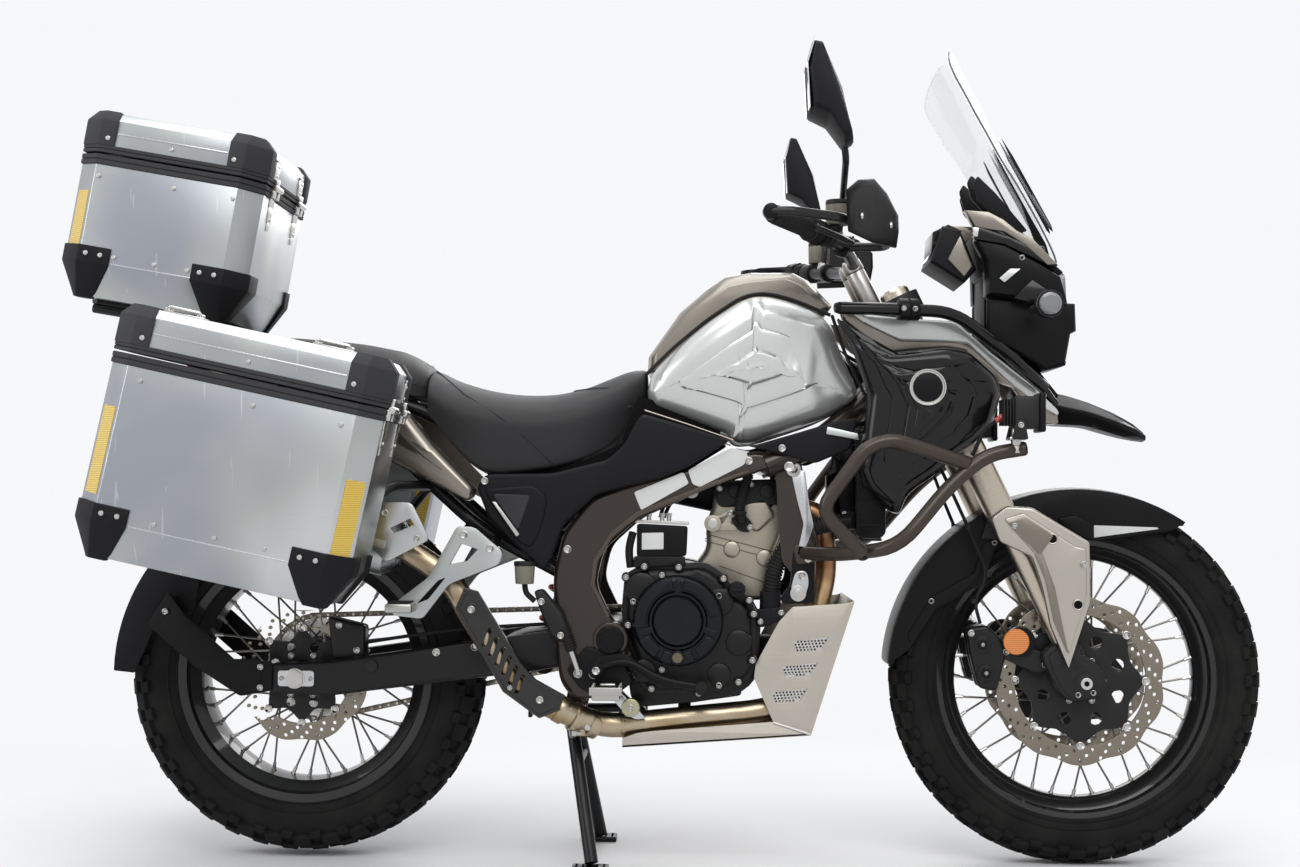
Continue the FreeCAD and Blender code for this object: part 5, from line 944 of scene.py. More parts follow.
class Palette:
    """The machine's own finishes."""

    silver = Paint("silver tank paint", (0.62, 0.63, 0.62), 0.55, 0.28, 0.8, 0.6)
    bronze = Paint("bronze frame paint", (0.036, 0.027, 0.021), 0.45, 0.3, 0.5, 0.8)
    bar_bronze = Paint("dark bronze bar coating", (0.05, 0.038, 0.03), 0.4, 0.36, 0.3, 0.5)
    bronze_silver = Paint("bronze silver panel", (0.25, 0.225, 0.19), 0.85, 0.26, 0.5, 0.6)
    # Painted shade: the guard's champagne at about half its brightness, for the folded faces that turn from
    # the light.
    guard_shade = Metal("champagne with painted fold shade", (0.24, 0.215, 0.18), 0.32, EVEN, 0.08, 420.0)
    caliper = Metal("black caliper", (0.018, 0.018, 0.018), 0.3, EVEN, 0.1, 600.0, 0.5)
    lever = Metal("black lever", (0.03, 0.03, 0.03), 0.28, EVEN, 0.05, 400.0, 0.6)
    cup = Plastic("fluid cup", (0.16, 0.15, 0.12), 0.25, 0.0)
    clutch = Metal("blued clutch cover", (0.016, 0.0175, 0.02), 0.26, EVEN, 0.05, 500.0, 0.75)
    sight = Lens("oil sight glass", (0.10, 0.07, 0.02))
    barrel = Metal("pale cast barrel", (0.42, 0.38, 0.31), 0.36, EVEN, 0.25, 500.0, 0.85)
    barrel_dark = Metal("shaded cast seam", (0.13, 0.115, 0.09), 0.5, EVEN, 0.2, 500.0, 0.6)
    shield = Paint("black pipe shield", (0.012, 0.011, 0.010), 0.1, 0.24, 0.6)
    fin = Metal("radiator fin", (0.04, 0.04, 0.042), 0.5, EVEN, 0.1, 500.0, 0.5)
    # Painted highlight: the frame's bronze at about twice its brightness, for the rolled spar edge that
    # catches the light.
    bronze_highlight = Paint("bronze with painted edge highlight", (0.075, 0.058, 0.045), 0.6, 0.26, 0.5, 0.5)
    peg = Metal("bare cast peg", (0.48, 0.47, 0.45), 0.34, EVEN, 0.2, 500.0)
    bobbin = Metal("brass bobbin", (0.45, 0.43, 0.30), 0.35, EVEN, 0.08, 400.0)
    smoke = Clear("smoked lens", (0.2, 0.2, 0.21), 0.85, 0.08)
    # Painted shade: near-black for the shade inside holes, slots, sockets, split lines and outlets, and for
    # sheets and blocks set where only shade is seen.
    gap_shade = Plastic("painted shade in gaps and openings", (0.004, 0.004, 0.004), 0.9, 0.0)
    blank = Plastic("blank plate", (0.55, 0.55, 0.54), 0.4, 0.05)
    thread = Plastic("seam thread", (0.03, 0.03, 0.032), 0.7, 0.1)
    edge = Plastic("polished screen edge", (0.12, 0.13, 0.14), 0.2, 0.0)
    lamp_core = Clear("lamp core", (0.75, 0.8, 0.85), 0.9, 0.05)
    gloss_black = Paint("gloss black panel", (0.004, 0.004, 0.0045), 0.0, 0.16, 0.25)
    frame_black = Paint("black frame coating", (0.006, 0.006, 0.0065), 0.0, 0.34, 0.12)
    rim_black = Paint("black rim coating", (0.012, 0.012, 0.012), 0.2, 0.26, 0.5)
    shock_red = Paint("red spring coating", (0.42, 0.02, 0.015), 0.0, 0.3, 0.6)
    plastic = Plastic("black moulded plastic")
    soft_plastic = Plastic("dark grey moulded plastic", (0.035, 0.035, 0.037), 0.6, 0.4)
    satin = Plastic("satin black plastic", (0.005, 0.005, 0.0055), 0.3, 0.08)
    champagne = Metal("champagne anodised fork", (0.56, 0.50, 0.41), 0.28, EVEN, 0.06, 500.0)
    guard_metal = Metal("champagne guard", (0.50, 0.465, 0.41), 0.3, EVEN, 0.08, 420.0)
    brushed = CaseSheet("brushed case sheet")
    brushed_edge = Metal("brushed case edge", (0.58, 0.59, 0.60), 0.24, (1.0, 1.0, 0.05), 0.06, 700.0)
    sheet = Metal("skid plate sheet", (0.53, 0.49, 0.43), 0.34, (0.05, 1.0, 1.0), 0.1, 600.0)
    cast = Metal("dark cast cases", (0.020, 0.020, 0.020), 0.36, EVEN, 0.35, 700.0, 0.7)
    cast_black = Metal("black cast parts", (0.02, 0.02, 0.02), 0.45, EVEN, 0.3, 800.0, 0.4)
    steel = Metal("bright steel", (0.62, 0.61, 0.59), 0.22, EVEN, 0.05, 300.0)
    zinc = Metal("zinc fastener", (0.55, 0.54, 0.52), 0.3, EVEN, 0.1, 600.0)
    chain = Metal("oiled chain steel", (0.32, 0.29, 0.24), 0.4, EVEN, 0.25, 900.0)
    pipe = Tinted("heat tinted pipe")
    copper = Tinted("hot header pipe", (0.50, 0.32, 0.18), (0.24, 0.11, 0.055), 0.3)
    rubber = Rubber("tyre rubber")
    grip = Rubber("grip rubber", (0.02, 0.02, 0.02), (0.03, 0.03, 0.03), 0.8)
    hose = Rubber("hose rubber", (0.015, 0.015, 0.015), (0.03, 0.03, 0.028), 0.6)
    hide = Hide("seat leather")
    screen = Clear("clear screen", (0.88, 0.91, 0.93), 0.16, 0.03)
    lamp = Clear("lamp lens", (0.92, 0.94, 0.95), 0.35, 0.04)
    spoke = Metal("dulled spoke steel", (0.20, 0.19, 0.175), 0.36, EVEN, 0.1, 300.0)
    mirror_glass = Metal("mirror glass", (0.9, 0.9, 0.9), 0.02, EVEN, 0.0, 10.0)
    reflector = Metal("lamp reflector", (0.85, 0.85, 0.84), 0.12, EVEN, 0.02, 40.0)
    amber = Lens("amber lens", (0.8, 0.24, 0.02))
    yellow = Lens("yellow reflector", (0.78, 0.52, 0.03))
    red = Lens("red lens", (0.5, 0.01, 0.01))
    display = Plastic("dark display", (0.01, 0.012, 0.014), 0.12, 0.0)


# More shapes

def layered(layers: Sequence[tuple[float, Outline]], edge: float = 0.0, fold: float = 18.0) -> Mesh:
    """Lofts side outlines of equal length from one y to the next.

    Args:
        layers: Pairs of y and outline.
        edge: Bevel of the folded edges in millimetres.
        fold: Edges folded by more degrees than this are bevelled.

    Returns:
        The closed shape.
    """
    shape = loft([[at(x, y, z) for x, z in outline] for y, outline in layers])
    if edge:
        soften(shape, folded_edges(shape, fold), edge, 2)
    return shape


def sheet(surface: Callable[[float, float], Vector], across: int, along: int) -> Mesh:
    """Bends a grid into a surface; u and v run from 0 to 1."""
    shape = bmesh.new()
    bmesh.ops.create_grid(shape, x_segments=across, y_segments=along, size=0.5)
    for vert in shape.verts:
        vert.co = surface(vert.co.x + 0.5, vert.co.y + 0.5)
    bmesh.ops.recalc_face_normals(shape, faces=shape.faces)
    return shape


def between(table: Sequence[tuple[float, ...]], value: float) -> list[float]:
    """Reads a table of rows at a value of their first column, smoothly between the rows."""
    rows = list(table)
    if value <= rows[0][0]:
        return list(rows[0][1:])
    for index in range(len(rows) - 1):
        low, high = rows[index], rows[index + 1]
        if value <= high[0]:
            before, after = rows[max(index - 1, 0)], rows[min(index + 2, len(rows) - 1)]
            t = (value - low[0]) / (high[0] - low[0])
            return [0.5 * ((2 * b) + (c - a) * t + (2 * a - 5 * b + 4 * c - d) * t * t
                           + (3 * b - a - 3 * c + d) * t ** 3)
                    for a, b, c, d in zip(before[1:], low[1:], high[1:], after[1:])]
    return list(rows[-1][1:])


def path_on(points: Sequence[Spot]) -> list[Vector]:
    """Row places of drawing points."""
    return [at(*point) for point in points]


def disc(x: float, y: float, z: float, radius: float, depth: float, out: int = -1, edge: float = 1.0,
         sides: int = 40) -> Mesh:
    """A flat round boss standing out across the machine by its depth."""
    return rod(at(x, y, z), at(x, y + out * depth, z), radius, sides=sides, edge=edge)


def ring(x: float, y: float, z: float, radius: float, wire: float, sides: int = 48) -> Mesh:
    """A ring of round wire about a cross axis."""
    section = [(math.cos(a) * wire, radius + math.sin(a) * wire)
               for a in (math.tau * i / 10 for i in range(10))]
    return turned(section, at(x, y, z), sides, closed=True)


# Sub-assemblies

@dataclass
class Wheel:
    """A wire wheel with a block-tread tyre."""

    side: str = "front"
    body: Body = Body.FRONT_WHEEL
    x: float = 0.0
    z: float = 332.0
    tyre_radius: float = 332.0
    tyre_width: float = 110.0
    bead_radius: float = 246.0
    rim_width: float = 76.0
    well_depth: float = 27.0
    tread_depth: float = 8.0
    pitches: int = 38
    hub_half: float = 36.0
    hub_flange: float = 50.0
    spoke_groups: int = 9

    @property
    def centre(self) -> Vector:
        """The axle's row place."""
        return at(self.x, 0, self.z)

    def places_round(self, radius: float, y: float, count: int, first: float = 0.0) -> list[Spot]:
        """Gives places evenly round the axle, the first turned by a share of their spacing."""
        turns = [math.tau * (index + first) / count for index in range(count)]
        return [(self.x + math.cos(turn) * radius, y, self.z + math.sin(turn) * radius) for turn in turns]

    def crown(self, angle: float, rise: float = 0.0) -> tuple[float, float]:
        """A point of the tyre's skin.

        Args:
            angle: Degrees round the section, 90 at the crown, 0 at the widest place.
            rise: Millimetres above the skin.

        Returns:
            Across and radius in millimetres.
        """
        turn = math.radians(angle)
        top = self.tyre_radius - self.tread_depth
        middle = self.bead_radius + (top - self.bead_radius) * 0.5
        height = (top - middle) if angle > 0 else (middle - self.bead_radius) / math.sin(math.radians(50))
        half = self.tyre_width / 2 - 3
        across = half * math.copysign(abs(math.cos(turn)) ** 0.8, math.cos(turn))
        radius = middle + height * math.copysign(abs(math.sin(turn)) ** 0.9, math.sin(turn))
        return across + rise * math.cos(turn), radius + rise * math.sin(turn)

    def block(self, angle: float, mirror: int, start: float, length: float, width: float) -> Mesh:
        """Makes one tread block.

        Args:
            angle: Place round the section in degrees.
            mirror: Side of the tyre, 1 or -1.
            start: Share of the pitch at which its middle lies.
            length: Length round the tyre in millimetres.
            width: Width across the tread in millimetres.

        Returns:
            The tapered block.
        """
        across, radius = self.crown(angle, self.tread_depth / 2 - 2.5)
        turn = math.radians(angle)
        shape = bmesh.new()
        bmesh.ops.create_cube(shape, size=1.0)
        top = [vert for vert in shape.verts if vert.co.z > 0]
        bmesh.ops.scale(shape, vec=Vector((0.86, 0.86, 1)), verts=top)
        rim = [edge for edge in shape.edges if all(vert.co.z > 0 for vert in edge.verts)]
        size = Matrix.Diagonal((length * MM, width * MM, (self.tread_depth + 3) * MM, 1))
        bmesh.ops.transform(shape, matrix=size, verts=shape.verts)
        soften(shape, rim, 1.0, 1)
        lean = Matrix.Rotation(mirror * -(math.pi / 2 - turn), 4, "X")
        place = Matrix.Translation((0, mirror * across * MM, radius * MM)) @ lean
        bmesh.ops.transform(shape, matrix=place, verts=shape.verts)
        spin = Matrix.Rotation(math.tau * start / self.pitches, 4, "Y")
        bmesh.ops.transform(shape, matrix=Matrix.Translation(self.centre) @ spin, verts=shape.verts)
        return shape

    def build_tyre(self) -> None:
        """Carcass, bead line, side ribs and rows of blocks."""
        angles = [-50 + 10 * step for step in range(15)]
        half = [self.crown(angle) for angle in angles]
        section = half + [(-across, radius) for across, radius in half[-2::-1]]
        pitch = math.tau * self.tyre_radius / self.pitches
        shapes = []
        for mirror in (-1, 1):
            shift = 0.25 * mirror
            shapes.append(self.block(81, mirror, 0.25 + shift, pitch * 0.5, self.tyre_width * 0.17))
            shapes.append(self.block(61, mirror, 0.75 + shift, pitch * 0.58, self.tyre_width * 0.16))
            shapes.append(self.block(38, mirror, 0.25 + shift, pitch * 0.62, self.tyre_width * 0.17))
            shapes.append(self.block(20, mirror, 0.75 + shift, pitch * 0.4, self.tyre_width * 0.10))
        tread = repeated(joined(shapes), self.centre, self.pitches)
        piece = Piece(f"{self.side}_tyre_body")
        piece.add(turned(section, self.centre, 120, closed=True), Palette.rubber)
        piece.add(tread, Palette.rubber)
        for across, radius in (self.crown(-34, 0.6), self.crown(-18, 0.4)):
            for sign in (-1, 1):
                rib = [(sign * across + math.cos(a) * 1.6, radius + math.sin(a) * 1.6)
                       for a in (math.tau * i / 8 for i in range(8))]
                piece.add(turned(rib, self.centre, 120, closed=True), Palette.rubber)
        piece.place(self.body, "tyre_rubber", (f"{self.side}_tyre",))

    def build_rim(self) -> None:
        """Rim with its well, flange beads and nipple seats."""
        half, bead, deep = self.rim_width / 2, self.bead_radius, self.bead_radius - self.well_depth
        outer = [(half, bead + 10), (half + 2.5, bead + 11), (half + 4, bead + 8), (half + 2, bead + 2),
                 (half - 1, bead - 6), (half - 10, bead - 10), (half - 22, deep - 2), (10, deep - 5)]
        inner = [(10, deep + 2), (half - 22, deep + 4), (half - 10, bead - 4), (half - 2, bead)]
        section = outer[::-1] + [(half - 2, bead + 9)] + inner[::-1]
        mirrored = [(-a, r) for a, r in section[::-1]]
        piece = Piece(f"{self.side}_rim_body")
        piece.add(turned(section + mirrored, self.centre, 120, closed=True), Palette.rim_black)
        piece.place(self.body, "black_paint", (f"{self.side}_rim",))

    def spoke_ends(self, index: int) -> tuple[Vector, Vector]:
        """Head and nipple of one spoke."""
        count = self.spoke_groups * 4
        side = 1 if index % 2 else -1
        lean = 1 if (index // 2) % 2 else -1
        seat = math.tau * index / count
        root = seat - lean * math.radians(58)
        hub_y = side * (self.hub_half - 3)
        rim_y, rim_r = side * 7.0, self.bead_radius - self.well_depth - 5
        head = at(self.x + math.sin(root) * self.hub_flange * 0.9, hub_y,
                  self.z + math.cos(root) * self.hub_flange * 0.9)
        tip = at(self.x + math.sin(seat) * rim_r, rim_y, self.z + math.cos(seat) * rim_r)
        return head, tip

    def build_hub(self) -> None:
        """Barrel, drilled flanges, bearings, spokes and nipples."""
        half, flange = self.hub_half, self.hub_flange
        section = [(-half - 8, 14), (-half - 8, 27), (-half, 30), (-half, flange), (-half + 6, flange + 1),
                   (-half + 9, flange - 4), (-half + 14, 30), (0, 26), (half - 14, 30),
                   (half - 9, flange - 4), (half - 6, flange + 1), (half, flange), (half, 30), (half + 8, 27),
                   (half + 8, 14)]
        piece = Piece(f"{self.side}_hub_body")
        piece.add(turned(section, self.centre, 48, closed=True), Palette.cast_black)
        spokes, nipples = [], []
        for index in range(self.spoke_groups * 4):
            head, tip = self.spoke_ends(index)
            run = (tip - head).normalized()
            spokes.append(rod(head, tip, 1.9, sides=8))
            nipples.append(rod(tip - run * 0.013, tip + run * 0.004, 3.2, sides=8))
            nipples.append(rod(tip - run * 0.002, tip + run * 0.006, 5.0, sides=8))
        piece.add(joined(spokes), Palette.spoke)
        piece.add(joined(nipples), Palette.zinc)
        self.add_extras(piece)
        piece.place(self.body, "steel", (f"{self.side}_hub",))

    def add_extras(self, piece: Piece) -> None:
        """Adds what one wheel has beside its hub."""
        for place in self.places_round(38, -self.hub_half, 6) + self.places_round(38, self.hub_half, 6):
            piece.add(bolt(at(*place), Vector((0, math.copysign(1, place[1]), 0)), 5), Palette.zinc)

    def disc_outline(self, radius: float, waves: int, depth: float) -> Outline:
        """A wave disc's edge: scallops round a circle."""
        points = []
        for index in range(waves * 12):
            turn = math.tau * index / (waves * 12)
            swell = depth * (0.5 + 0.5 * math.cos(turn * waves)) ** 1.6
            points.append((self.x + math.cos(turn) * (radius - swell),
                           self.z + math.sin(turn) * (radius - swell)))
        return points

    def build_disc(self, name: str, radius: float, y: float, sides: Sequence[int], waves: int = 10) -> None:
        """Makes wave brake discs with drilled bands, a dark carrier and floating buttons.

        Args:
            name: Piece name.
            radius: Outer radius.
            y: Distance from the middle plane.
            sides: Which sides of the wheel have one.
            waves: Scallops round the edge.
        """
        piece = Piece(f"{name}_body")
        ground = Turned(f"{self.side} disc steel", (0.27, 0.235, 0.19), tuple(self.centre))
        band = radius - 34
        holes = [circle_outline(x, z, 3.4, 8) for row, inset in enumerate((9, 17, 26))
                 for x, _, z in self.places_round(radius - inset, 0, 24, row / 3)]
        inside = circle_outline(self.x, self.z, band, 72)
        carrier_outline = []
        for index in range(96):
            turn = math.tau * index / 96
            reach = band - 4 - 17 * (0.5 - 0.5 * math.cos(turn * 8)) ** 0.7
            carrier_outline.append((self.x + math.cos(turn) * reach, self.z + math.sin(turn) * reach))
        slots = [circle_outline(x, z, band * 0.1, 12)
                 for x, _, z in self.places_round(band * 0.62, 0, 8, 0.5)]
        bore = circle_outline(self.x, self.z, 27, 32)
        for side in sides:
            piece.add(plate(self.disc_outline(radius, waves, 6), side * y - 2.5, side * y + 2.5, 0, 0.4,
                            holes + [inside], 2), ground)
            piece.add(plate(carrier_outline, side * y - 3.5, side * y + 3, 0, 0.8, slots + [bore]),
                      Palette.cast_black)
            buttons = self.places_round(band - 1, side * (y + 2), 8)
            piece.add(bolts(buttons, (0, side, 0), 7.5, Head.SOCKET, 4.5), Palette.steel)
            inner = self.places_round(40, side * (y + 2), 6)
            piece.add(bolts(inner, (0, side, 0), 5.5, Head.SOCKET, 5), Palette.zinc)
        piece.place(self.body, "disc_steel", (name,))

    def build(self) -> None:
        """Builds tyre, rim, hub and discs."""
        self.build_tyre()
        self.build_rim()
        self.build_hub()
        self.build_disc("front_discs", 150, 72, (-1, 1))


@dataclass
class RearWheel(Wheel):
    """The rear wheel: a wider tyre, one disc on the right and the sprocket on the left."""

    sprocket_radius: float = 92.0
    sprocket_y: float = 85.0
    teeth: int = 42

    def add_extras(self, piece: Piece) -> None:
        """Adds the sprocket with its carrier and bolts."""
        y, teeth = self.sprocket_y, []
        for index in range(self.teeth * 4):
            turn = math.tau * index / (self.teeth * 4)
            reach = self.sprocket_radius + (2.0, 5.0, 2.0, -3.0)[index % 4]
            teeth.append((self.x + math.cos(turn) * reach, self.z + math.sin(turn) * reach))
        slots = [circle_outline(x, z, 11, 12) for x, _, z in self.places_round(68, 0, 6)]
        bore = circle_outline(self.x, self.z, 28, 32)
        piece.add(plate(teeth, y - 3, y + 3, 0, 0.8, slots + [bore]), Palette.steel)
        carrier = [(self.hub_half + 2, 26), (self.hub_half + 2, 52), (y - 10, 58), (y - 3.5, 58),
                   (y - 3.5, 26)]
        piece.add(turned(carrier, self.centre, 48, closed=True), Palette.cast_black)
        nuts = self.places_round(46, y + 3, 6, 0.5)
        piece.add(bolts(nuts, (0, 1, 0), 7, Head.HEX, 6), Palette.zinc)
        self_bearing = [(y + 1, 14), (y + 1, 27), (y + 9, 24), (y + 9, 14)]
        piece.add(turned(self_bearing, self.centre, 32, closed=True), Palette.cast_black)

    def build(self) -> None:
        """Builds tyre, rim, hub and disc."""
        self.build_tyre()
        self.build_rim()
        self.build_hub()
        self.build_disc("rear_disc", 120, 78, (-1,), 8)


@dataclass
class HardCase:
    """A sheet aluminium case with cast corners, a rubber seam and a hinged lid.

    The case is drawn level about its own foot, then pitched: u runs along it, v across, w up.
    """

    name: str = "right_case"
    body: Body = Body.MACHINE
    lid_body: Body = Body.RIGHT_LID
    length: float = 450.0
    width: float = 230.0
    depth: float = 330.0
    lid_depth: float = 77.0
    pitch: float = 12.0
    foot: Spot = (-1465.0, -365.0, 514.0)
    face: int = -1
    chamfer: float = 38.0
    skirt: float = 60.0
    taper: float = 30.0
    rear_reflector: bool = True
    latches: int = 1
    handles: tuple[float, ...] = (-0.28, 0.27)

    def spot(self, u: float, v: float, w: float) -> Vector:
        """Row place of a point of the case."""
        turn = math.radians(self.pitch)
        x, y, z = self.foot
        return at(x + u * math.cos(turn) + w * math.sin(turn), y + v,
                  z - u * math.sin(turn) + w * math.cos(turn))

    def aim(self, u: float, v: float, w: float) -> Vector:
        """Row direction of a direction of the case."""
        return (self.spot(u, v, w) - self.spot(0, 0, 0)).normalized()

    def ring(self, w: float, inset: float) -> list[Vector]:
        """The eight-sided outline at one level."""
        half_u, half_v = self.length / 2 - inset, self.width / 2 - inset
        cut = self.chamfer - inset * 0.4
        corners = [(half_u - cut, half_v), (half_u, half_v - cut), (half_u, -half_v + cut),
                   (half_u - cut, -half_v), (-half_u + cut, -half_v), (-half_u, -half_v + cut),
                   (-half_u, half_v - cut), (-half_u + cut, half_v)]
        return [self.spot(u, v, w) for u, v in corners]

    def cup(self, levels: Outline, wall: float) -> Mesh:
        """An open shell: the outer levels, then back down inside them.

        Args:
            levels: Height and inset of each ring, from the closed end to the mouth.
            wall: Wall thickness in millimetres.

        Returns:
            The closed surface of the shell.
        """
        closed_end = levels[0]
        step = wall if levels[-1][0] > closed_end[0] else -wall
        inner = [(closed_end[0] + step, closed_end[1] + wall)] + [(w, inset + wall)
                                                                  for w, inset in levels[1:]]
        shape = loft([self.ring(w, inset) for w, inset in list(levels) + inner[::-1]])
        folds = [e for e in shape.edges if math.radians(20) < e.calc_face_angle(0) < math.radians(120)]
        soften(shape, folds, 1.0, 2)
        return shape

    def band(self, w_low: float, w_high: float, proud: float) -> Mesh:
        """A ribbed rubber band round the outline."""
        rise = (w_high - w_low) / 4
        levels = [(w_low, -proud * 0.4), (w_low + rise * 0.3, -proud), (w_low + rise * 1.7, -proud),
                  (w_low + rise * 2, -proud * 0.3), (w_low + rise * 2.3, -proud),
                  (w_high - rise * 0.3, -proud), (w_high, -proud * 0.4)]
        inner = [(w_high, 1.0), (w_low, 1.0)]
        shape = bmesh.new()
        loops = [outline_loop(shape, self.ring(w, inset)) for w, inset in levels + inner]
        for first, second in zip(loops, loops[1:] + loops[:1]):
            bmesh.ops.bridge_loops(shape, edges=first + second)
        bmesh.ops.recalc_face_normals(shape, faces=shape.faces)
        return shape

    def block(self, low: Spot, high: Spot, edge: float = 1.5) -> Mesh:
        """A bevelled block between two corners of the case's own frame."""
        middle = [(a + b) / 2 for a, b in zip(low, high)]
        size = [abs(b - a) * MM for a, b in zip(low, high)]
        shape = bmesh.new()
        bmesh.ops.create_cube(shape, size=1.0, matrix=Matrix.Diagonal((*size, 1)))
        soften(shape, shape.edges, min(edge, 400 * min(size)))
        turn = Matrix.Rotation(math.radians(self.pitch), 4, "Y")
        bmesh.ops.transform(shape, matrix=Matrix.Translation(self.spot(*middle)) @ turn, verts=shape.verts)
        return shape

    def corner_cap(self, end: int, side: int, w_low: float, w_high: float, reach: float, top: bool) -> Mesh:
        """A cast cap over one vertical edge's end.

        Args:
            end: 1 ahead, -1 behind.
            side: 1 left, -1 right.
            w_low: Its lowest level.
            w_high: Its highest level.
            reach: How far it runs along each face.
            top: Whether it belongs to the lid.

        Returns:
            The cap.
        """
        half_u, half_v, cut, proud = self.length / 2, self.width / 2, self.chamfer, 4.0

        def ring(w: float, inset: float, run: float) -> list[Vector]:
            """Outline of the cap at one level."""
            corner = [(half_u - cut - run, half_v + proud - inset),
                      (half_u - cut + 3, half_v + proud - inset), (half_u + proud - inset, half_v - cut + 3),
                      (half_u + proud - inset, half_v - cut - run), (half_u - 12 - inset, half_v - cut - run),
                      (half_u - cut - run, half_v - 12 - inset)]
            return [self.spot(end * u, side * v, w) for u, v in corner]

        if top:
            levels = [(w_low, 0, reach), (w_high - 16, 0, reach), (w_high + 3, 18, reach * 0.9)]
        else:
            levels = [(w_low - 4, self.taper + 2, reach * 0.45), (w_low + 8, self.taper - 4, reach * 0.6),
                      (self.skirt - 4, 0, reach), (w_high, 0, reach)]
        shape = loft([ring(*level) for level in levels])
        folds = folded_edges(shape, 15)
        soften(shape, folds, 1.6, 2)
        return shape

    def build_body(self) -> None:
        """Box, seam band, corners, rivets, reflectors and keeper plates."""
        half_u, half_v, seam = self.length / 2, self.width / 2, self.depth
        piece = Piece(f"{self.name}_body")
        piece.add(self.cup([(0, self.taper), (self.skirt, 0), (seam - 18, 0)], 3.5), Palette.brushed)
        piece.add(self.band(seam - 20, seam - 1.5, 2.6), Palette.soft_plastic)
        for end in (-1, 1):
            for side in (-1, 1):
                reach = 54 if side == self.face else 30
                piece.add(self.corner_cap(end, side, 0, self.skirt + 26, reach, False), Palette.plastic)
                for k in (12, 38):
                    spot = self.spot(end * (half_u - self.chamfer - k), side * (half_v + 3.5),
                                     self.skirt + 12)
                    piece.add(bolt(spot, self.aim(0, side, 0), 5.2, Head.RIVET, 3), Palette.zinc)
        for side in (-1, 1):
            rows = [(-0.36, seam - 40), (0.05, seam - 40), (0.37, seam - 40)]
            rows += [(-0.2, self.skirt + 12), (0.02, self.skirt + 12), (0.2, self.skirt + 12)]
            for share, w in rows:
                piece.add(bolt(self.spot(share * self.length, side * half_v, w), self.aim(0, side, 0), 4.6,
                               Head.RIVET, 2.6), Palette.zinc)
            for end in (-1, 1):
                if end > 0 and not self.rear_reflector:
                    continue
                middle = self.chamfer / 2
                out = self.aim(end, side, 0)
                low, high = (0.30, 0.73) if end < 0 else (0.22, 0.63)
                foot = self.spot(end * (half_u - middle), side * (half_v - middle), seam * low) + out * 0.0008
                head = self.spot(end * (half_u - middle), side * (half_v - middle),
                                 seam * high) + out * 0.0008
                across = self.aim(-end, side, 0) * 0.0185
                ring_low = [foot - across, foot + across, foot + across - out * 0.004,
                            foot - across - out * 0.004]
                ring_high = [head - across, head + across, head + across - out * 0.004,
                             head - across - out * 0.004]
                piece.add(loft([ring_low, ring_high]), Palette.yellow)
            groove = self.block((-half_u + self.chamfer, side * (half_v + 0.3), self.skirt - 1),
                                (half_u - self.chamfer, side * (half_v - 2), self.skirt + 1.2), 0.4)
            piece.add(groove, Palette.brushed_edge)
        for span in self.hinge_spans(((-20, -7), (7, 20))):
            piece.add(self.leaf(span, -1), Palette.steel)
        for v in self.latch_places():
            piece.add(self.latch(v, False), Palette.steel)
        for centre in (-self.width / 4, self.width / 4):
            piece.add(self.strap(centre, 0), Palette.steel)
        piece.place(self.body, "brushed_aluminium", (self.name,))

    def strap(self, centre: float, rise: float) -> Mesh:
        """A riveted hinge strap down the front face, or up onto the lid when it rises."""
        front, seam = self.length / 2, self.depth
        sign = 1 if rise else -1
        spans = (((15, 16, rise - 6), (10, rise - 6, rise)) if rise
                 else ((15, 8, 34), (12, 34, 62), (7, 62, 76)))
        parts = [self.block((front - 1, centre - half, seam + sign * near),
                            (front + 2.4, centre + half, seam + sign * far),
                            0.9) for half, near, far in spans]
        spots = [(side * 6, level) for side in (-1, 1) for level in (spans[0][1] + 8, spans[-1][1] - 6)]
        parts += [bolt(self.spot(front + 2, centre + v, seam + sign * w), self.aim(1, 0, 0), 3, Head.RIVET,
                       1.6)
                  for v, w in spots]
        return joined(parts)

    def hinge_spans(self, spans: Outline) -> list[tuple[float, float]]:
        """The stretches of hinge barrel across the front face."""
        return [(centre + low, centre + high) for centre in (-self.width / 4, self.width / 4)
                for low, high in spans]

    def leaf(self, span: tuple[float, float], way: int) -> Mesh:
        """A hinge barrel with its leaf, down the body or up the lid."""
        axis_u = self.length / 2 + 9
        barrel = rod(self.spot(axis_u, span[0], self.depth), self.spot(axis_u, span[1], self.depth), 5.9,
                     sides=20, edge=0.5)
        reach = way * 18
        arm = self.block((self.length / 2 - 1, span[0] + 0.3, self.depth + (1 if way > 0 else -1)),
                         (axis_u, span[1] - 0.3, self.depth + reach), 1)
        return joined([barrel, arm])

    def latch_places(self) -> list[float]:
        """Where along the rear face the latches sit."""
        return [0.0] if self.latches == 1 else [-self.width * 0.22, self.width * 0.22]

    def latch(self, v: float, on_lid: bool) -> Mesh:
        """Half of a toggle latch on the rear face: the lever below, the hook plate above."""
        u = -self.length / 2
        if on_lid:
            return self.block((u - 4, v - 13, self.depth + 14), (u + 0.5, v + 13, self.depth + 40), 1.2)
        plate_part = self.block((u - 4, v - 15, self.depth - 82), (u + 0.5, v + 15, self.depth - 24), 1.2)
        lever = self.block((u - 9, v - 9, self.depth - 74), (u - 3, v + 9, self.depth - 22), 1.6)
        return joined([plate_part, lever])

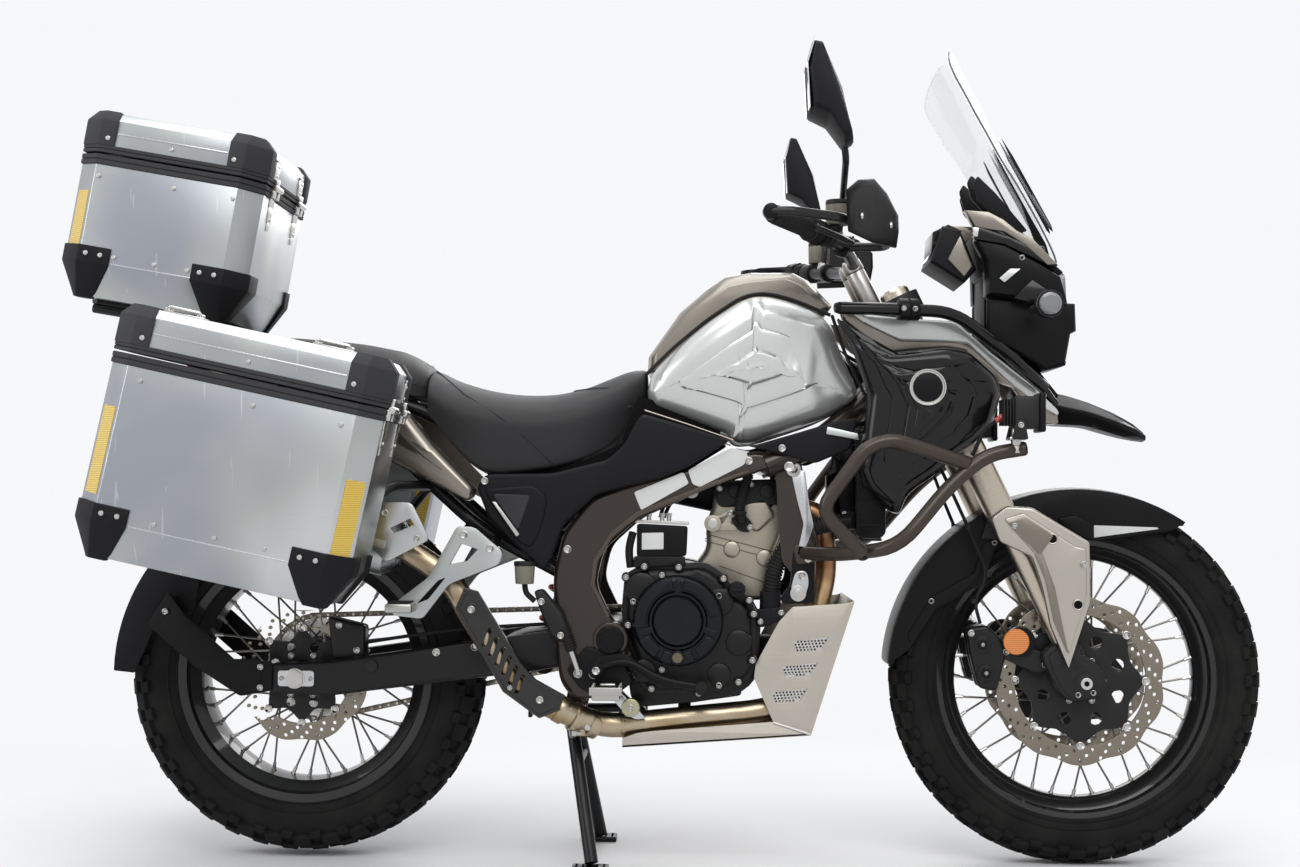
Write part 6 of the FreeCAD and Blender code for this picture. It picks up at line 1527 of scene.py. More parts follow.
    def handle(self, share: float) -> Mesh:
        """A folding wire handle in a pressed plate on the lid's top."""
        middle, w = share * self.length, self.depth + self.lid_depth
        side = self.face
        v = side * (self.width / 2 - 42)
        base = self.block((middle - 34, v - 15, w - 1), (middle + 34, v + 15, w + 2.5), 1)
        loop = [self.spot(middle + a, v + b, w + c) for a, b, c in
                ((-26, -8, 2), (-26, side * 13, 9), (26, side * 13, 9), (26, -8, 2))]
        eyes = [self.block((middle + end * 26 - 6, v - 11, w), (middle + end * 26 + 6, v - 2, w + 8), 1.5)
                for end in (-1, 1)]
        return joined([base, tube(loop, 2.6, 7, 10)] + eyes)

    def build_lid(self) -> None:
        """Lid with its sloping rim, seam band, cast corners, ribs and handles."""
        seam, top = self.depth, self.depth + self.lid_depth
        half_u, half_v = self.length / 2, self.width / 2
        piece = Piece(f"{self.name}_lid_body")
        piece.add(self.cup([(top, 17), (top - 15, 1.5), (seam + 14, 0)], 3), Palette.brushed)
        piece.add(self.band(seam + 1.5, seam + 15, 2.6), Palette.soft_plastic)
        for end in (-1, 1):
            for side in (-1, 1):
                piece.add(self.corner_cap(end, side, seam + 14, top, 26, True), Palette.soft_plastic)
                piece.add(bolt(self.spot(end * (half_u - self.chamfer - 14), side * (half_v + 3.5),
                                         seam + 27),
                               self.aim(0, side, 0), 5.2, Head.RIVET, 3), Palette.zinc)
        for side in (-1, 1):
            rib = self.block((-half_u + self.chamfer + 28, side * (half_v + 1.2), seam + 36),
                             (half_u - self.chamfer - 28, side * (half_v - 2), seam + 39), 0.8)
            piece.add(rib, Palette.brushed_edge)
            piece.add(bolt(self.spot(0, side * half_v, seam + 26), self.aim(0, side, 0), 4.6, Head.RIVET,
                           2.6),
                      Palette.zinc)
        for v in (-0.22, 0.0, 0.22):
            piece.add(self.block((-half_u + 58, v * self.width - 5, top - 1),
                                 (half_u - 58, v * self.width + 5, top + 1.4), 1.2), Palette.brushed_edge)
        for share in self.handles:
            piece.add(self.handle(share), Palette.steel)
        for span in self.hinge_spans(((-6.5, 6.5),)):
            piece.add(self.leaf(span, 1), Palette.steel)
        for v in self.latch_places():
            piece.add(self.latch(v, True), Palette.steel)
        for centre in (-self.width / 4, self.width / 4):
            piece.add(self.strap(centre, self.lid_depth - 22), Palette.steel)
        piece.place(self.lid_body, "brushed_aluminium", (f"{self.name}_lid",))

    def build(self) -> None:
        """Builds the case and its lid."""
        self.build_body()
        self.build_lid()


@dataclass
class Tank:
    """Crowned silver tank sides under a raised bronze cover."""

    face: float = 158.0
    root: float = 74.0
    outline: Outline = ((-771, 812), (-767, 866), (-722, 912), (-662, 963), (-599, 1004), (-563, 1010),
                        (-515, 999), (-447, 969), (-428, 909), (-392, 834), (-428, 806), (-467, 787),
                        (-528, 766), (-586, 747), (-613, 747), (-630, 762))
    ridge: Outline = ((-770, 872), (-769, 903), (-713, 983), (-663, 1026), (-632, 1048), (-586, 1056),
                      (-510, 1056), (-484, 1042), (-440, 996), (-470, 960), (-600, 975), (-700, 900))

    @staticmethod
    def crown(x: float, z: float) -> float:
        """How far the side stands proud of its mean face: full at the knee, hollow ahead of the crease."""
        middle = -0.00075 * (x + 575) ** 2 - 0.0012 * (z - 880) ** 2
        crease = (x + 512) * 0.72 + (z - 870) * 0.42
        hollow = -11 * min(1.0, max(0.0, crease / 26)) * min(1.0, max(0.0, (960 - z) / 60))
        return 9 + middle + hollow

    def build(self) -> None:
        """Builds the sides, the cover, the filler and the rubber strips."""
        side = pillow(self.outline, -self.root, -self.face, 34, 26, 6, 6, self.crown, 9, (-580, 880))
        Piece("tank_sides").add(both(side), Palette.silver).place(Body.MACHINE, "silver_paint",
                                                                  ("fuel_tank",),
                                                                   subdivide=1, sharp=math.radians(60))
        top = Piece("tank_top")
        lower = [(x, z - 3) for x, z in self.ridge]
        layers = [(-92, shrink(lower, 17)), (-84, shrink(lower, 7)), (-66, self.ridge), (0, self.ridge),
                  (66, self.ridge), (84, shrink(lower, 7)), (92, shrink(lower, 17))]
        top.add(layered(layers, 2.0, 25), Palette.bronze_silver)
        belly = [(-760, 800), (-760, 868), (-600, 968), (-470, 955), (-420, 880), (-470, 800), (-600, 770)]
        top.add(plate(belly, -80, 80, 20, 0), Palette.plastic)
        neck = turned_up(at(-560, 0, 1052), ((0, 14), (43, 14), (43, 8), (40, 4), (36, 5.5), (34, 10.5),
                                             (0, 10.5)))
        top.add(neck, Palette.satin)
        for index in range(6):
            turn = math.tau * index / 6
            spot = at(-560 + math.cos(turn) * 39, math.sin(turn) * 39, 1061)
            top.add(bolt(spot, Vector((0, 0, 1)), 3, Head.SOCKET, 2), Palette.zinc)
        top.place(Body.MACHINE, "bronze_paint", ("tank_cover",))
        trim = Piece("tank_trim")
        gap = path_on([(-771, -148, 866), (-722, -126, 917), (-662, -112, 968), (-600, -104, 1010),
                       (-560, -100, 1016), (-512, -104, 1004), (-447, -120, 975)])
        trim.add(both(tube(gap, 3.2, 20, 8)), Palette.hose)
        front = path_on([(-446, -150, 972), (-425, -156, 908), (-389, -160, 832)])
        trim.add(both(tube(front, 3.0, 20, 8)), Palette.hose)
        trim.place(Body.MACHINE, "black_plastic")


def shrink(outline: Outline, inset: float) -> list[tuple[float, float]]:
    """Draws an outline in towards its middle."""
    middle_x = sum(x for x, _ in outline) / len(outline)
    middle_z = sum(z for _, z in outline) / len(outline)
    result = []
    for x, z in outline:
        away = math.hypot(x - middle_x, z - middle_z)
        share = max(0.0, 1 - inset / away)
        result.append((middle_x + (x - middle_x) * share, middle_z + (z - middle_z) * share))
    return result


def turned_up(centre: Vector, section: Outline, steps: int = 48) -> Mesh:
    """Spins a section of radius, height points about an upright axis, closed at the axis."""
    shape = bmesh.new()
    verts = [shape.verts.new(centre + Vector((radius * MM, 0, height * MM))) for radius, height in section]
    edges = [shape.edges.new(pair) for pair in zip(verts, verts[1:])]
    bmesh.ops.spin(shape, geom=edges + verts, cent=centre, axis=(0, 0, 1), angle=math.tau, steps=steps,
                   use_merge=True, use_duplicate=False)
    bmesh.ops.remove_doubles(shape, verts=shape.verts, dist=MERGE)
    bmesh.ops.holes_fill(shape, edges=[e for e in shape.edges if e.is_boundary])
    bmesh.ops.recalc_face_normals(shape, faces=shape.faces)
    return shape


@dataclass
class Saddle:
    """One seat: crowned foam under tight leather, with sewn seams."""

    name: str = "rider_seat"
    half: float = 158.0
    stations: Sequence[tuple[float, ...]] = (
        (-775, 0.44, 884, 806), (-800, 0.60, 882, 776), (-836, 0.74, 868, 735), (-880, 0.86, 850, 712),
        (-934, 0.94, 838, 697), (-990, 0.99, 836, 688), (-1040, 1.0, 841, 684), (-1080, 1.0, 850, 705),
        (-1120, 0.97, 863, 748), (-1156, 0.90, 880, 792))
    seams: Sequence[Sequence[tuple[float, float]]] = ()

    def skin(self, x: float, turn: float) -> Vector:
        """A point of the cover.

        Args:
            x: Place along the machine.
            turn: Degrees round the section, 0 at the top of the middle, 90 at the widest place.

        Returns:
            Its row place, on the right side.
        """
        share, top, low = between([(-row[0], *row[1:]) for row in self.stations], -x)
        half, angle = self.half * share, math.radians(min(turn, 90))
        roll = min(64.0, 0.62 * (top - low))
        y = half * math.sin(angle) ** 0.85
        z = top - roll * (1 - math.cos(angle) ** 0.9)
        if turn > 90:
            down = (turn - 90) / 60
            y = half * (1 - 0.05 * down)
            z = top - roll - (top - roll - low) * down
        return at(x, -y, z)

    def build(self) -> None:
        """Builds the cover, its base and its seams."""
        first, last = self.stations[0][0], self.stations[-1][0]
        count = 26
        turns = [0, 12, 24, 36, 48, 60, 70, 80, 90, 105, 125, 143, 150]
        rings = []
        for index in range(count + 1):
            x = first + (last - first) * index / count
            right = [self.skin(x, turn) for turn in turns]
            left = [Vector((p.x, -p.y, p.z)) for p in right[:0:-1]]
            rings.append(right + left)
        shape = loft(rings)
        ends = [f for f in shape.faces if len(f.verts) > 4]
        for face in ends:
            bmesh.ops.inset_region(shape, faces=[face], thickness=7 * MM, use_even_offset=True)
            way = 1 if face.calc_center_median().x > (first + last) / 2 * MM + Drawing.axle_x else -1
            bmesh.ops.translate(shape, vec=Vector((way * 4 * MM, 0, 0)), verts=face.verts[:])
        piece = Piece(f"{self.name}_cover")
        piece.add(shape, Palette.hide)
        thing = piece.place(Body.MACHINE, "seat_leather", (self.name,), subdivide=2, sharp=math.radians(80))
        stitch = Piece(f"{self.name}_seams")
        for seam in self.seams:
            for shift in (-2.6, 2.6):
                points = [self.skin(x + shift, turn) for x, turn in seam]
                stitch.add(both(tube(points, 1.1, 12, 6)), Palette.thread)
            points = [self.skin(x, turn) for x, turn in seam]
            stitch.add(both(tube(points, 2.0, 12, 6)), Palette.hide)
        if self.seams:
            stitch.place(Body.MACHINE, "seat_leather")


@dataclass
class SideCovers:
    """Black covers below the seat, frame covers under the tank and bronze tail covers."""

    face: float = 163.3

    def build(self) -> None:
        """Builds the covers of both sides."""
        root = self.face
        lower = [(-776, 797), (-700, 776), (-622, 751), (-700, 702), (-748, 684), (-854, 656), (-912, 602),
                 (-932, 545), (-946, 522), (-1042, 612), (-1064, 668), (-1048, 690), (-932, 692), (-836, 716),
                 (-806, 744), (-788, 780)]
        piece = Piece("side_cover")
        piece.add(both(pillow(lower, -root + 8, -root - 15, 7, 10, 4)), Palette.plastic)
        raised = [(-1052, 664), (-962, 672), (-938, 650), (-950, 596), (-968, 560), (-1000, 580)]
        piece.add(both(pillow(raised, -root - 10, -root - 19, 5, 12, 3)), Palette.plastic)
        recess = [(-1036, 656), (-968, 654), (-990, 592)]
        piece.add(both(pillow(recess, -root - 12, -root - 22, 3, 8, 3)), Palette.soft_plastic)
        strip = [(-1035, 642), (-1029, 642), (-987, 586), (-992, 582)]
        piece.add(both(plate(strip, -root - 18, -root - 23.5, 1, 0.5)), Palette.zinc)
        upper = [(-612, 747), (-585, 742), (-510, 764), (-432, 788), (-402, 792), (-414, 738), (-475, 712),
                 (-560, 734)]
        piece.add(both(pillow(upper, -root + 4, -root - 11, 5, 8, 4)), Palette.plastic)
        piece.add(both(bolts([(-533, -root - 11, 738), (-1049, -root - 15, 678)], (0, -1, 0), 6.5)),
                  Palette.zinc)
        bracket = [(-455, 776), (-402, 764), (-399, 753), (-457, 763)]
        piece.add(both(plate(bracket, -root - 8, -root - 14, 2)), Palette.brushed)
        trim = path_on([(-772, -root - 4, 803), (-700, -root - 6, 780), (-618, -root - 6, 752)])
        piece.add(both(tube(trim, 1.5, 15, 8)), Palette.bronze_silver)
        # Painted shade: a near-black sheet behind the covers, where only shade is seen.
        backing = [(-1050, 705), (-880, 716), (-815, 745), (-785, 830), (-640, 790), (-640, 740), (-830, 690),
                   (-1050, 650)]
        piece.add(both(plate(backing, -root + 40, -root + 34, 4, 0)), Palette.gap_shade)
        piece.place(Body.MACHINE, "black_plastic", ("side_panels",))
        tail = Piece("tail_cover")
        cover = [(-1076, 640), (-1066, 664), (-1143, 743), (-1194, 806), (-1230, 850), (-1480, 902),
                 (-1566, 906), (-1580, 882), (-1400, 812), (-1300, 772), (-1226, 714)]
        tail.add(both(pillow(cover, -124, -168, 20, 10, 5, 4, lambda x, z: 0.05 * (x + 1300), 3,
                             (-1260, 800))),
                 Palette.bronze_silver)
        tail.place(Body.MACHINE, "bronze_paint", ("tail_covers",))


@dataclass
class Fairing:
    """Black side shrouds, pale accent panels over them, and the beak."""

    shroud: Outline = ((-443, 965), (-392, 921), (-354, 902), (-255, 912), (-213, 905), (-165, 865),
                       (-155, 835), (-172, 778), (-204, 747), (-234, 727), (-278, 688), (-305, 670),
                       (-320, 656), (-332, 624), (-350, 630), (-390, 668), (-404, 701), (-397, 752),
                       (-387, 830), (-413, 907))
    accent: Outline = ((-436, 986), (-389, 970), (-308, 965), (-227, 963), (-165, 911), (-93, 858),
                       (-39, 809), (-39, 787), (-84, 783), (-91, 808), (-122, 851), (-146, 858), (-158, 872),
                       (-212, 911), (-246, 915), (-348, 903), (-389, 930), (-428, 960))
    upper: Outline = ((-430, 985), (-389, 971), (-308, 966), (-228, 964), (-166, 912), (-94, 859), (-40, 810),
                      (-41, 800), (-76, 817), (-143, 869), (-207, 924), (-238, 926), (-328, 926), (-390, 954))

    @staticmethod
    def bulge(x: float, z: float) -> float:
        """The shroud is fullest beside the badge and falls away from there."""
        ahead = 0.0017 if x > -290 else 0.0008
        below = 0.0011 * max(0.0, 760 - z) ** 2
        return -ahead * (x + 290) ** 2 - below

    @staticmethod
    def lean(x: float, z: float) -> float:
        """The accent panels close in towards the beak."""
        return -0.25 * (x + 436)

    def build(self) -> None:
        """Builds shrouds, accents, blank badges and the beak."""
        piece = Piece("shroud")
        piece.add(both(pillow(self.shroud, -170, -230, 24, 10, 5, 5, self.bulge, 8, (-288, 800))),
                  Palette.gloss_black)
        piece.place(Body.MACHINE, "gloss_black", ("fairing_shrouds",), subdivide=1, sharp=math.radians(50))
        badge = Piece("blank_badge")
        face = turned([(-4, 0.2), (-4, 25), (-2, 26), (-2, 28), (-5, 29), (-5, 31), (4, 32), (4, 0.2)],
                      at(-288, -228.5, 842), 64)
        badge.add(both(face), Palette.steel)
        badge.add(both(disc(-288, -230, 842, 25, 3.4, edge=0.4)), Palette.satin)
        badge.place(Body.MACHINE, "steel")
        panel = Piece("accent")
        panel.add(both(pillow(self.accent, -152, -184, 7, 5, 3, slope=self.lean)), Palette.bronze_silver)
        panel.add(both(pillow(self.upper, -176, -191, 5, 5, 3, slope=self.lean)), Palette.silver)
        band = ((-240, 974), (-222, 972), (-174, 950), (-112, 910), (-70, 868), (-37, 826), (-41, 814),
                (-80, 856), (-119, 898), (-176, 936), (-228, 962))
        panel.add(both(pillow(band, -150, -178, 4, 4, 2, slope=self.lean)), Palette.gloss_black)
        panel.place(Body.MACHINE, "silver_paint", ("fairing_accents",))
        self.build_beak()

    def build_beak(self) -> None:
        """A long pointed beak with a raised back and a sharp side crease."""
        stations = ((-112, 842, 800, 838, 90), (-40, 846, 786, 818, 84), (20, 831, 782, 806, 72),
                    (70, 811, 768, 790, 60), (105, 793, 760, 778, 46), (128, 775, 757, 766, 26))
        rings = []
        for index in range(13):
            x = -112 + 240 * index / 12
            top, low, crease, half = between(stations, x)
            section = ((0, top), (half * 0.30, top - 1), (half * 0.42, top - 7), (half * 0.95, crease + 3),
                       (half, crease), (half * 0.9, crease - 7), (half * 0.55, low + 2), (0, low))
            rings.append(section_ring(x, section))
        piece = Piece("beak_body")
        shape = loft(rings)
        soften(shape, folded_edges(shape, 28), 1.5, 2)
        piece.add(shape, Palette.satin)
        neck = plate([(-112, 838), (-112, 918), (-66, 883), (-30, 838)], -42, 42, 4)
        piece.add(neck, Palette.satin)
        piece.place(Body.MACHINE, "gloss_black", ("beak",))


@dataclass
class Nose:
    """Headlight unit, faceted cowl, instruments, screen with its stays."""

    levels: Sequence[tuple[float, ...]] = (
        (1075, -33, 78), (1118, -50, 104), (1160, -70, 128), (1205, -93, 145), (1250, -118, 158),
        (1285, -135, 168), (1320, -152, 178), (1360, -171, 185), (1397, -190, 186), (1420, -202, 170),
        (1440, -213, 138), (1452, -220, 104), (1460, -224, 66))
    curve: float = 0.0015

    def screen_point(self, u: float, v: float) -> Vector:
        """A point of the screen: u across, v up."""
        z = 1075 + 385 * v
        x, half = between(self.levels, z)
        y = half * (2 * u - 1)
        return at(x - self.curve * y * y, y, z)

    def build_screen(self) -> None:
        """The clear sheet with its polished edge and four screws."""
        piece = Piece("screen_sheet")
        piece.add(sheet(self.screen_point, 24, 44), Palette.screen)
        piece.place(Body.MACHINE, "clear_screen", ("windscreen",), thick=3.6)
        rim = Piece("screen_edge")
        border = [self.screen_point(0, i / 30) for i in range(31)] + \
                 [self.screen_point(i / 8, 1) for i in range(1, 8)] + \
                 [self.screen_point(1, 1 - i / 30) for i in range(31)]
        rim.add(tube(border[:35], 1.7, 4, 8), Palette.edge)
        rim.add(tube(border[34:], 1.5, 4, 8), Palette.screen)
        rim.place(Body.MACHINE, "clear_screen")
        stays = Piece("screen_stays")
        strut = ((-152, 1282), (-121, 1223), (-82, 1152), (-58, 1110), (-50, 1082), (-67, 1082), (-80, 1122),
                 (-101, 1181), (-142, 1257))
        stays.add(both(plate(strut, -64, -55, 4, 1.5)), Palette.satin)
        rear = ((-190, 1236), (-159, 1206), (-101, 1137), (-114, 1134), (-142, 1152), (-169, 1170),
                (-190, 1192), (-198, 1222))
        stays.add(both(plate(rear, -54, -49, 5, 1.2)), Palette.satin)
        stays.add(both(plate([(x + 6, z - 8) for x, z in rear], -92, -88, 5, 1.2)), Palette.plastic)
        blade = ((-139, 1299), (-118, 1266), (-80, 1197), (-50, 1142), (-47, 1130), (-53, 1136), (-86, 1197),
                 (-123, 1264))
        for y in (-70, -44):
            stays.add(both(plate(blade, y, y - 3, 2, 0.8)), Palette.satin)
        stays.add(both(bolts([(-171, -54, 1206), (-66, -64, 1100), (-156, -54, 1178)], (0, -1, 0), 6)),
                  Palette.zinc)
        stays.place(Body.MACHINE, "gloss_black")
        visor = Piece("deflector")
        profile = ((0.0, -50, 1140), (0.33, -86, 1202), (0.66, -122, 1266), (1.0, -142, 1303))

        def surface(u: float, v: float) -> Vector:
            """A shallow clear blade ahead of the screen."""
            x, z = between(profile, v)
            y = (2 * u - 1) * (74 - 10 * v * v)
            return at(x + 3 - 0.0006 * y * y, y, z)
        visor.add(sheet(surface, 12, 10), Palette.screen)
        visor.place(Body.MACHINE, "clear_screen", thick=3)

    def build_cowl(self) -> None:
        """The faceted housing round the headlight."""
        piece = Piece("cowl")
        box_side = ((-168, 940), (-168, 1010), (-60, 1002), (-12, 1000), (-10, 951), (-20, 946), (-29, 895),
                    (-65, 882), (-113, 910))
        piece.add(layered([(-98, shrink(box_side, 5)), (-92, box_side), (-64, box_side)], 1.2), Palette.satin)
        piece.add(layered([(64, box_side), (92, box_side), (98, shrink(box_side, 5))], 1.2), Palette.satin)
        core = ((-168, 940), (-168, 1070), (-100, 1070), (-62, 1050), (-56, 900), (-70, 886), (-113, 910))
        piece.add(plate(core, -90, 90, 3), Palette.plastic)
        main = ((-191, 1111), (-144, 1105), (-71, 1068), (-37, 1044), (-26, 997), (-55, 985), (-124, 1006),
                (-170, 1013), (-172, 1074))
        front = ((-191, 1111), (-130, 1118), (-46, 1078), (-24, 1052), (-22, 1003), (-50, 996), (-124, 1006),
                 (-170, 1013), (-172, 1074))
        for side in (-1, 1):
            piece.add(layered([(side * 66, front), (side * 96, main), (side * 120, shrink(main, 6))][::-side],
                              1.6), Palette.satin)
        facet = ((-128, 1006), (-94, 1041), (-28, 996), (-55, 987))
        piece.add(both(layered([(-112, facet), (-124, shrink(facet, 3))], 1.0)), Palette.gloss_black)
        band = ((-191, 1133), (-131, 1115), (-104, 1102), (-71, 1068), (-101, 1083), (-144, 1102),
                (-191, 1110))
        piece.add(both(layered([(-80, band), (-118, band), (-124, shrink(band, 2))], 0.8)),
                  Palette.gloss_black)
        wing = ((-209, 1164), (-170, 1162), (-143, 1149), (-116, 1129), (-86, 1111), (-44, 1066), (-62, 1065),
                (-102, 1101), (-143, 1127), (-192, 1133))
        piece.add(both(layered([(-84, wing), (-104, wing), (-112, shrink(wing, 3))], 0.8)),
                  Palette.bronze_silver)
        bar = ((-150, 1041), (-131, 1058), (-113, 1058), (-141, 1034))
        piece.add(both(plate(bar, -118, -122.5, 1, 0.4)), Palette.silver)
        tip = ((-196, 1131), (-186, 1130), (-189, 1114), (-196, 1116))
        piece.add(both(plate(tip, -118, -125, 1, 0.4)), Palette.silver)
        roof = ((-186, 1128), (-150, 1128), (-100, 1100), (-48, 1072), (-30, 1056), (-60, 1048), (-170, 1050))
        piece.add(plate(roof, -84, 84, 4), Palette.plastic)
        piece.add(both(bolts([(-48, -108, 1032), (-110, -118, 1078)], (0, -1, 0), 5)), Palette.zinc)
        lip = ((-66, 890), (-26, 898), (-28, 890), (-64, 881))
        piece.add(plate(lip, -86, 86, 2), Palette.satin)
        piece.place(Body.MACHINE, "gloss_black", ("headlight_housing",))

    def build_lamp(self) -> None:
        """Two stacked reflector lamps behind a clear cover."""
        lamp = Piece("headlight")
        for z, radius in ((1020, 32), (945, 34)):
            bowl = [(0.5, -14), (radius * 0.5, -12), (radius * 0.85, -4), (radius, 6), (radius + 3, 6)]
            lamp.add(self.facing(bowl, -44, z), Palette.reflector)
            lens = [(0.5, 4), (11, 2.6), (16, -4), (16, -12)]
            lamp.add(self.facing(lens, -44, z), Palette.lamp_core)
        cover = ((-40, 1052), (-24, 1048), (-20, 1002), (-12, 998), (-13, 952), (-22, 946), (-32, 902),
                 (-44, 902), (-44, 1052))
        lamp.add(layered([(-62, shrink(cover, 2)), (-56, cover), (56, cover), (62, shrink(cover, 2))], 0.8),
                 Palette.lamp)
        lamp.place(Body.MACHINE, "lamp_glass", ("headlight_lens",))

    @staticmethod
    def facing(section: Outline, x: float, z: float) -> Mesh:
        """Spins radius, depth points about an axis that points ahead."""
        shape = bmesh.new()
        centre = at(x, 0, z)
        verts = [shape.verts.new(centre + Vector((depth * MM, 0, radius * MM))) for radius, depth in section]
        edges = [shape.edges.new(pair) for pair in zip(verts, verts[1:])]
        bmesh.ops.spin(shape, geom=edges + verts, cent=centre, axis=(1, 0, 0), angle=math.tau, steps=40,
                       use_merge=True, use_duplicate=False)
        bmesh.ops.remove_doubles(shape, verts=shape.verts, dist=MERGE)
        bmesh.ops.holes_fill(shape, edges=[e for e in shape.edges
                                           if e.is_boundary and e.calc_length() < 0.002])
        bmesh.ops.recalc_face_normals(shape, faces=shape.faces)
        return shape

    def build_dash(self) -> None:
        """Instrument pod with its screen, dial and buttons."""
        dash = Piece("dash")
        side = ((-266, 1076), (-244, 1141), (-212, 1133), (-183, 1062), (-205, 1038))
        dash.add(layered([(-78, shrink(side, 5)), (-72, side), (72, side), (78, shrink(side, 5))], 1.5),
                 Palette.plastic)
        pod = ((-238, 1080), (-214, 1124), (-190, 1066), (-206, 1046))
        dash.add(both(layered([(-76, pod), (-84, shrink(pod, 3))], 1.0)), Palette.bronze_silver)
        along = (at(-244, 0, 1141) - at(-266, 0, 1076)).normalized()
        out = Vector((along.z * -1, 0, along.x))
        middle = (at(-244, 0, 1141) + at(-266, 0, 1076)) / 2
        frame = Matrix((along, Vector((0, 1, 0)), out)).transposed()
        glass = box(middle - Vector((0.025, 0.055, 0.002)), middle + Vector((0.025, 0.055, 0.002)), 1.0,
                    frame)
        dash.add(glass, Palette.display)
        hood = ((-262, 1094), (-259, 1132), (-232, 1146), (-206, 1134), (-226, 1136), (-246, 1124))
        dash.add(layered([(-60, shrink(hood, 2)), (-56, hood), (56, hood), (60, shrink(hood, 2))], 0.8),
                 Palette.satin)
        for y in (-64, 64):
            dash.add(bolt(middle + out * 0.001 + Vector((0, y * MM, 0)), out, 5, Head.RIVET, 3),
                     Palette.plastic)
        dash.place(Body.MACHINE, "black_plastic", ("instruments",))

    def build(self) -> None:
        """Builds cowl, lamp, instruments and screen."""
        self.build_cowl()
        self.build_lamp()
        self.build_dash()
        self.build_screen()


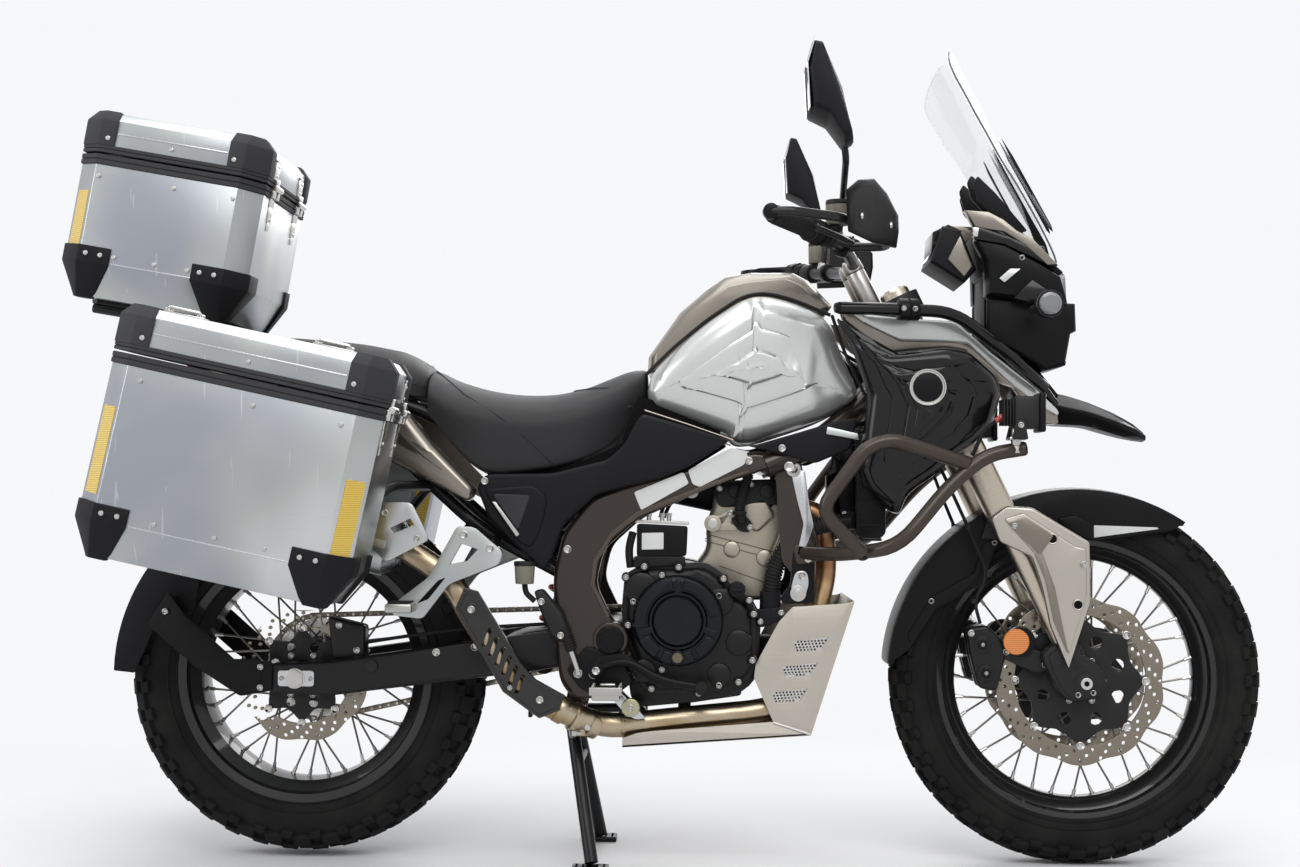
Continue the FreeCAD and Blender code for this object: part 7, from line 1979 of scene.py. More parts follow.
@dataclass
class Fork:
    """Fork legs, yokes, guards, mudguard, calipers and axle."""

    leg_y: float = 105.0
    rake: float = 26.0
    offset: float = 38.0
    upper: float = 735.0
    lower: float = 550.0

    def on(self, station: float, behind: float = 0.0, y: float = 0.0) -> Vector:
        """A row place up the fork from the axle, and behind the line of the legs."""
        turn = math.radians(self.rake)
        x = -math.sin(turn) * station - math.cos(turn) * behind
        return at(x, y, 332 + math.cos(turn) * station - math.sin(turn) * behind)

    def build_legs(self) -> None:
        """Champagne outer tubes, black lower legs with their axle clamps."""
        y = -self.leg_y
        tubes = Piece("outer_tubes")
        section = [(self.on(s, 0, y), r) for s, r in
                   ((300, 25.2), (303, 26.8), (318, 27), (534, 27), (566, 27), (719, 27), (752, 27),
                    (762, 26), (765, 24))]
        for (first, low), (second, high) in zip(section, section[1:]):
            tubes.add(both(rod(first, second, low, high, 48)), Palette.champagne)
        tubes.add(both(rod(self.on(296, 0, y), self.on(302, 0, y), 24, sides=40)), Palette.hose)
        tubes.add(both(rod(self.on(765, 0, y), self.on(768, 0, y), 17, 15, 6)), Palette.zinc)
        tubes.place(Body.STEERING, "champagne_metal", ("fork_outer_tubes",))
        legs = Piece("lower_legs")
        legs.add(both(rod(self.on(34, 0, y), self.on(296, 0, y), 20.8, 18.5, 40)), Palette.champagne)
        legs.add(both(rod(self.on(30, 0, y), self.on(66, 0, y), 24, 23, 40, 1)), Palette.cast_black)
        boot = ((-50, 322), (-30, 299), (24, 305), (39, 332), (27, 362), (-10, 386), (-52, 403), (-78, 380))
        legs.add(both(pillow(boot, y + 17, y - 20, 6, 12, 3)), Palette.cast_black)
        lip = ((-44, 326), (-26, 306), (20, 311), (32, 332), (22, 356), (-12, 377), (-48, 392), (-66, 378))
        legs.add(both(plate(lip, y - 19, y - 23, 8, 1)), Palette.cast_black)
        legs.add(both(bolts([(-14, y - 21, 312), (12, y - 21, 316)], (0, -1, 0), 5)), Palette.zinc)
        legs.place(Body.STEERING, "black_paint", ("fork_sliders",))

    def build_yokes(self) -> None:
        """Upper and lower yokes, stem nut and pinch bolts."""
        piece = Piece("yokes")
        for station in (self.lower, self.upper):
            low, high = station - 16, station + 16
            for side in (-1, 1):
                piece.add(rod(self.on(low, 0, side * self.leg_y), self.on(high, 0, side * self.leg_y), 38.5,
                              sides=48, edge=1.6), Palette.cast_black)
                for shift in (-8, 8):
                    head = self.on(station + shift, 34, side * (self.leg_y - 22))
                    piece.add(bolt(head, self.on(0, 1) - self.on(0), 5), Palette.zinc)
            outline = ((42, -52), (18, -96), (-20, -98), (-4, -42), (-4, 42), (-20, 98), (18, 96), (42, 52))
            rings = [[self.on(s, behind * k + 17 * (1 - k), y * k) for behind, y in outline]
                     for s, k in ((low, 0.97), (low + 3, 1.0), (high - 3, 1.0), (high, 0.97))]
            metal = Palette.peg if station == self.upper else Palette.cast_black
            piece.add(loft(rings), metal)
            piece.add(rod(self.on(low, self.offset), self.on(high, self.offset), 30.5, sides=40, edge=1.5),
                      metal)
        piece.add(rod(self.on(751, self.offset), self.on(757, self.offset), 19, sides=6), Palette.zinc)
        piece.place(Body.STEERING, "black_paint", ("triple_clamps",))

    def build_guards(self) -> None:
        """Pale folded covers outside the lower legs."""
        root, face = -132.6, -143.0
        outer = ((-168, 620), (-141, 641), (-95, 638), (4, 579), (6, 478), (-33, 358), (-64, 432), (-80, 505),
                 (-96, 552), (-152, 578))
        raised = ((-146, 618), (-112, 630), (-22, 572), (-3, 568), (-2, 490), (-33, 384), (-58, 440),
                  (-72, 512), (-90, 556))
        facet = ((-140, 612), (-110, 622), (-60, 590), (-84, 554))
        piece = Piece("leg_guard")
        piece.add(both(pillow(outer, root, face, 5, 5, 3)), Palette.guard_metal)
        piece.add(both(pillow(raised, face + 1, face - 5, 4, 5, 3)), Palette.guard_metal)
        # Painted shade: the facet is the guard's champagne darkened, for the fold that turns from the light.
        piece.add(both(plate(facet, face - 4, face - 7, 4, 1.4)), Palette.guard_shade)
        # The step is darkened the same way, with painted shade.
        step = ((-92, 556), (-80, 560), (-58, 500), (-46, 440), (-34, 384), (-60, 440), (-74, 512))
        piece.add(both(plate(step, face - 4, face - 6.4, 3, 1)), Palette.guard_shade)
        for x, z, radius in ((-62, 584, 8.5), (-18, 470, 8.5)):
            piece.add(both(ring(x, face - 5, z, radius, 1.6, 28)), Palette.guard_metal)
            # Painted shade in the eyelet's hole.
            piece.add(both(disc(x, face - 5.2, z, radius, 0.6, edge=0, sides=24)), Palette.gap_shade)
        piece.add(both(bolts([(-128, face - 6.5, 606), (-8, face - 5, 540)], (0, -1, 0), 5.5)), Palette.zinc)
        piece.place(Body.STEERING, "champagne_metal", ("fork_guards",))

    def build_mudguard(self) -> None:
        """A crowned guard over the tyre with side skirts and a silver insert."""
        piece = Piece("front_guard")
        half, radius = 66.0, 343.0
        centre = at(0, 0, 332)
        rings = []
        angles = [56 + 120 * i / 36 for i in range(37)]
        for angle in angles:
            turn = math.radians(angle)
            out = Vector((math.cos(turn), 0, math.sin(turn)))
            section = ((half, -14), (half - 1, -5), (half - 6, -1), (half * 0.6, 1), (0, 2))
            right = [centre + out * ((radius + lift - 2) * MM) - Vector((0, y * MM, 0))
                     for y, lift in section]
            rings.append(right + [Vector((p.x, -p.y, p.z)) for p in right[-2::-1]])
        shape = bmesh.new()
        loops = []
        for points in rings:
            verts = [shape.verts.new(point) for point in points]
            loops.append([shape.edges.new(pair) for pair in zip(verts, verts[1:])])
        for first, second in zip(loops, loops[1:]):
            bmesh.ops.bridge_loops(shape, edges=first + second)
        bmesh.ops.recalc_face_normals(shape, faces=shape.faces)
        piece.add(shape, Palette.satin)
        piece.place(Body.STEERING, "black_plastic", ("front_mudguard",), thick=3.4, subdivide=1)
        skirts = Piece("guard_skirts")
        crown = arc((0, 332), radius - 4, 56, 176, 26)
        skirt = crown + [(-300, 384), (-254, 456), (-171, 501), (-152, 560), (-110, 590), (-45, 604),
                         (29, 580), (163, 598)]
        skirts.add(both(plate(skirt, -half + 4, -half, 2, 1, steps=2)), Palette.satin)
        fold = [(-296, 392), (-250, 462), (-169, 509), (-148, 566), (-108, 598), (-122, 606), (-170, 570),
                (-186, 520), (-262, 476), (-304, 410)]
        skirts.add(both(plate(fold, -half + 0.6, -half - 3, 3, 1.2)), Palette.satin)
        insert = [(26, 607), (138, 604), (140, 601), (60, 590), (26, 585)]
        skirts.add(both(plate(insert, -half + 0.4, -half - 2.6, 1.5, 0.6)), Palette.blank)
        block = [(-38, 618), (-6, 624), (25, 608), (25, 584), (-14, 588)]
        skirts.add(both(plate(block, -half + 0.4, -half - 5, 5, 1.6)), Palette.satin)
        arm = [(-176, 582), (-120, 582), (-108, 612), (-158, 632)]
        skirts.add(both(plate(arm, -half + 1, -self.leg_y + 27.4, 3)), Palette.cast_black)
        skirts.add(both(bolts([(-150, -half - 1, 575), (-122, -half - 1, 596), (-262, -half - 1, 470)],
                              (0, -1, 0), 5)), Palette.zinc)
        skirts.place(Body.STEERING, "black_plastic")

    def build_calipers(self) -> None:
        """Black calipers with their bridges, pins, round reflectors and hoses."""
        piece = Piece("calipers")
        halves = ((-100, -78), (-63, -50))
        body = ((-205, 425), (-168, 432), (-129, 394), (-150, 312), (-182, 318), (-197, 372))
        for near, far in halves:
            piece.add(both(pillow(shrink(body, 1), far, near, 7, 9, 3)), Palette.caliper)
        piece.add(both(plate(((-204, 424), (-170, 430), (-166, 404), (-196, 398)), -80, -60, 4)),
                  Palette.caliper)
        piece.add(both(plate(((-190, 340), (-158, 330), (-154, 318), (-184, 322)), -80, -60, 3)),
                  Palette.caliper)
        for x, z in ((-176, 396), (-170, 346)):
            piece.add(both(disc(x, -97, z, 15, 6, edge=1.5)), Palette.caliper)
            piece.add(both(disc(x, -102, z, 9, 2.4, edge=0.8)), Palette.satin)
            piece.add(both(bolts([(x, -104, z)], (0, -1, 0), 3.4)), Palette.zinc)
        bridge = ((-140, 372), (-128, 404), (-72, 385), (-54, 352), (-82, 346))
        piece.add(both(pillow(bridge, -85, -98, 4, 6, 2)), Palette.cast_black)
        piece.add(both(rod(at(-110, -97, 402), at(-110, -109, 402), 27, 25.5, 48, 1)), Palette.satin)
        piece.add(both(rod(at(-118, -108, 402), at(-118, -112, 402), 23.5, 22, 48, 1)), Palette.amber)
        piece.add(both(bolts([(-66, -97, 362), (-134, -97, 384), (-196, -99, 416)], (0, -1, 0), 6)),
                  Palette.zinc)
        piece.place(Body.STEERING, "black_paint", ("front_calipers",))
        hose = Piece("brake_lines")
        route = [at(-178, -86, 432.5), at(-190, -92, 472), self.on(240, 66, -96), self.on(330, 62, -96),
                 self.on(420, 58, -78), self.on(480, 54, -46), self.on(522, 50, -14)]
        hose.add(both(tube(route, 3.1, 60, 12)), Palette.hose)
        for number in (1, 2, 3):
            clip = route[number]
            hose.add(both(rod(clip - Vector((0, 0, 0.004)), clip + Vector((0, 0, 0.004)), 5, sides=16)),
                     Palette.cast_black)
        hose.add(rod(self.on(522, 50, -16), self.on(522, 50, 16), 7.8, sides=6), Palette.zinc)
        hose.place(Body.STEERING, "grip_rubber", ("brake_hoses",))

    def build_axle(self) -> None:
        """The spindle with its hexagon end and pinch bolts."""
        piece = Piece("spindle")
        piece.add(rod(at(0, -127, 332), at(0, 127, 332), 11.8, sides=32), Palette.steel)
        piece.add(rod(at(0, -130, 332), at(0, -126, 332), 16.5, sides=32, edge=1.2), Palette.cast_black)
        piece.add(rod(at(0, -129, 332), at(0, -125.4, 332), 19.5, sides=32), Palette.cast_black)
        piece.add(rod(at(0, -133.8, 332), at(0, -129.5, 332), 10.5, 9.5, 32, 0.8), Palette.steel)
        # Painted shade in the hexagon socket of the spindle end.
        piece.add(rod(at(0, -133.9, 332), at(0, -133.5, 332), 5.2, sides=6), Palette.gap_shade)
        piece.place(Body.STEERING, "steel", ("front_axle",))

    def build(self) -> None:
        """Builds all of the fork."""
        self.build_legs()
        self.build_yokes()
        self.build_guards()
        self.build_mudguard()
        self.build_calipers()
        self.build_axle()


@dataclass
class Cockpit:
    """Handlebar with grips, switches, levers, reservoirs, hand guards and mirrors."""

    centre: Spot = (-398.0, 0.0, 1061.3)
    half: float = 430.0
    sweep: float = 165.0
    rise: float = 48.0
    bends: Sequence[float] = (0.14, 0.34, 0.6, 1.0)

    def bend(self, side: int, along: float) -> Vector:
        """A bend of the bar: 0 in the middle, 1 at its end."""
        x, _, z = self.centre
        return at(x - self.sweep * along ** 2, side * self.half * along, z + self.rise * along ** 0.8)

    def on(self, side: int, along: float) -> Vector:
        """A place on the straight runs between the bends."""
        low = max([0.0] + [station for station in self.bends if station <= along])
        high = min([station for station in self.bends if station > along] + [1.0])
        share = (along - low) / (high - low) if high > low else 0.0
        return self.bend(side, low) * (1 - share) + self.bend(side, high) * share

    def build_bar(self) -> None:
        """The tapered bar on its two risers."""
        piece = Piece("bar")
        points = [self.bend(-1, a) for a in self.bends][::-1] + [self.bend(1, a) for a in self.bends]
        piece.add(tube(points, 10.9, 70, 20), Palette.frame_black)
        up = Vector((-0.438371, 0, 0.898794))
        for side in (-1, 1):
            foot = at(-363.2, side * 42, 990.4)
            top = at(*self.centre) + Vector((0, side * 42 * MM, 0))
            piece.add(rod(foot, top - up * 0.002, 18.5, 17.5, 32, 1.2), Palette.peg)
            piece.add(rod(top - up * 0.001, top + up * 0.0195, 18.5, 17, 32, 2), Palette.peg)
            for shift in (-1, 1):
                head = top + up * 0.0195 + Vector((0.011 * shift, 0, 0.004 * shift))
                piece.add(bolt(head, up, 3.4, Head.SOCKET, 2), Palette.zinc)
        piece.place(Body.STEERING, "black_paint", ("handlebar",))

    def build_controls(self) -> None:
        """Ribbed grips, switch blocks, levers with ball ends and fluid cups."""
        piece = Piece("controls")
        ahead = Vector((1, 0, -0.25)).normalized()
        for side in (-1, 1):
            end, inboard = self.on(side, 0.985), self.on(side, 0.70)
            run = (inboard - end).normalized()
            piece.add(rod(end, end + run * 0.125, 15.4, sides=32, edge=1), Palette.grip)
            for number in range(14):
                start = end + run * (0.010 + 0.0078 * number)
                piece.add(rod(start, start + run * 0.0042, 16.2, sides=24), Palette.grip)
            piece.add(rod(end + run * 0.122, end + run * 0.127, 21, 19, 32, 1), Palette.grip)
            switch = end + run * 0.150
            piece.add(rod(switch - run * 0.023, switch + run * 0.022, 22.5, 20, 8, 3), Palette.plastic)
            # Painted shade in the split between the switch halves.
            piece.add(rod(switch - run * 0.002, switch + run * 0.001, 23, sides=8), Palette.gap_shade)
            for number, colour in enumerate((Palette.satin, Palette.red if side < 0 else Palette.satin)):
                spot = switch + run * (0.010 - 0.018 * number) + Vector((-0.021, 0, 0.004))
                piece.add(bolt(spot, Vector((-1, 0, 0.15)).normalized(), 5, Head.RIVET, 3), colour)
            perch = end + run * 0.187
            piece.add(rod(perch - run * 0.013, perch + run * 0.013, 18.5, sides=24, edge=1.5),
                      Palette.cast_black)
            pivot = perch + ahead * 0.042
            piece.add(rod(perch, pivot, 10, 9, 20, 1), Palette.cast_black)
            lever = [pivot, pivot - run * 0.060 + ahead * 0.008, end + ahead * 0.046 + run * 0.060]
            piece.add(tube(lever, 5.6, 30, 12), Palette.lever)
            piece.add(rod(lever[2] - run * 0.006, lever[2] + run * 0.004, 6.6, 5, 16, 2), Palette.lever)
            piece.add(bolt(pivot + Vector((0, 0, 0.008)), Vector((0, 0, 1)), 5, Head.SOCKET, 3), Palette.zinc)
            foot = perch + Vector((0.018, 0, 0.020))
            piece.add(rod(perch, foot, 10.5, sides=20), Palette.cast_black)
            piece.add(rod(foot, foot + Vector((0, 0, 0.034)), 21, 21.8, 36, 1.5), Palette.cup)
            piece.add(rod(foot + Vector((0, 0, 0.034)), foot + Vector((0, 0, 0.042)), 22, 21, 36, 1.5),
                      Palette.cast_black)
            for shift in (-0.012, 0.012):
                piece.add(bolt(foot + Vector((0, shift, 0.0418)), Vector((0, 0, 1)), 2.6, Head.SOCKET, 1),
                          Palette.zinc)
        piece.place(Body.STEERING, "grip_rubber", ("hand_controls",))

    def build_handguards(self) -> None:
        """Metal guard bars with moulded shells."""
        piece = Piece("hand_shields")
        for side in (-1, 1):
            across = Vector((0, side, 0))
            end = self.on(side, 1.0) + across * 0.016
            inboard = self.on(side, 0.44)
            front, reach = Vector((0.082, 0, -0.004)), Vector((0.038, 0, 0))
            loop = [end, end + Vector((0.030, 0, 0)) + across * 0.006, end + front + reach - across * 0.040,
                    inboard + front + across * 0.040, inboard + Vector((0.006, 0, 0))]
            piece.add(tube(loop, 7.8, 30, 14), Palette.lever)
            piece.add(rod(end - across * 0.008, end + across * 0.0078, 14, 12.5, 32, 1.5), Palette.satin)
            piece.add(rod(self.on(side, 0.42), self.on(side, 0.46), 16.8, sides=28, edge=1), Palette.satin)
            low, high = end + front * 1.05 + reach - across * 0.030, inboard + front * 1.05 + across * 0.060
            high.z = low.z
            run = high - low
            outline = ((0.0, -24), (0.5, -31), (1.0, -29), (1.05, 0), (1.04, 28), (0.78, 60), (0.5, 77),
                       (0.2, 66), (-0.04, 43), (-0.03, 8))
            rings = []
            for shift, shrinkage in ((1.0, 0.94), (0.0, 1.0), (6.0, 0.97), (8.0, 0.80), (9.0, 0.45)):
                ring_points = []
                for share, lift in outline:
                    s = 0.5 + (share - 0.5) * shrinkage
                    z = 20 + (lift - 20) * shrinkage
                    ring_points.append(low + run * s + Vector((shift * MM * 0.75, 0, z * MM)))
                rings.append(ring_points)
            shape = loft(rings)
            soften(shape, folded_edges(shape, 35), 1.2, 2)
            piece.add(shape, Palette.satin)
            for share in (0.2, 0.82):
                spot = low + run * share + Vector((0.0066, 0, 0.006))
                piece.add(bolt(spot, Vector((1, 0, 0)), 6, Head.SOCKET, 2.4), Palette.zinc)
        piece.place(Body.STEERING, "black_plastic", ("handguards",))

    def build_mirrors(self) -> None:
        """Tall faceted mirrors on bent stalks."""
        piece = Piece("mirror_set")
        outline = ((-430, 1224), (-444, 1216), (-473, 1252), (-505, 1268), (-509, 1345), (-497, 1389),
                   (-485, 1387), (-448, 1312), (-435, 1248))
        for side in (-1, 1):
            foot = self.on(side, 0.51)
            ball = foot + Vector((0.008, 0, 0.026))
            neck = at(-445, side * 405, 1232)
            stalk = [foot + Vector((0.004, 0, 0.012)), ball + Vector((0.002, 0, 0.040)),
                     neck + Vector((0.004, 0, -0.030)), neck]
            piece.add(tube(stalk, 5.8, 40, 14), Palette.frame_black)
            piece.add(rod(foot, foot + Vector((0.004, 0, 0.020)), 9, 8, 6), Palette.zinc)
            centre = side * 420
            layers = [(centre + side * 57, shrink(outline, 17)), (centre + side * 50, shrink(outline, 11)),
                      (centre + side * 20, shrink(outline, 3)), (centre, outline),
                      (centre - side * 30, shrink(outline, 1)), (centre - side * 54, shrink(outline, 5)),
                      (centre - side * 58, shrink(outline, 9))]
            piece.add(layered(layers[::-side], 2.0, 24), Palette.plastic)
            back = ((-506, 1272), (-510, 1345), (-498, 1386), (-500, 1386), (-512, 1345), (-508, 1272))
            rear = [(centre - side * 46, [(x + 4, z) for x, z in back]),
                    (centre + side * 46, [(x + 4, z) for x, z in back])]
            piece.add(layered(rear[::side]), Palette.mirror_glass)
        piece.place(Body.STEERING, "black_plastic", ("mirrors",))

    def build(self) -> None:
        """Builds all of the handlebar."""
        self.build_bar()
        self.build_controls()
        self.build_handguards()
        self.build_mirrors()


def ribbed(points: Sequence[Vector], radius: float, bend: float, pitch: float = 6.0) -> Mesh:
    """A convoluted hose.

    Args:
        points: Corners of its route.
        radius: Outer radius in millimetres.
        bend: Bend radius in millimetres.
        pitch: Distance from ring to ring in millimetres.

    Returns:
        The hose with its rings.
    """
    path = rounded(points, bend * MM, False, 8)
    shapes = [tube(points, radius * 0.84, bend, 20)]
    rest = pitch * MM
    for first, second in zip(path, path[1:]):
        run = second - first
        length = run.length
        if length < 1e-7:
            continue
        run.normalize()
        while rest < length:
            place = first + run * rest
            half = run * (pitch * 0.3 * MM)
            shapes.append(rod(place - half, place + half, radius, sides=20, edge=pitch * 0.12))
            rest += pitch * MM
        rest -= length
    return joined(shapes)


def sector(centre: tuple[float, float], inner: float, outer: float, first: float, last: float,
           y_root: float, y_face: float, edge: float = 1.5) -> Mesh:
    """A raised part of a ring, between two angles in degrees."""
    count = max(3, int(abs(last - first) / 8))
    outline = arc(centre, outer, first, last, count) + arc(centre, inner, last, first, count)
    return plate(outline, y_root, y_face, 2.5, edge, steps=2)


@dataclass
class Engine:
    """Cases, covers, barrel, head and what is bolted to them."""

    half: float = 128.0
    clutch: tuple[float, float] = (-712.0, 438.0)
    case: Outline = ((-786, 404), (-800, 520), (-690, 540), (-597, 486), (-566, 444), (-572, 336),
                     (-602, 308), (-673, 294), (-790, 282), (-800, 330))
    cover: Outline = ((-798, 384), (-812, 440), (-806, 520), (-770, 534), (-700, 536), (-664, 540),
                      (-632, 518), (-612, 488), (-576, 462), (-574, 346), (-610, 316), (-690, 306),
                      (-774, 308))

    def build_cases(self) -> None:
        """The crankcases with a split line, ribs, side covers and their screws."""
        piece = Piece("crankcases")
        piece.add(plate(self.case, -self.half, self.half, 22, 3), Palette.cast)
        for y in (-6, 0, 6):
            lift = 2.4 if y else 1.0
            seam = shrink(self.case, -lift)
            piece.add(plate(seam, y - 2.6, y + 2.6, 22, 0.8), Palette.cast)
        for y in range(-112, 120, 28):
            if abs(y) > 12:
                piece.add(plate(((-786, 290), (-690, 290), (-600, 304), (-600, 330), (-780, 330)), y - 2,
                                y + 2, 6),
                          Palette.cast)
        piece.add(plate(self.cover, -self.half + 2, -self.half - 12, 24, 2), Palette.cast)
        piece.add(pillow(shrink(self.cover, 9), -self.half - 10, -self.half - 30, 14, 26, 5, 6), Palette.cast)
        bumps = ((-776, 492, 30), (-640, 470, 26), (-606, 400, 24), (-640, 344, 22), (-770, 350, 22))
        for x, z, radius in bumps:
            piece.add(rod(at(x, -self.half - 16, z), at(x, -self.half - 35, z), radius, sides=32, edge=8),
                      Palette.cast)
        screws = ((-771, 531), (-711, 530), (-740, 516), (-633, 511), (-641, 481), (-588, 474), (-580, 450),
                  (-799, 429), (-803, 512), (-739, 352), (-757, 319), (-640, 326), (-582, 370), (-675, 312),
                  (-606, 332), (-790, 470))
        for x, z in screws:
            piece.add(rod(at(x, -self.half - 6, z), at(x, -self.half - 32, z), 8.5, 7.8, 20, 1), Palette.cast)
        piece.add(bolts([(x, -self.half - 31.5, z) for x, z in screws], (0, -1, 0), 5.2, Head.SOCKET, 4.5),
                  Palette.zinc)
        piece.add(rod(at(-609, -self.half - 24, 492), at(-609, -self.half - 42, 492), 15, 14, 12, 1.5),
                  Palette.plastic)
        piece.add(plate(((-618, 490), (-600, 490), (-600, 495), (-618, 495)), -self.half - 40,
                        -self.half - 47, 2),
                  Palette.plastic)
        self.build_clutch(piece)
        self.build_left(piece)
        piece.place(Body.MACHINE, "engine_alloy", ("engine",))

    def build_clutch(self, piece: Piece) -> None:
        """The round clutch cover with its raised sectors, cap and sight glass."""
        x, z = self.clutch
        face = -self.half - 56
        centre = at(x, 0, z)
        section = [(face + 40, 0), (face + 40, 77), (face + 20, 77), (face + 16, 79), (face + 12, 77.5),
                   (face + 7, 73), (face + 5, 68), (face + 7, 52), (face + 3, 50), (face, 48.5), (face, 45),
                   (face + 2, 43.5), (face - 4, 42.5), (face - 7, 40), (face - 6, 0)]
        piece.add(turned(section, centre, 120), Palette.clutch)
        for first, last in ((8, 82), (98, 190), (206, 238), (246, 262), (278, 294), (302, 334)):
            piece.add(sector((x, z), 55, 74.5, first, last, face + 9, face - 0.5, 2.4), Palette.clutch)
        for angle in (90, 198, 342):
            turn = math.radians(angle)
            spot = [(math.cos(turn) * radius, math.sin(turn) * radius) for radius in (46, 72)]
            side = (-math.sin(turn) * 5, math.cos(turn) * 5)
            outline = [(x + px + side[0] * s, z + pz + side[1] * s) for (px, pz), s in
                       ((spot[0], 1), (spot[0], -1), (spot[1], -1), (spot[1], 1))]
            piece.add(plate(outline, face + 8, face + 1, 2, 1), Palette.clutch)
        glass = at(x, 0, z - 63)
        piece.add(rod(glass + Vector((0, (face + 8) * MM, 0)), glass + Vector((0, (face - 2) * MM, 0)), 13.5,
                      12.5, 40, 1.5), Palette.clutch)
        piece.add(rod(glass + Vector((0, face * MM, 0)), glass + Vector((0, (face - 2.6) * MM, 0)), 9, 8.6,
                      32),
                  Palette.sight)

    def build_left(self, piece: Piece) -> None:
        """Generator cover, pump and gear shaft on the left."""
        left = ((-740, 350), (-740, 490), (-690, 520), (-610, 480), (-580, 430), (-590, 345), (-660, 318))
        piece.add(plate(left, self.half - 2, self.half + 12, 26, 2), Palette.cast)
        inner = plate(shrink(left, 8), self.half + 10, self.half + 28, 24, 7)
        piece.add(inner, Palette.cast)
        face = self.half + 48
        section = [(face - 40, 0), (face - 40, 66), (face - 12, 66), (face - 6, 63), (face - 3, 56),
                   (face - 3, 40), (face - 6, 38), (face - 6, 22), (face, 20), (face + 0.5, 17),
                   (face - 1, 0)]
        piece.add(turned(section, at(-650, 0, 420), 96), Palette.cast)
        screws = ((-732, 358), (-732, 484), (-686, 510), (-594, 426), (-598, 352), (-660, 326), (-606, 474))
        for x, z in screws:
            piece.add(rod(at(x, self.half, z), at(x, self.half + 28, z), 8.5, 7.8, 20, 1), Palette.cast)
        piece.add(bolts([(x, self.half + 27.5, z) for x, z in screws], (0, 1, 0), 5.2), Palette.zinc)
        piece.add(rod(at(-640, self.half, 372), at(-640, self.half + 40, 372), 30, 27, 40, 3), Palette.cast)
        sprocket = at(-759, 0, 410)
        for y, radius in ((76, 20), (84, 33), (98, 20), (112, 14)):
            piece.add(rod(sprocket + Vector((0, y * MM, 0)), sprocket + Vector((0, (y + 8) * MM, 0)), radius,
                          sides=36), Palette.chain)

    def build_barrel(self) -> None:
        """The pale barrel and head with its seams, studs and cover."""
        piece = Piece("barrel_and_head")
        barrel = ((-690, 520), (-662, 560), (-664, 600), (-652, 640), (-646, 676), (-524, 680), (-516, 640),
                  (-526, 590), (-546, 540), (-556, 470), (-620, 470))
        piece.add(pillow(barrel, 0, -88, 12, 12, 4), Palette.barrel)
        piece.add(other_side(pillow(barrel, 0, -88, 12, 12, 4)), Palette.barrel)
        seams = (((-664, 586), (-534, 553)), ((-666, 574), (-538, 541)), ((-640, 530), (-556, 500)))
        for (x0, z0), (x1, z1) in seams:
            lines = ((x0, z0), (x1, z1), (x1, z1 + 1.6), (x0, z0 + 1.6))
            piece.add(both(plate(lines, -86, -89.6, 0.4, 0.3)), Palette.barrel_dark)
        for x, z in ((-618, 560), (-560, 545)):
            piece.add(both(rod(at(x, -80, z), at(x, -93, z), 15, sides=32, edge=5)), Palette.barrel)
        web = ((-600, 640), (-560, 655), (-540, 620), (-572, 590), (-604, 604))
        piece.add(both(pillow(web, -84, -96, 6, 8, 3)), Palette.barrel)
        # Painted shade: a near-black patch for the dark port.
        port = ((-590, 668), (-548, 672), (-542, 640), (-560, 624), (-588, 632))
        piece.add(both(pillow(port, -88, -91, 2, 8, 2)), Palette.gap_shade)
        cap = ((-652, 655), (-634, 682), (-530, 686), (-511, 660), (-530, 640), (-640, 634))
        piece.add(plate(cap, -96, 96, 10, 5), Palette.cast)
        for x in (-612, -556):
            piece.add(both(rod(at(x, -95, 664), at(x, -100.6, 664), 13.5, 12.5, 32, 1)), Palette.cast)
        piece.add(both(bolts([(-640, -97, 668), (-584, -97, 676), (-530, -97, 668)], (0, -1, 0), 5)),
                  Palette.zinc)
        piece.add(rod(at(-732, -34, 548), at(-732, 70, 548), 26, sides=36, edge=3), Palette.cast)
        piece.add(rod(at(-590, 44, 372), at(-534, 44, 372), 30, 27, 36, 4), Palette.plastic)
        piece.add(rod(at(-640, 0, 650), at(-735, 0, 672), 26, 29, 36, 2), Palette.plastic)
        piece.add(rod(at(-690, -34, 662), at(-690, 34, 662), 12, sides=24), Palette.zinc)
        piece.place(Body.MACHINE, "engine_alloy")

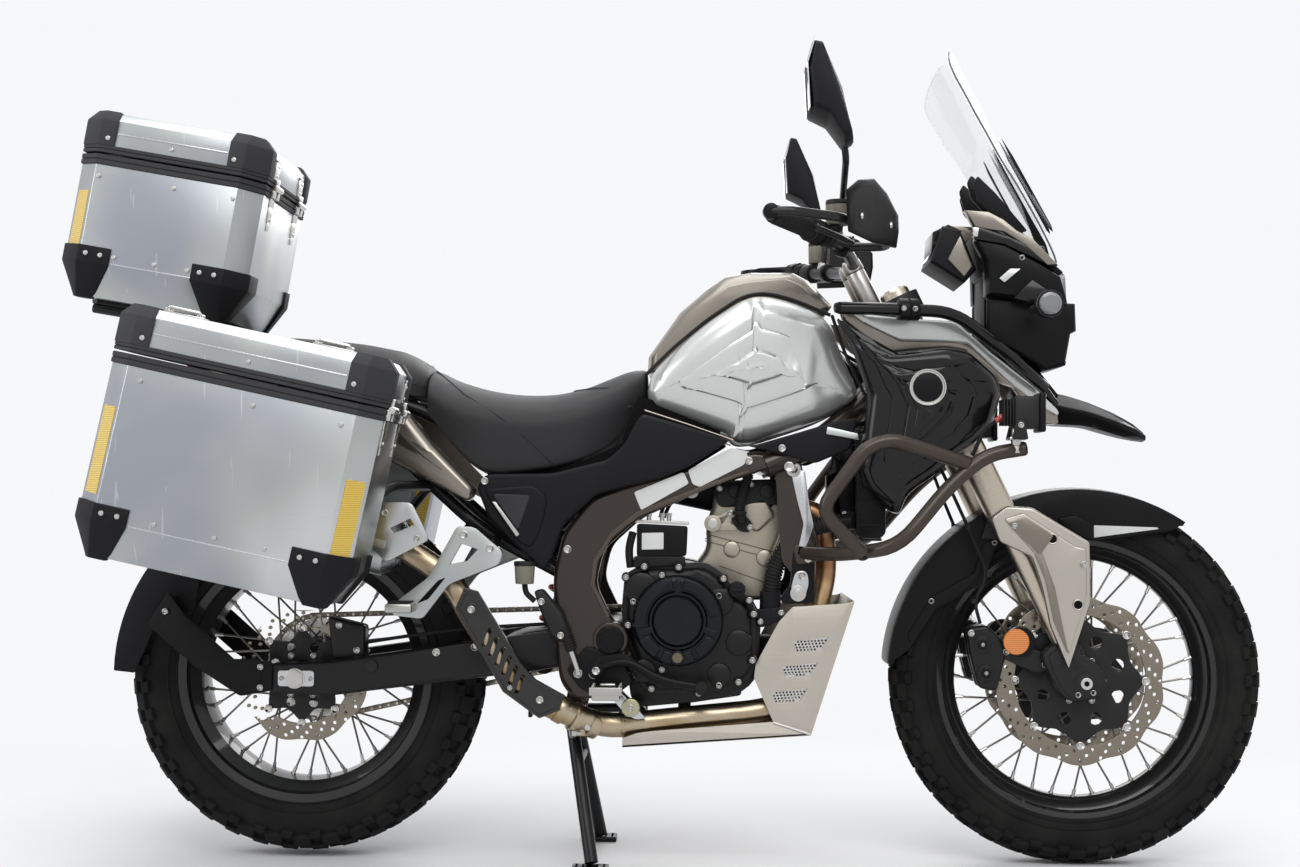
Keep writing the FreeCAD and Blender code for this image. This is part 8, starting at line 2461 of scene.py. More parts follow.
    def build_hoses(self) -> None:
        """Control box, sensor arm, convoluted hoses and the cylinder beside them."""
        piece = Piece("engine_fittings")
        box_side = ((-785, 605), (-696, 601), (-698, 549), (-785, 547))
        piece.add(plate(box_side, -100, -146, 5, 1.6), Palette.satin)
        piece.add(plate(shrink(box_side, 4), -145, -149, 4, 1), Palette.satin)
        piece.add(plate(((-776, 589), (-738, 590), (-738, 561), (-776, 560)), -148, -149.8, 1.5, 0.2),
                  Palette.blank)
        piece.add(plate(((-788, 607), (-694, 603), (-694, 609), (-788, 612)), -104, -150, 1, 0.6),
                  Palette.zinc)
        piece.add(plate(((-790, 528), (-700, 534), (-700, 548), (-790, 548)), -128, -146, 3), Palette.cast)
        for x in (-764, -741, -729):
            piece.add(rod(at(x, -138, 610), at(x, -138, 621), 4, sides=12), Palette.zinc)
            piece.add(rod(at(x, -138, 618), at(x, -138, 624), 6, sides=6), Palette.zinc)
        piece.add(tube([at(-792, -136, 590), at(-800, -132, 560), at(-796, -130, 528)], 7, 20), Palette.hose)
        piece.add(tube([at(-745, -120, 616), at(-735, -118, 650), at(-700, -110, 672)], 3.5, 20),
                  Palette.hose)
        piece.add(tube([at(-738, -122, 616), at(-726, -118, 646), at(-690, -112, 664)], 3.5, 20),
                  Palette.hose)
        arm = ((-662, 606), (-655, 618), (-640, 620), (-618, 632), (-610, 622), (-622, 606), (-606, 600),
               (-612, 594), (-640, 594))
        piece.add(plate(arm, -96, -104, 5, 1.2, (((-642, 614), (-624, 622), (-634, 606), (-642, 604)),)),
                  Palette.barrel)
        piece.add(disc(-652, -103, 606, 15, 6, edge=1.5), Palette.barrel)
        piece.add(disc(-652, -108, 606, 9, 3), Palette.zinc)
        piece.add(plate(((-622, 616), (-596, 622), (-580, 604), (-586, 590), (-606, 592)), -96, -108, 8),
                  Palette.hose)
        piece.add(bolts([(-622, -103, 623), (-586, -107, 599)], (0, -1, 0), 5.5), Palette.zinc)
        piece.add(ribbed([at(-588, -112, 694), at(-600, -114, 662), at(-606, -114, 630), at(-600, -112, 608)],
                         9.5, 20, 5), Palette.hose)
        piece.add(rod(at(-605, -114, 628), at(-605, -114, 622), 12, sides=24, edge=1), Palette.hose)
        piece.add(ribbed([at(-424, -128, 610), at(-462, -132, 606), at(-514, -130, 580), at(-544, -128, 530),
                          at(-550, -126, 480)], 15.5, 60, 6), Palette.hose)
        piece.add(rod(at(-418, -127, 611), at(-392, -125, 609), 17.5, sides=32, edge=1), Palette.hose)
        piece.add(rod(at(-550, -126, 488), at(-551, -126, 452), 18.5, sides=8, edge=2), Palette.plastic)
        piece.add(plate(((-578, 456), (-530, 462), (-526, 438), (-570, 424)), -112, -144, 8, 2),
                  Palette.plastic)
        piece.add(bolts([(-532, -143, 452), (-568, -143, 436)], (0, -1, 0), 5), Palette.zinc)
        for x, z in ((-422, 611), (-398, 610)):
            piece.add(rod(at(x - 3, -128, z), at(x + 3, -128, z), 19, sides=32), Palette.zinc)
        piece.place(Body.MACHINE, "grip_rubber")

    def build_brackets(self) -> None:
        """Silver engine hangers and the black fixing plate ahead of the cylinder."""
        piece = Piece("engine_hangers")
        front = ((-517, 700), (-492, 700), (-484, 640), (-476, 604), (-494, 552), (-506, 552), (-494, 606),
                 (-506, 650))
        piece.add(both(plate(front, -147.6, -152, 5)), Palette.brushed_edge)
        fixing = ((-512, 560), (-474, 558), (-474, 470), (-530, 466), (-534, 478), (-516, 500))
        piece.add(both(plate(fixing, -134, -149, 8, 2)), Palette.satin)
        lug = ((-508, 524), (-488, 526), (-484, 504), (-492, 476), (-512, 476), (-516, 494))
        piece.add(both(plate(lug, -148.4, -153, 8, 1)), Palette.brushed_edge)
        piece.add(both(disc(-503, -152, 486, 14, 3, edge=1)), Palette.zinc)
        piece.add(both(bolts([(-503, -155, 486)], (0, -1, 0), 9, Head.HEX, 6)), Palette.zinc)
        piece.add(both(bolts([(-497, -152.6, 517)], (0, -1, 0), 7, Head.SOCKET, 5)), Palette.zinc)
        piece.add(both(disc(-512, -150, 702, 13, 4, edge=1)), Palette.zinc)
        piece.add(both(bolts([(-512, -153, 702)], (0, -1, 0), 8, Head.SOCKET, 5)), Palette.zinc)
        piece.place(Body.MACHINE, "brushed_aluminium")

    def build(self) -> None:
        """Builds the whole engine."""
        self.build_cases()
        self.build_barrel()
        self.build_hoses()
        self.build_brackets()


@dataclass
class Cooling:
    """The radiator with its fins, tanks, cap and fan."""

    near: float = -398.0
    ahead: float = -358.0
    low: float = 578.0
    high: float = 772.0

    def build(self) -> None:
        """Builds rows of tubes and fins between two end tanks."""
        piece = Piece("radiator_body")
        # Painted shade: a near-black block inside the core, behind the tubes and fins.
        piece.add(box(at(self.near + 6, -149, self.low + 4), at(self.ahead - 8, 149, self.high - 4)),
                  Palette.gap_shade)
        for index in range(23):
            z = self.low + 6 + 8.2 * index
            piece.add(box(at(self.near + 2, -150, z), at(self.ahead - 4, 150, z + 2), 0), Palette.cast_black)
        fins = [box(at(self.near + 4, y, self.low + 2), at(self.ahead - 6, y + 0.7, self.high - 2), 0)
                for y in range(-147, 148, 3)]
        piece.add(joined(fins), Palette.fin)
        for z in (self.low, self.high - 5):
            piece.add(box(at(self.near, -150, z), at(self.ahead, 150, z + 5), 1), Palette.cast_black)
        tank = ((-404, 590), (-404, 760), (-392, 768), (-362, 768), (-352, 758), (-352, 592), (-362, 582),
                (-392, 582))
        piece.add(both(plate(tank, -149, -165.4, 5, 4)), Palette.satin)
        for z in range(604, 760, 22):
            piece.add(both(plate(((-400, z), (-356, z), (-356, z + 3), (-400, z + 3)), -163, -166.2, 1, 0.5)),
                      Palette.satin)
        piece.add(both(rod(at(-404, -157, 612), at(-424, -140, 611), 14, sides=28)), Palette.satin)
        piece.add(rod(at(-380, 118, 768), at(-380, 118, 784), 14, sides=28), Palette.zinc)
        piece.add(rod(at(-380, 118, 779), at(-380, 118, 788), 19, 17, 12, 1), Palette.zinc)
        piece.add(rod(at(-399, 0, 674), at(-424, 0, 674), 74, 74, 48, 2), Palette.plastic)
        blades = []
        for index in range(7):
            turn = Matrix.Rotation(math.tau * index / 7, 4, "X")
            blade = box(Vector((-0.003, -0.012, 0.018)), Vector((0.003, 0.016, 0.069)), 0.5,
                        Matrix.Rotation(0.5, 4, "Z"))
            bmesh.ops.transform(blade, matrix=Matrix.Translation(at(-426, 0, 674)) @ turn, verts=blade.verts)
            blades.append(blade)
        piece.add(joined(blades), Palette.satin)
        piece.add(rod(at(-424, 0, 674), at(-446, 0, 674), 24, 20, 28, 2), Palette.satin)
        piece.place(Body.MACHINE, "black_plastic", ("radiator",))


@dataclass
class Exhaust:
    """Headers, the long pipe with its clamp, the slotted shield and the silencer."""

    radius: float = 22.0
    route: Sequence[Spot] = (
        (-474, -92, 430), (-490, -104, 300), (-560, -108, 276), (-700, -110, 262), (-835, -122, 248),
        (-900, -146, 272), (-985, -166, 312), (-1070, -168, 440), (-1110, -166, 510), (-1190, -162, 560))

    def build_pipes(self) -> None:
        """Two copper headers, the collector and the pipe to the silencer."""
        piece = Piece("pipes")
        for y in (-30, -66):
            route = [at(-524, y, 640), at(-455, y, 624), at(-448, y, 520), at(-474, -92, 418)]
            piece.add(tube(route, 18.7, 30, 24), Palette.copper)
            out = (at(-455, y, 624) - at(-524, y, 640)).normalized()
            foot = at(-524, y, 640)
            piece.add(rod(foot + out * 0.010, foot + out * 0.018, 27, sides=32, edge=1), Palette.cast)
            for shift in (-23, 23):
                spot = foot + Vector((0.004, shift * MM, 0))
                piece.add(rod(spot, spot + out * 0.024, 4, sides=12), Palette.zinc)
                piece.add(rod(spot + out * 0.014, spot + out * 0.021, 6.5, sides=6), Palette.zinc)
        piece.add(rod(at(-466, -88, 462), at(-479, -94, 408), 25, 22.5, 32, 2), Palette.copper)
        piece.add(tube([at(*point) for point in self.route], self.radius - 0.3, 70, 32), Palette.pipe)
        for start, end, radius in (((-852, -127, 250), (-868, -133, 257), 25),
                                   ((-884, -140, 264), (-896, -145, 270), 26),
                                   ((-908, -149, 276), (-922, -152, 284), 24.5),
                                   ((-806, -119, 251), (-812, -120, 250), 23.4)):
            piece.add(rod(at(*start), at(*end), radius, sides=40, edge=1.2), Palette.pipe)
        piece.add(box(at(-890, -150, 234), at(-872, -128, 246), 2), Palette.pipe)
        piece.add(rod(at(-892, -152, 240), at(-866, -138, 238), 5, sides=16), Palette.zinc)
        piece.add(bolt(at(-892, -152, 240), Vector((-0.8, -0.4, 0)), 8, Head.HEX, 7), Palette.zinc)
        piece.add(bolt(at(-868, -152, 250), Vector((0, -1, 0)), 6, Head.HEX, 5), Palette.zinc)
        piece.place(Body.MACHINE, "gold_steel", ("exhaust_pipe",))

    def build_shield(self) -> None:
        """A black folded shield with slanted slots and three screws."""
        outline = ((-1094, 462), (-1080, 491), (-1058, 485), (-983, 362), (-958, 335), (-906, 308),
                   (-914, 287), (-948, 273), (-1010, 316))
        slots = []
        for index in range(6):
            x, z = -1034 + 11.4 * index, 424 - 16 * index
            dx, dz = -12.5, -32
            nx, nz = 3.2, -1.2
            slots.append(((x - nx, z - nz), (x + nx, z + nz), (x + dx + nx, z + dz + nz),
                          (x + dx - nx, z + dz - nz)))
        piece = Piece("pipe_shield")
        piece.add(plate(outline, -192, -196, 5, 1, slots), Palette.shield)
        fold = ((-1096, 458), (-1080, 493), (-1057, 487), (-981, 363), (-956, 336), (-905, 309), (-909, 304),
                (-960, 329), (-986, 358), (-1061, 479), (-1077, 484), (-1090, 456))
        piece.add(plate(fold, -183, -198, 2, 1), Palette.shield)
        low = ((-1096, 458), (-1012, 315), (-949, 270), (-912, 285), (-915, 290), (-949, 276), (-1008, 320),
               (-1090, 460))
        piece.add(plate(low, -183, -198, 2, 1), Palette.shield)
        for x, z in ((-1068, 456), (-948, 302)):
            piece.add(disc(x, -195, z, 11, 2.6, edge=0.8), Palette.shield)
            piece.add(bolt(at(x, -196.5, z), Vector((0, -1, 0)), 6.5), Palette.zinc)
            piece.add(rod(at(x, -172, z), at(x, -195, z), 6, sides=16), Palette.zinc)
        piece.add(bolt(at(-1000, -196, 322), Vector((0, -1, 0)), 4.5), Palette.zinc)
        piece.place(Body.MACHINE, "gold_steel", ("exhaust_shield",))

    def build_silencer(self) -> None:
        """The brushed can with bands, a stepped outlet and a slotted front cover."""
        front, back = at(-1190, -162, 560), at(-1500, -162, 640)
        run = (back - front).normalized()
        length = (back - front).length / MM
        piece = Piece("silencer_can")
        section = ((0, 14), (0, 32), (6, 40), (26, 57.5), (58, 57.5), (59, 56), (63, 56), (64, 57.5),
                   (length - 40, 57.5), (length - 39, 56), (length - 35, 56), (length - 34, 57.5),
                   (length - 8, 47), (length, 26), (length + 29, 24), (length + 29.5, 22), (length + 8, 19))
        finishes = [Palette.brushed_edge] * 3 + [Palette.brushed] * 9 + [Palette.satin] * 4
        for (low, first), (high, second), finish in zip(section, section[1:], finishes):
            piece.add(rod(front + run * (low * MM),
                          front + run * ((high if high != low else high + 0.4) * MM), first, second,
                          64), finish)
        # Painted shade: a near-black plug inside the outlet.
        piece.add(rod(front + run * ((length + 2) * MM), front + run * ((length + 29.8) * MM), 18.5,
                      sides=40),
                  Palette.gap_shade)
        for low in (96, length - 84):
            piece.add(rod(front + run * (low * MM), front + run * ((low + 12) * MM), 58, sides=64, edge=0.6),
                      Palette.brushed_edge)
        cover = ((-1226, 640), (-1170, 640), (-1138, 576), (-1213, 537), (-1244, 566))
        slot = ((-1206, 596), (-1172, 612), (-1166, 602), (-1200, 586))
        piece.add(plate(cover, -214, -219, 10, 1.2, (slot,)), Palette.brushed)
        piece.add(bolts([(-1216, -218.5, 622), (-1160, -218.5, 578)], (0, -1, 0), 5.5), Palette.zinc)
        piece.place(Body.MACHINE, "brushed_aluminium", ("silencer",))

    def build(self) -> None:
        """Builds the whole exhaust."""
        self.build_pipes()
        self.build_shield()
        self.build_silencer()


@dataclass
class SkidPlate:
    """Folded sheet under the engine with perforated windows."""

    half: float = 146.0
    wing: Outline = ((-536, 436), (-512, 462), (-417, 469), (-404, 473), (-479, 241), (-545, 262),
                     (-579, 338), (-576, 362))

    def window(self, x: float, z: float) -> Outline:
        """A slanted window from its lower left corner."""
        return ((x, z + 14), (x + 62, z + 22), (x + 50, z), (x + 6, z - 5))

    def build(self) -> None:
        """Builds wings, pan, front, weld beads and the mesh behind the windows."""
        piece = Piece("skid_sheet")
        windows = [self.window(-511, 388), self.window(-530, 344), self.window(-548, 299)]
        shape = plate(self.wing, -self.half + 4, -self.half, 3, 0.8, windows)
        piece.add(shape, Palette.sheet)
        piece.add(other_side(plate(self.wing, -self.half + 4, -self.half, 3, 0.8, windows)), Palette.sheet)
        for window in windows:
            cells = []
            x0, z0 = window[3]
            for row in range(6):
                for column in range(12):
                    x = x0 - 4 + column * 6 + (3 if row % 2 else 0) + row * 1.2
                    z = z0 + 3 + row * 5 + column * 0.4
                    low = z0 + (x - x0) * 0.1 + 2
                    high = window[0][1] + (x - window[0][0]) * 0.13 - 2
                    right = window[2][0] + (z - window[2][1]) * 0.55 - 2
                    left = window[0][0] + (window[0][1] - z) * 0.35 + 2
                    if low < z < high and left < x < right:
                        cells.append(circle_outline(x, z, 1.9, 8))
            mesh_sheet = [(x, z) for x, z in shrink(window, -3)]
            piece.add(both(plate(mesh_sheet, -self.half + 6.5, -self.half + 5, 1, 0, cells, steps=2)),
                      Palette.steel)
        pan = ((-808, 215), (-479, 239), (-481, 243), (-808, 219))
        piece.add(plate(pan, -self.half, self.half, 1, 0.8), Palette.sheet)
        lip = ((-808, 215), (-808, 231), (-783, 240), (-755, 244), (-547, 262), (-478, 242), (-479, 240))
        piece.add(both(plate(lip, -self.half + 4, -self.half, 2, 0.8)), Palette.sheet)
        front = ((-479, 240), (-404, 473), (-408, 474), (-483, 242))
        piece.add(plate(front, -self.half + 1, self.half - 1, 1, 0.8), Palette.sheet)
        piece.add(both(tube([at(-545, -self.half, 261), at(-512, -self.half, 251), at(-480, -self.half, 241)],
                            2.6, 5, 10)), Palette.zinc)
        # Painted shade in the slots of the front face.
        for y in range(-90, 91, 60):
            slot = ((-466, 286), (-448, 342), (-450, 343), (-468, 287))
            piece.add(plate(slot, y - 16, y + 16, 1, 0), Palette.gap_shade)
        for x in (-760, -560):
            for y in (-90, 90):
                z = 215 + (x + 808) * 0.0745
                piece.add(bolt(at(x, y, z + 0.4), Vector((0.07, 0, -1)), 8, Head.SOCKET, 2), Palette.zinc)
        for y in (-40, 40):
            piece.add(box(at(-712, y - 20, 224), at(-690, y + 20, 299), 2), Palette.cast_black)
        piece.place(Body.MACHINE, "brushed_aluminium", ("skid_plate",))


@dataclass
class Chassis:
    """Main frame, swingarm, shock, chain and spindle."""

    spar_y: float = 137.0
    spar: Outline = ((-515, 716), (-574, 736), (-700, 702), (-800, 676), (-868, 648), (-915, 585),
                     (-930, 515), (-928, 440), (-918, 330), (-895, 300), (-850, 300), (-800, 350),
                     (-800, 410), (-828, 442), (-856, 500), (-842, 560), (-785, 612), (-661, 668))
    lower: float = 550.0

    def on_stem(self, station: float, y: float = 0.0) -> Vector:
        """A row place up the steering stem."""
        return Fork().on(station, Fork().offset, y)

    def build_frame(self) -> None:
        """Rolled side spars, beams to the head tube, hangers, lugs and their fasteners."""
        piece = Piece("frame_spars")
        y = -self.spar_y
        piece.add(both(plate(self.spar, y, y - 16, 18, 1)), Palette.bronze)
        piece.add(both(pillow(self.spar, y - 14, y - 26, 11, 18, 5, 5)), Palette.bronze)
        # Painted highlight: a paler bronze strip along the spar's rolled inner edge, where the light catches
        # it.
        rim = ((-781, 618), (-825, 584), (-853, 538), (-857, 499), (-830, 444), (-836, 441), (-864, 499),
               (-860, 541), (-830, 590), (-785, 626), (-661, 676), (-590, 700), (-590, 696), (-661, 668))
        piece.add(both(plate(rim, y - 20, y - 27.4, 3, 1.2)), Palette.bronze_highlight)
        for side in (-1, 1):
            beam = [self.on_stem(self.lower + 100), at(-402, side * 104, 800), at(-478, side * 134, 742),
                    at(-562, side * 149, 708)]
            piece.add(tube(beam, 21.7, 60, 28), Palette.bronze)
        head = [self.on_stem(s) for s in (570, 715)]
        piece.add(rod(head[0], head[1], 31.6, sides=48, edge=2), Palette.bronze)
        for station in (572, 706):
            piece.add(rod(self.on_stem(station), self.on_stem(station + 8), 34.5, sides=48, edge=1.5),
                      Palette.bronze)
        piece.add(rod(self.on_stem(640), at(-250, 0, 905), 12.6, sides=24), Palette.bronze)
        hanger = ((-545, 712), (-500, 722), (-466, 560), (-478, 528), (-508, 515), (-532, 540))
        piece.add(both(plate(hanger, y + 4, y - 10, 10, 2)), Palette.bronze)
        for x, z, radius in ((-885, 322, 14), (-880, 610, 16), (-560, 708, 14)):
            piece.add(rod(at(x, y - 4, z), at(x, -y + 4, z), radius, sides=32), Palette.bronze)
        piece.add(both(rod(at(-829, y - 20, 404), at(-829, y - 34, 404), 32, 30, 48, 3)), Palette.bronze)
        piece.add(both(rod(at(-829, y - 33, 404), at(-829, y - 45, 404), 25, 23.5, 48, 2)), Palette.satin)
        piece.add(both(repeated(box(at(-806.5, y - 46.5, 401), at(-812, y - 42, 407), 1), at(-829, 0, 404),
                                10)),
                  Palette.satin)
        piece.add(both(bolts([(-857, y - 26, 345)], (0, -1, 0), 8.5, Head.SOCKET, 6)), Palette.zinc)
        for lug_y in (-79, 69):
            piece.add(plate(((-922, 246), (-888, 246), (-866, 322), (-902, 334)), lug_y, lug_y + 10, 6),
                      Palette.bronze)
        piece.add(rod(at(-905, -84, 262), at(-905, 84, 262), 7.8, sides=24), Palette.zinc)
        ear = at(-790, 172, 248)
        along = Vector((0, math.cos(math.radians(15)), math.sin(math.radians(15))))
        piece.add(rod(ear - along * 0.024, ear - along * 0.009, 15, sides=32, edge=1), Palette.bronze)
        piece.add(rod(ear - along * 0.024, ear + along * 0.011, 7.9, sides=24), Palette.zinc)
        piece.add(rod(ear + along * 0.0085, ear + along * 0.013, 12, sides=6), Palette.zinc)
        piece.add(rod(at(-868, 145, 318), ear - along * 0.020, 8, sides=20), Palette.bronze)
        for x, z, radius in ((-520, 706, 9), (-590, 716, 7), (-905, 560, 7)):
            piece.add(both(bolts([(x, y - 25, z)], (0, -1, 0), radius)), Palette.zinc)
        piece.place(Body.MACHINE, "bronze_paint", ("main_frame",))
        self.build_labels()

    def build_labels(self) -> None:
        """The two plain plates on the upper spar."""
        piece = Piece("spar_plates")
        plates = (((-790, 660), (-704, 696), (-694, 676), (-777, 629)),
                  ((-696, 699), (-622, 738), (-595, 734), (-591, 720), (-599, 709), (-675, 670), (-688, 675)))
        for outline in plates:
            piece.add(both(plate(outline, -self.spar_y - 25.5, -self.spar_y - 27.2, 4, 0.3)), Palette.blank)
        piece.place(Body.MACHINE, "silver_paint")

    def build_swingarm(self) -> None:
        """Box arms with rolled edges, a bridge, chain adjusters and bobbin bosses."""
        piece = Piece("arms")
        x, z = REAR_AXLE
        outline = ((-815, 432), (-960, 412), (x + 60, z + 31), (x - 46, z + 25), (x - 46, z - 27),
                   (x + 60, z - 31), (-960, 345), (-815, 374))
        arm = ((-1010, 406), (x + 60, z + 31), (x - 46, z + 25), (x - 46, z - 27), (x + 60, z - 31),
               (-1010, 345))
        piece.add(both(plate(outline, -110, -130.8, 8, 3)), Palette.frame_black)
        piece.add(both(pillow(arm, -130, -139.8, 7, 8, 4)), Palette.frame_black)
        piece.add(rod(at(-829, -130, 404), at(-829, 130, 404), 30, sides=40, edge=2), Palette.frame_black)
        bridge_back, bridge_front = x + 321 + 34, -905
        middle = bridge_front * 0.36 + bridge_back * 0.64
        web = ((bridge_front, 425), (bridge_front, 368), (middle, 352), (bridge_back, 360),
               (bridge_back, 395), (middle, 410))
        piece.add(plate(web, -112, 112, 6, 4), Palette.frame_black)
        piece.add(both(plate(((x - 30, z + 14), (x + 34, z + 14), (x + 34, z - 14), (x - 30, z - 14)), -139,
                             -142.6, 6, 1)), Palette.brushed_edge)
        for shift in (-24, 28):
            piece.add(both(bolts([(x + shift, -142, z)], (0, -1, 0), 4)), Palette.zinc)
        piece.add(both(box(at(x - 52, -134, z - 22), at(x - 46, -112, z + 20), 1.5)), Palette.cast_black)
        piece.add(both(rod(at(x - 62, -124, z), at(x - 20, -124, z), 4, sides=16)), Palette.zinc)
        piece.add(both(bolts([(x - 54, -124, z)], (-1, 0, 0), 7, Head.HEX, 5)), Palette.zinc)
        for px, pz in ((-1136, 377), (-1068, 387)):
            piece.add(both(bolts([(px, -139.5, pz)], (0, -1, 0), 7)), Palette.zinc)
        piece.add(both(rod(at(-1250, -138, 352), at(-1250, -145, 352), 12, 11, 32, 1)), Palette.cast_black)
        caliper = ((x + 118, z + 30), (x + 60, z + 30), (x + 50, z + 108), (x + 118, z + 92))
        piece.add(pillow(shrink(caliper, 0.5), -86, -113, 6, 8, 3), Palette.caliper)
        piece.add(plate(shrink(caliper, 1), -72, -76, 6, 1), Palette.caliper)
        piece.add(bolts([(x + 104, -113, z + 48), (x + 72, -113, z + 92)], (0, -1, 0), 6), Palette.zinc)
        piece.add(tube([at(x + 112, -100, z + 60), at(x + 170, -104, z + 70), at(x + 300, -118, 418),
                        at(-900, -124, 430), at(-880, -128, 470)], 3.2, 40), Palette.hose)
        piece.place(Body.MACHINE, "black_paint", ("swingarm",))
        spindle = Piece("rear_spindle")
        spindle.add(rod(at(x, -142, z), at(x, 142, z), 11.8, sides=32), Palette.steel)
        spindle.add(both(rod(at(x, -140.5, z), at(x, -144, z), 18, sides=40, edge=0.8)), Palette.zinc)
        spindle.add(both(rod(at(x, -143.5, z), at(x, -147.8, z), 16.6, sides=6, edge=1)), Palette.zinc)
        spindle.place(Body.MACHINE, "steel", ("rear_axle",))

    def build_shock(self) -> None:
        """A wound red spring round its damper, with collars and a remote reservoir."""
        foot, head = at(-957, 0, 348), at(-881, 0, 609)
        run = (head - foot).normalized()
        low, high = foot + run * 0.048, head - run * 0.050
        piece = Piece("spring_and_damper")
        piece.add(rod(foot, head, 10, sides=32), Palette.steel)
        piece.add(rod(low, low + run * 0.090, 19, sides=40, edge=1.5), Palette.satin)
        for start in (low - run * 0.006, high):
            piece.add(rod(start, start + run * 0.006, 34, sides=48, edge=1.5), Palette.satin)
        piece.add(rod(high - run * 0.012, high, 27, sides=24, edge=2), Palette.zinc)
        across = run.cross(Vector((0, 1, 0))).normalized()
        other = run.cross(across)
        turns, steps = 6, 26
        points = []
        for index in range(turns * steps + 1):
            angle = math.tau * index / steps
            share = index / (turns * steps)
            out = across * math.cos(angle) + other * math.sin(angle)
            points.append(low + (high - low) * share + out * 0.029)
        piece.add(tube(points, 5.4, 0.1, 12), Palette.shock_red)
        for end in (foot, head):
            piece.add(rod(end - Vector((0, 0.022, 0)), end + Vector((0, 0.022, 0)), 19, sides=36, edge=2),
                      Palette.satin)
        piece.place(Body.MACHINE, "spring_steel", ("rear_shock",))

    def build_chain(self) -> None:
        """A roller chain of side plates and pins round both sprockets."""
        big, small = (*REAR_AXLE, 96.5), (-759.0, 410.0, 38.5)
        heading = math.atan2(small[1] - big[1], small[0] - big[0])
        distance = math.hypot(small[1] - big[1], small[0] - big[0])
        lean = math.asin((big[2] - small[2]) / distance)
        straight = distance * math.cos(lean)
        sweeps = (math.pi + 2 * lean, math.pi - 2 * lean)
        total = big[2] * sweeps[0] + small[2] * sweeps[1] + 2 * straight
        count = 2 * round(total / LINK_PITCH / 2)
        piece = Piece("roller_chain")
        plates, pins = [], []
        for index in range(count):
            x, z, turn = self.on_belt(total * index / count, big, small, heading, lean, straight, sweeps)
            half = total / count / 2
            along = Vector((math.cos(turn), 0, math.sin(turn)))
            place = at(x, 88.5, z)
            far = 6.6 if index % 2 else 4.6
            for side in (-far, far):
                link = box(Vector((-half - 3.2, -0.8, -4.6)) * MM, Vector((half + 3.2, 0.8, 4.6)) * MM, 1.6)
                spin = Matrix.Rotation(-turn, 4, "Y")
                centre = place + along * (half * MM) + Vector((0, side * MM, 0))
                bmesh.ops.transform(link, matrix=Matrix.Translation(centre) @ spin, verts=link.verts)
                plates.append(link)
            pins.append(rod(place - Vector((0, 0.0084, 0)), place + Vector((0, 0.0084, 0)), 2.6, sides=10))
            pins.append(rod(place - Vector((0, 0.004, 0)), place + Vector((0, 0.004, 0)), 4.6, sides=12))
        piece.add(joined(plates), Palette.chain)
        piece.add(joined(pins), Palette.steel)
        piece.place(Body.MACHINE, "steel", ("drive_chain",))

    def on_belt(self, rest: float, big: tuple, small: tuple, heading: float, lean: float, straight: float,
                sweeps: tuple) -> Spot:
        """A place on the belt round two circles and its heading in radians."""
        runs = ((big, math.pi / 2 - lean, sweeps[0]), (small, -math.pi / 2 + lean, sweeps[1]))
        for (x, z, radius), start, sweep in runs:
            if rest <= radius * sweep:
                turn = heading + start + rest / radius
                return x + math.cos(turn) * radius, z + math.sin(turn) * radius, turn + math.pi / 2
            rest -= radius * sweep
            turn = heading + start + sweep
            if rest <= straight:
                return (x + math.cos(turn) * radius - math.sin(turn) * rest,
                        z + math.sin(turn) * radius + math.cos(turn) * rest, turn + math.pi / 2)
            rest -= straight
        return self.on_belt(0.0, big, small, heading, lean, straight, sweeps)

    def build(self) -> None:
        """Builds the whole chassis."""
        self.build_frame()
        self.build_swingarm()
        self.build_shock()
        self.build_chain()


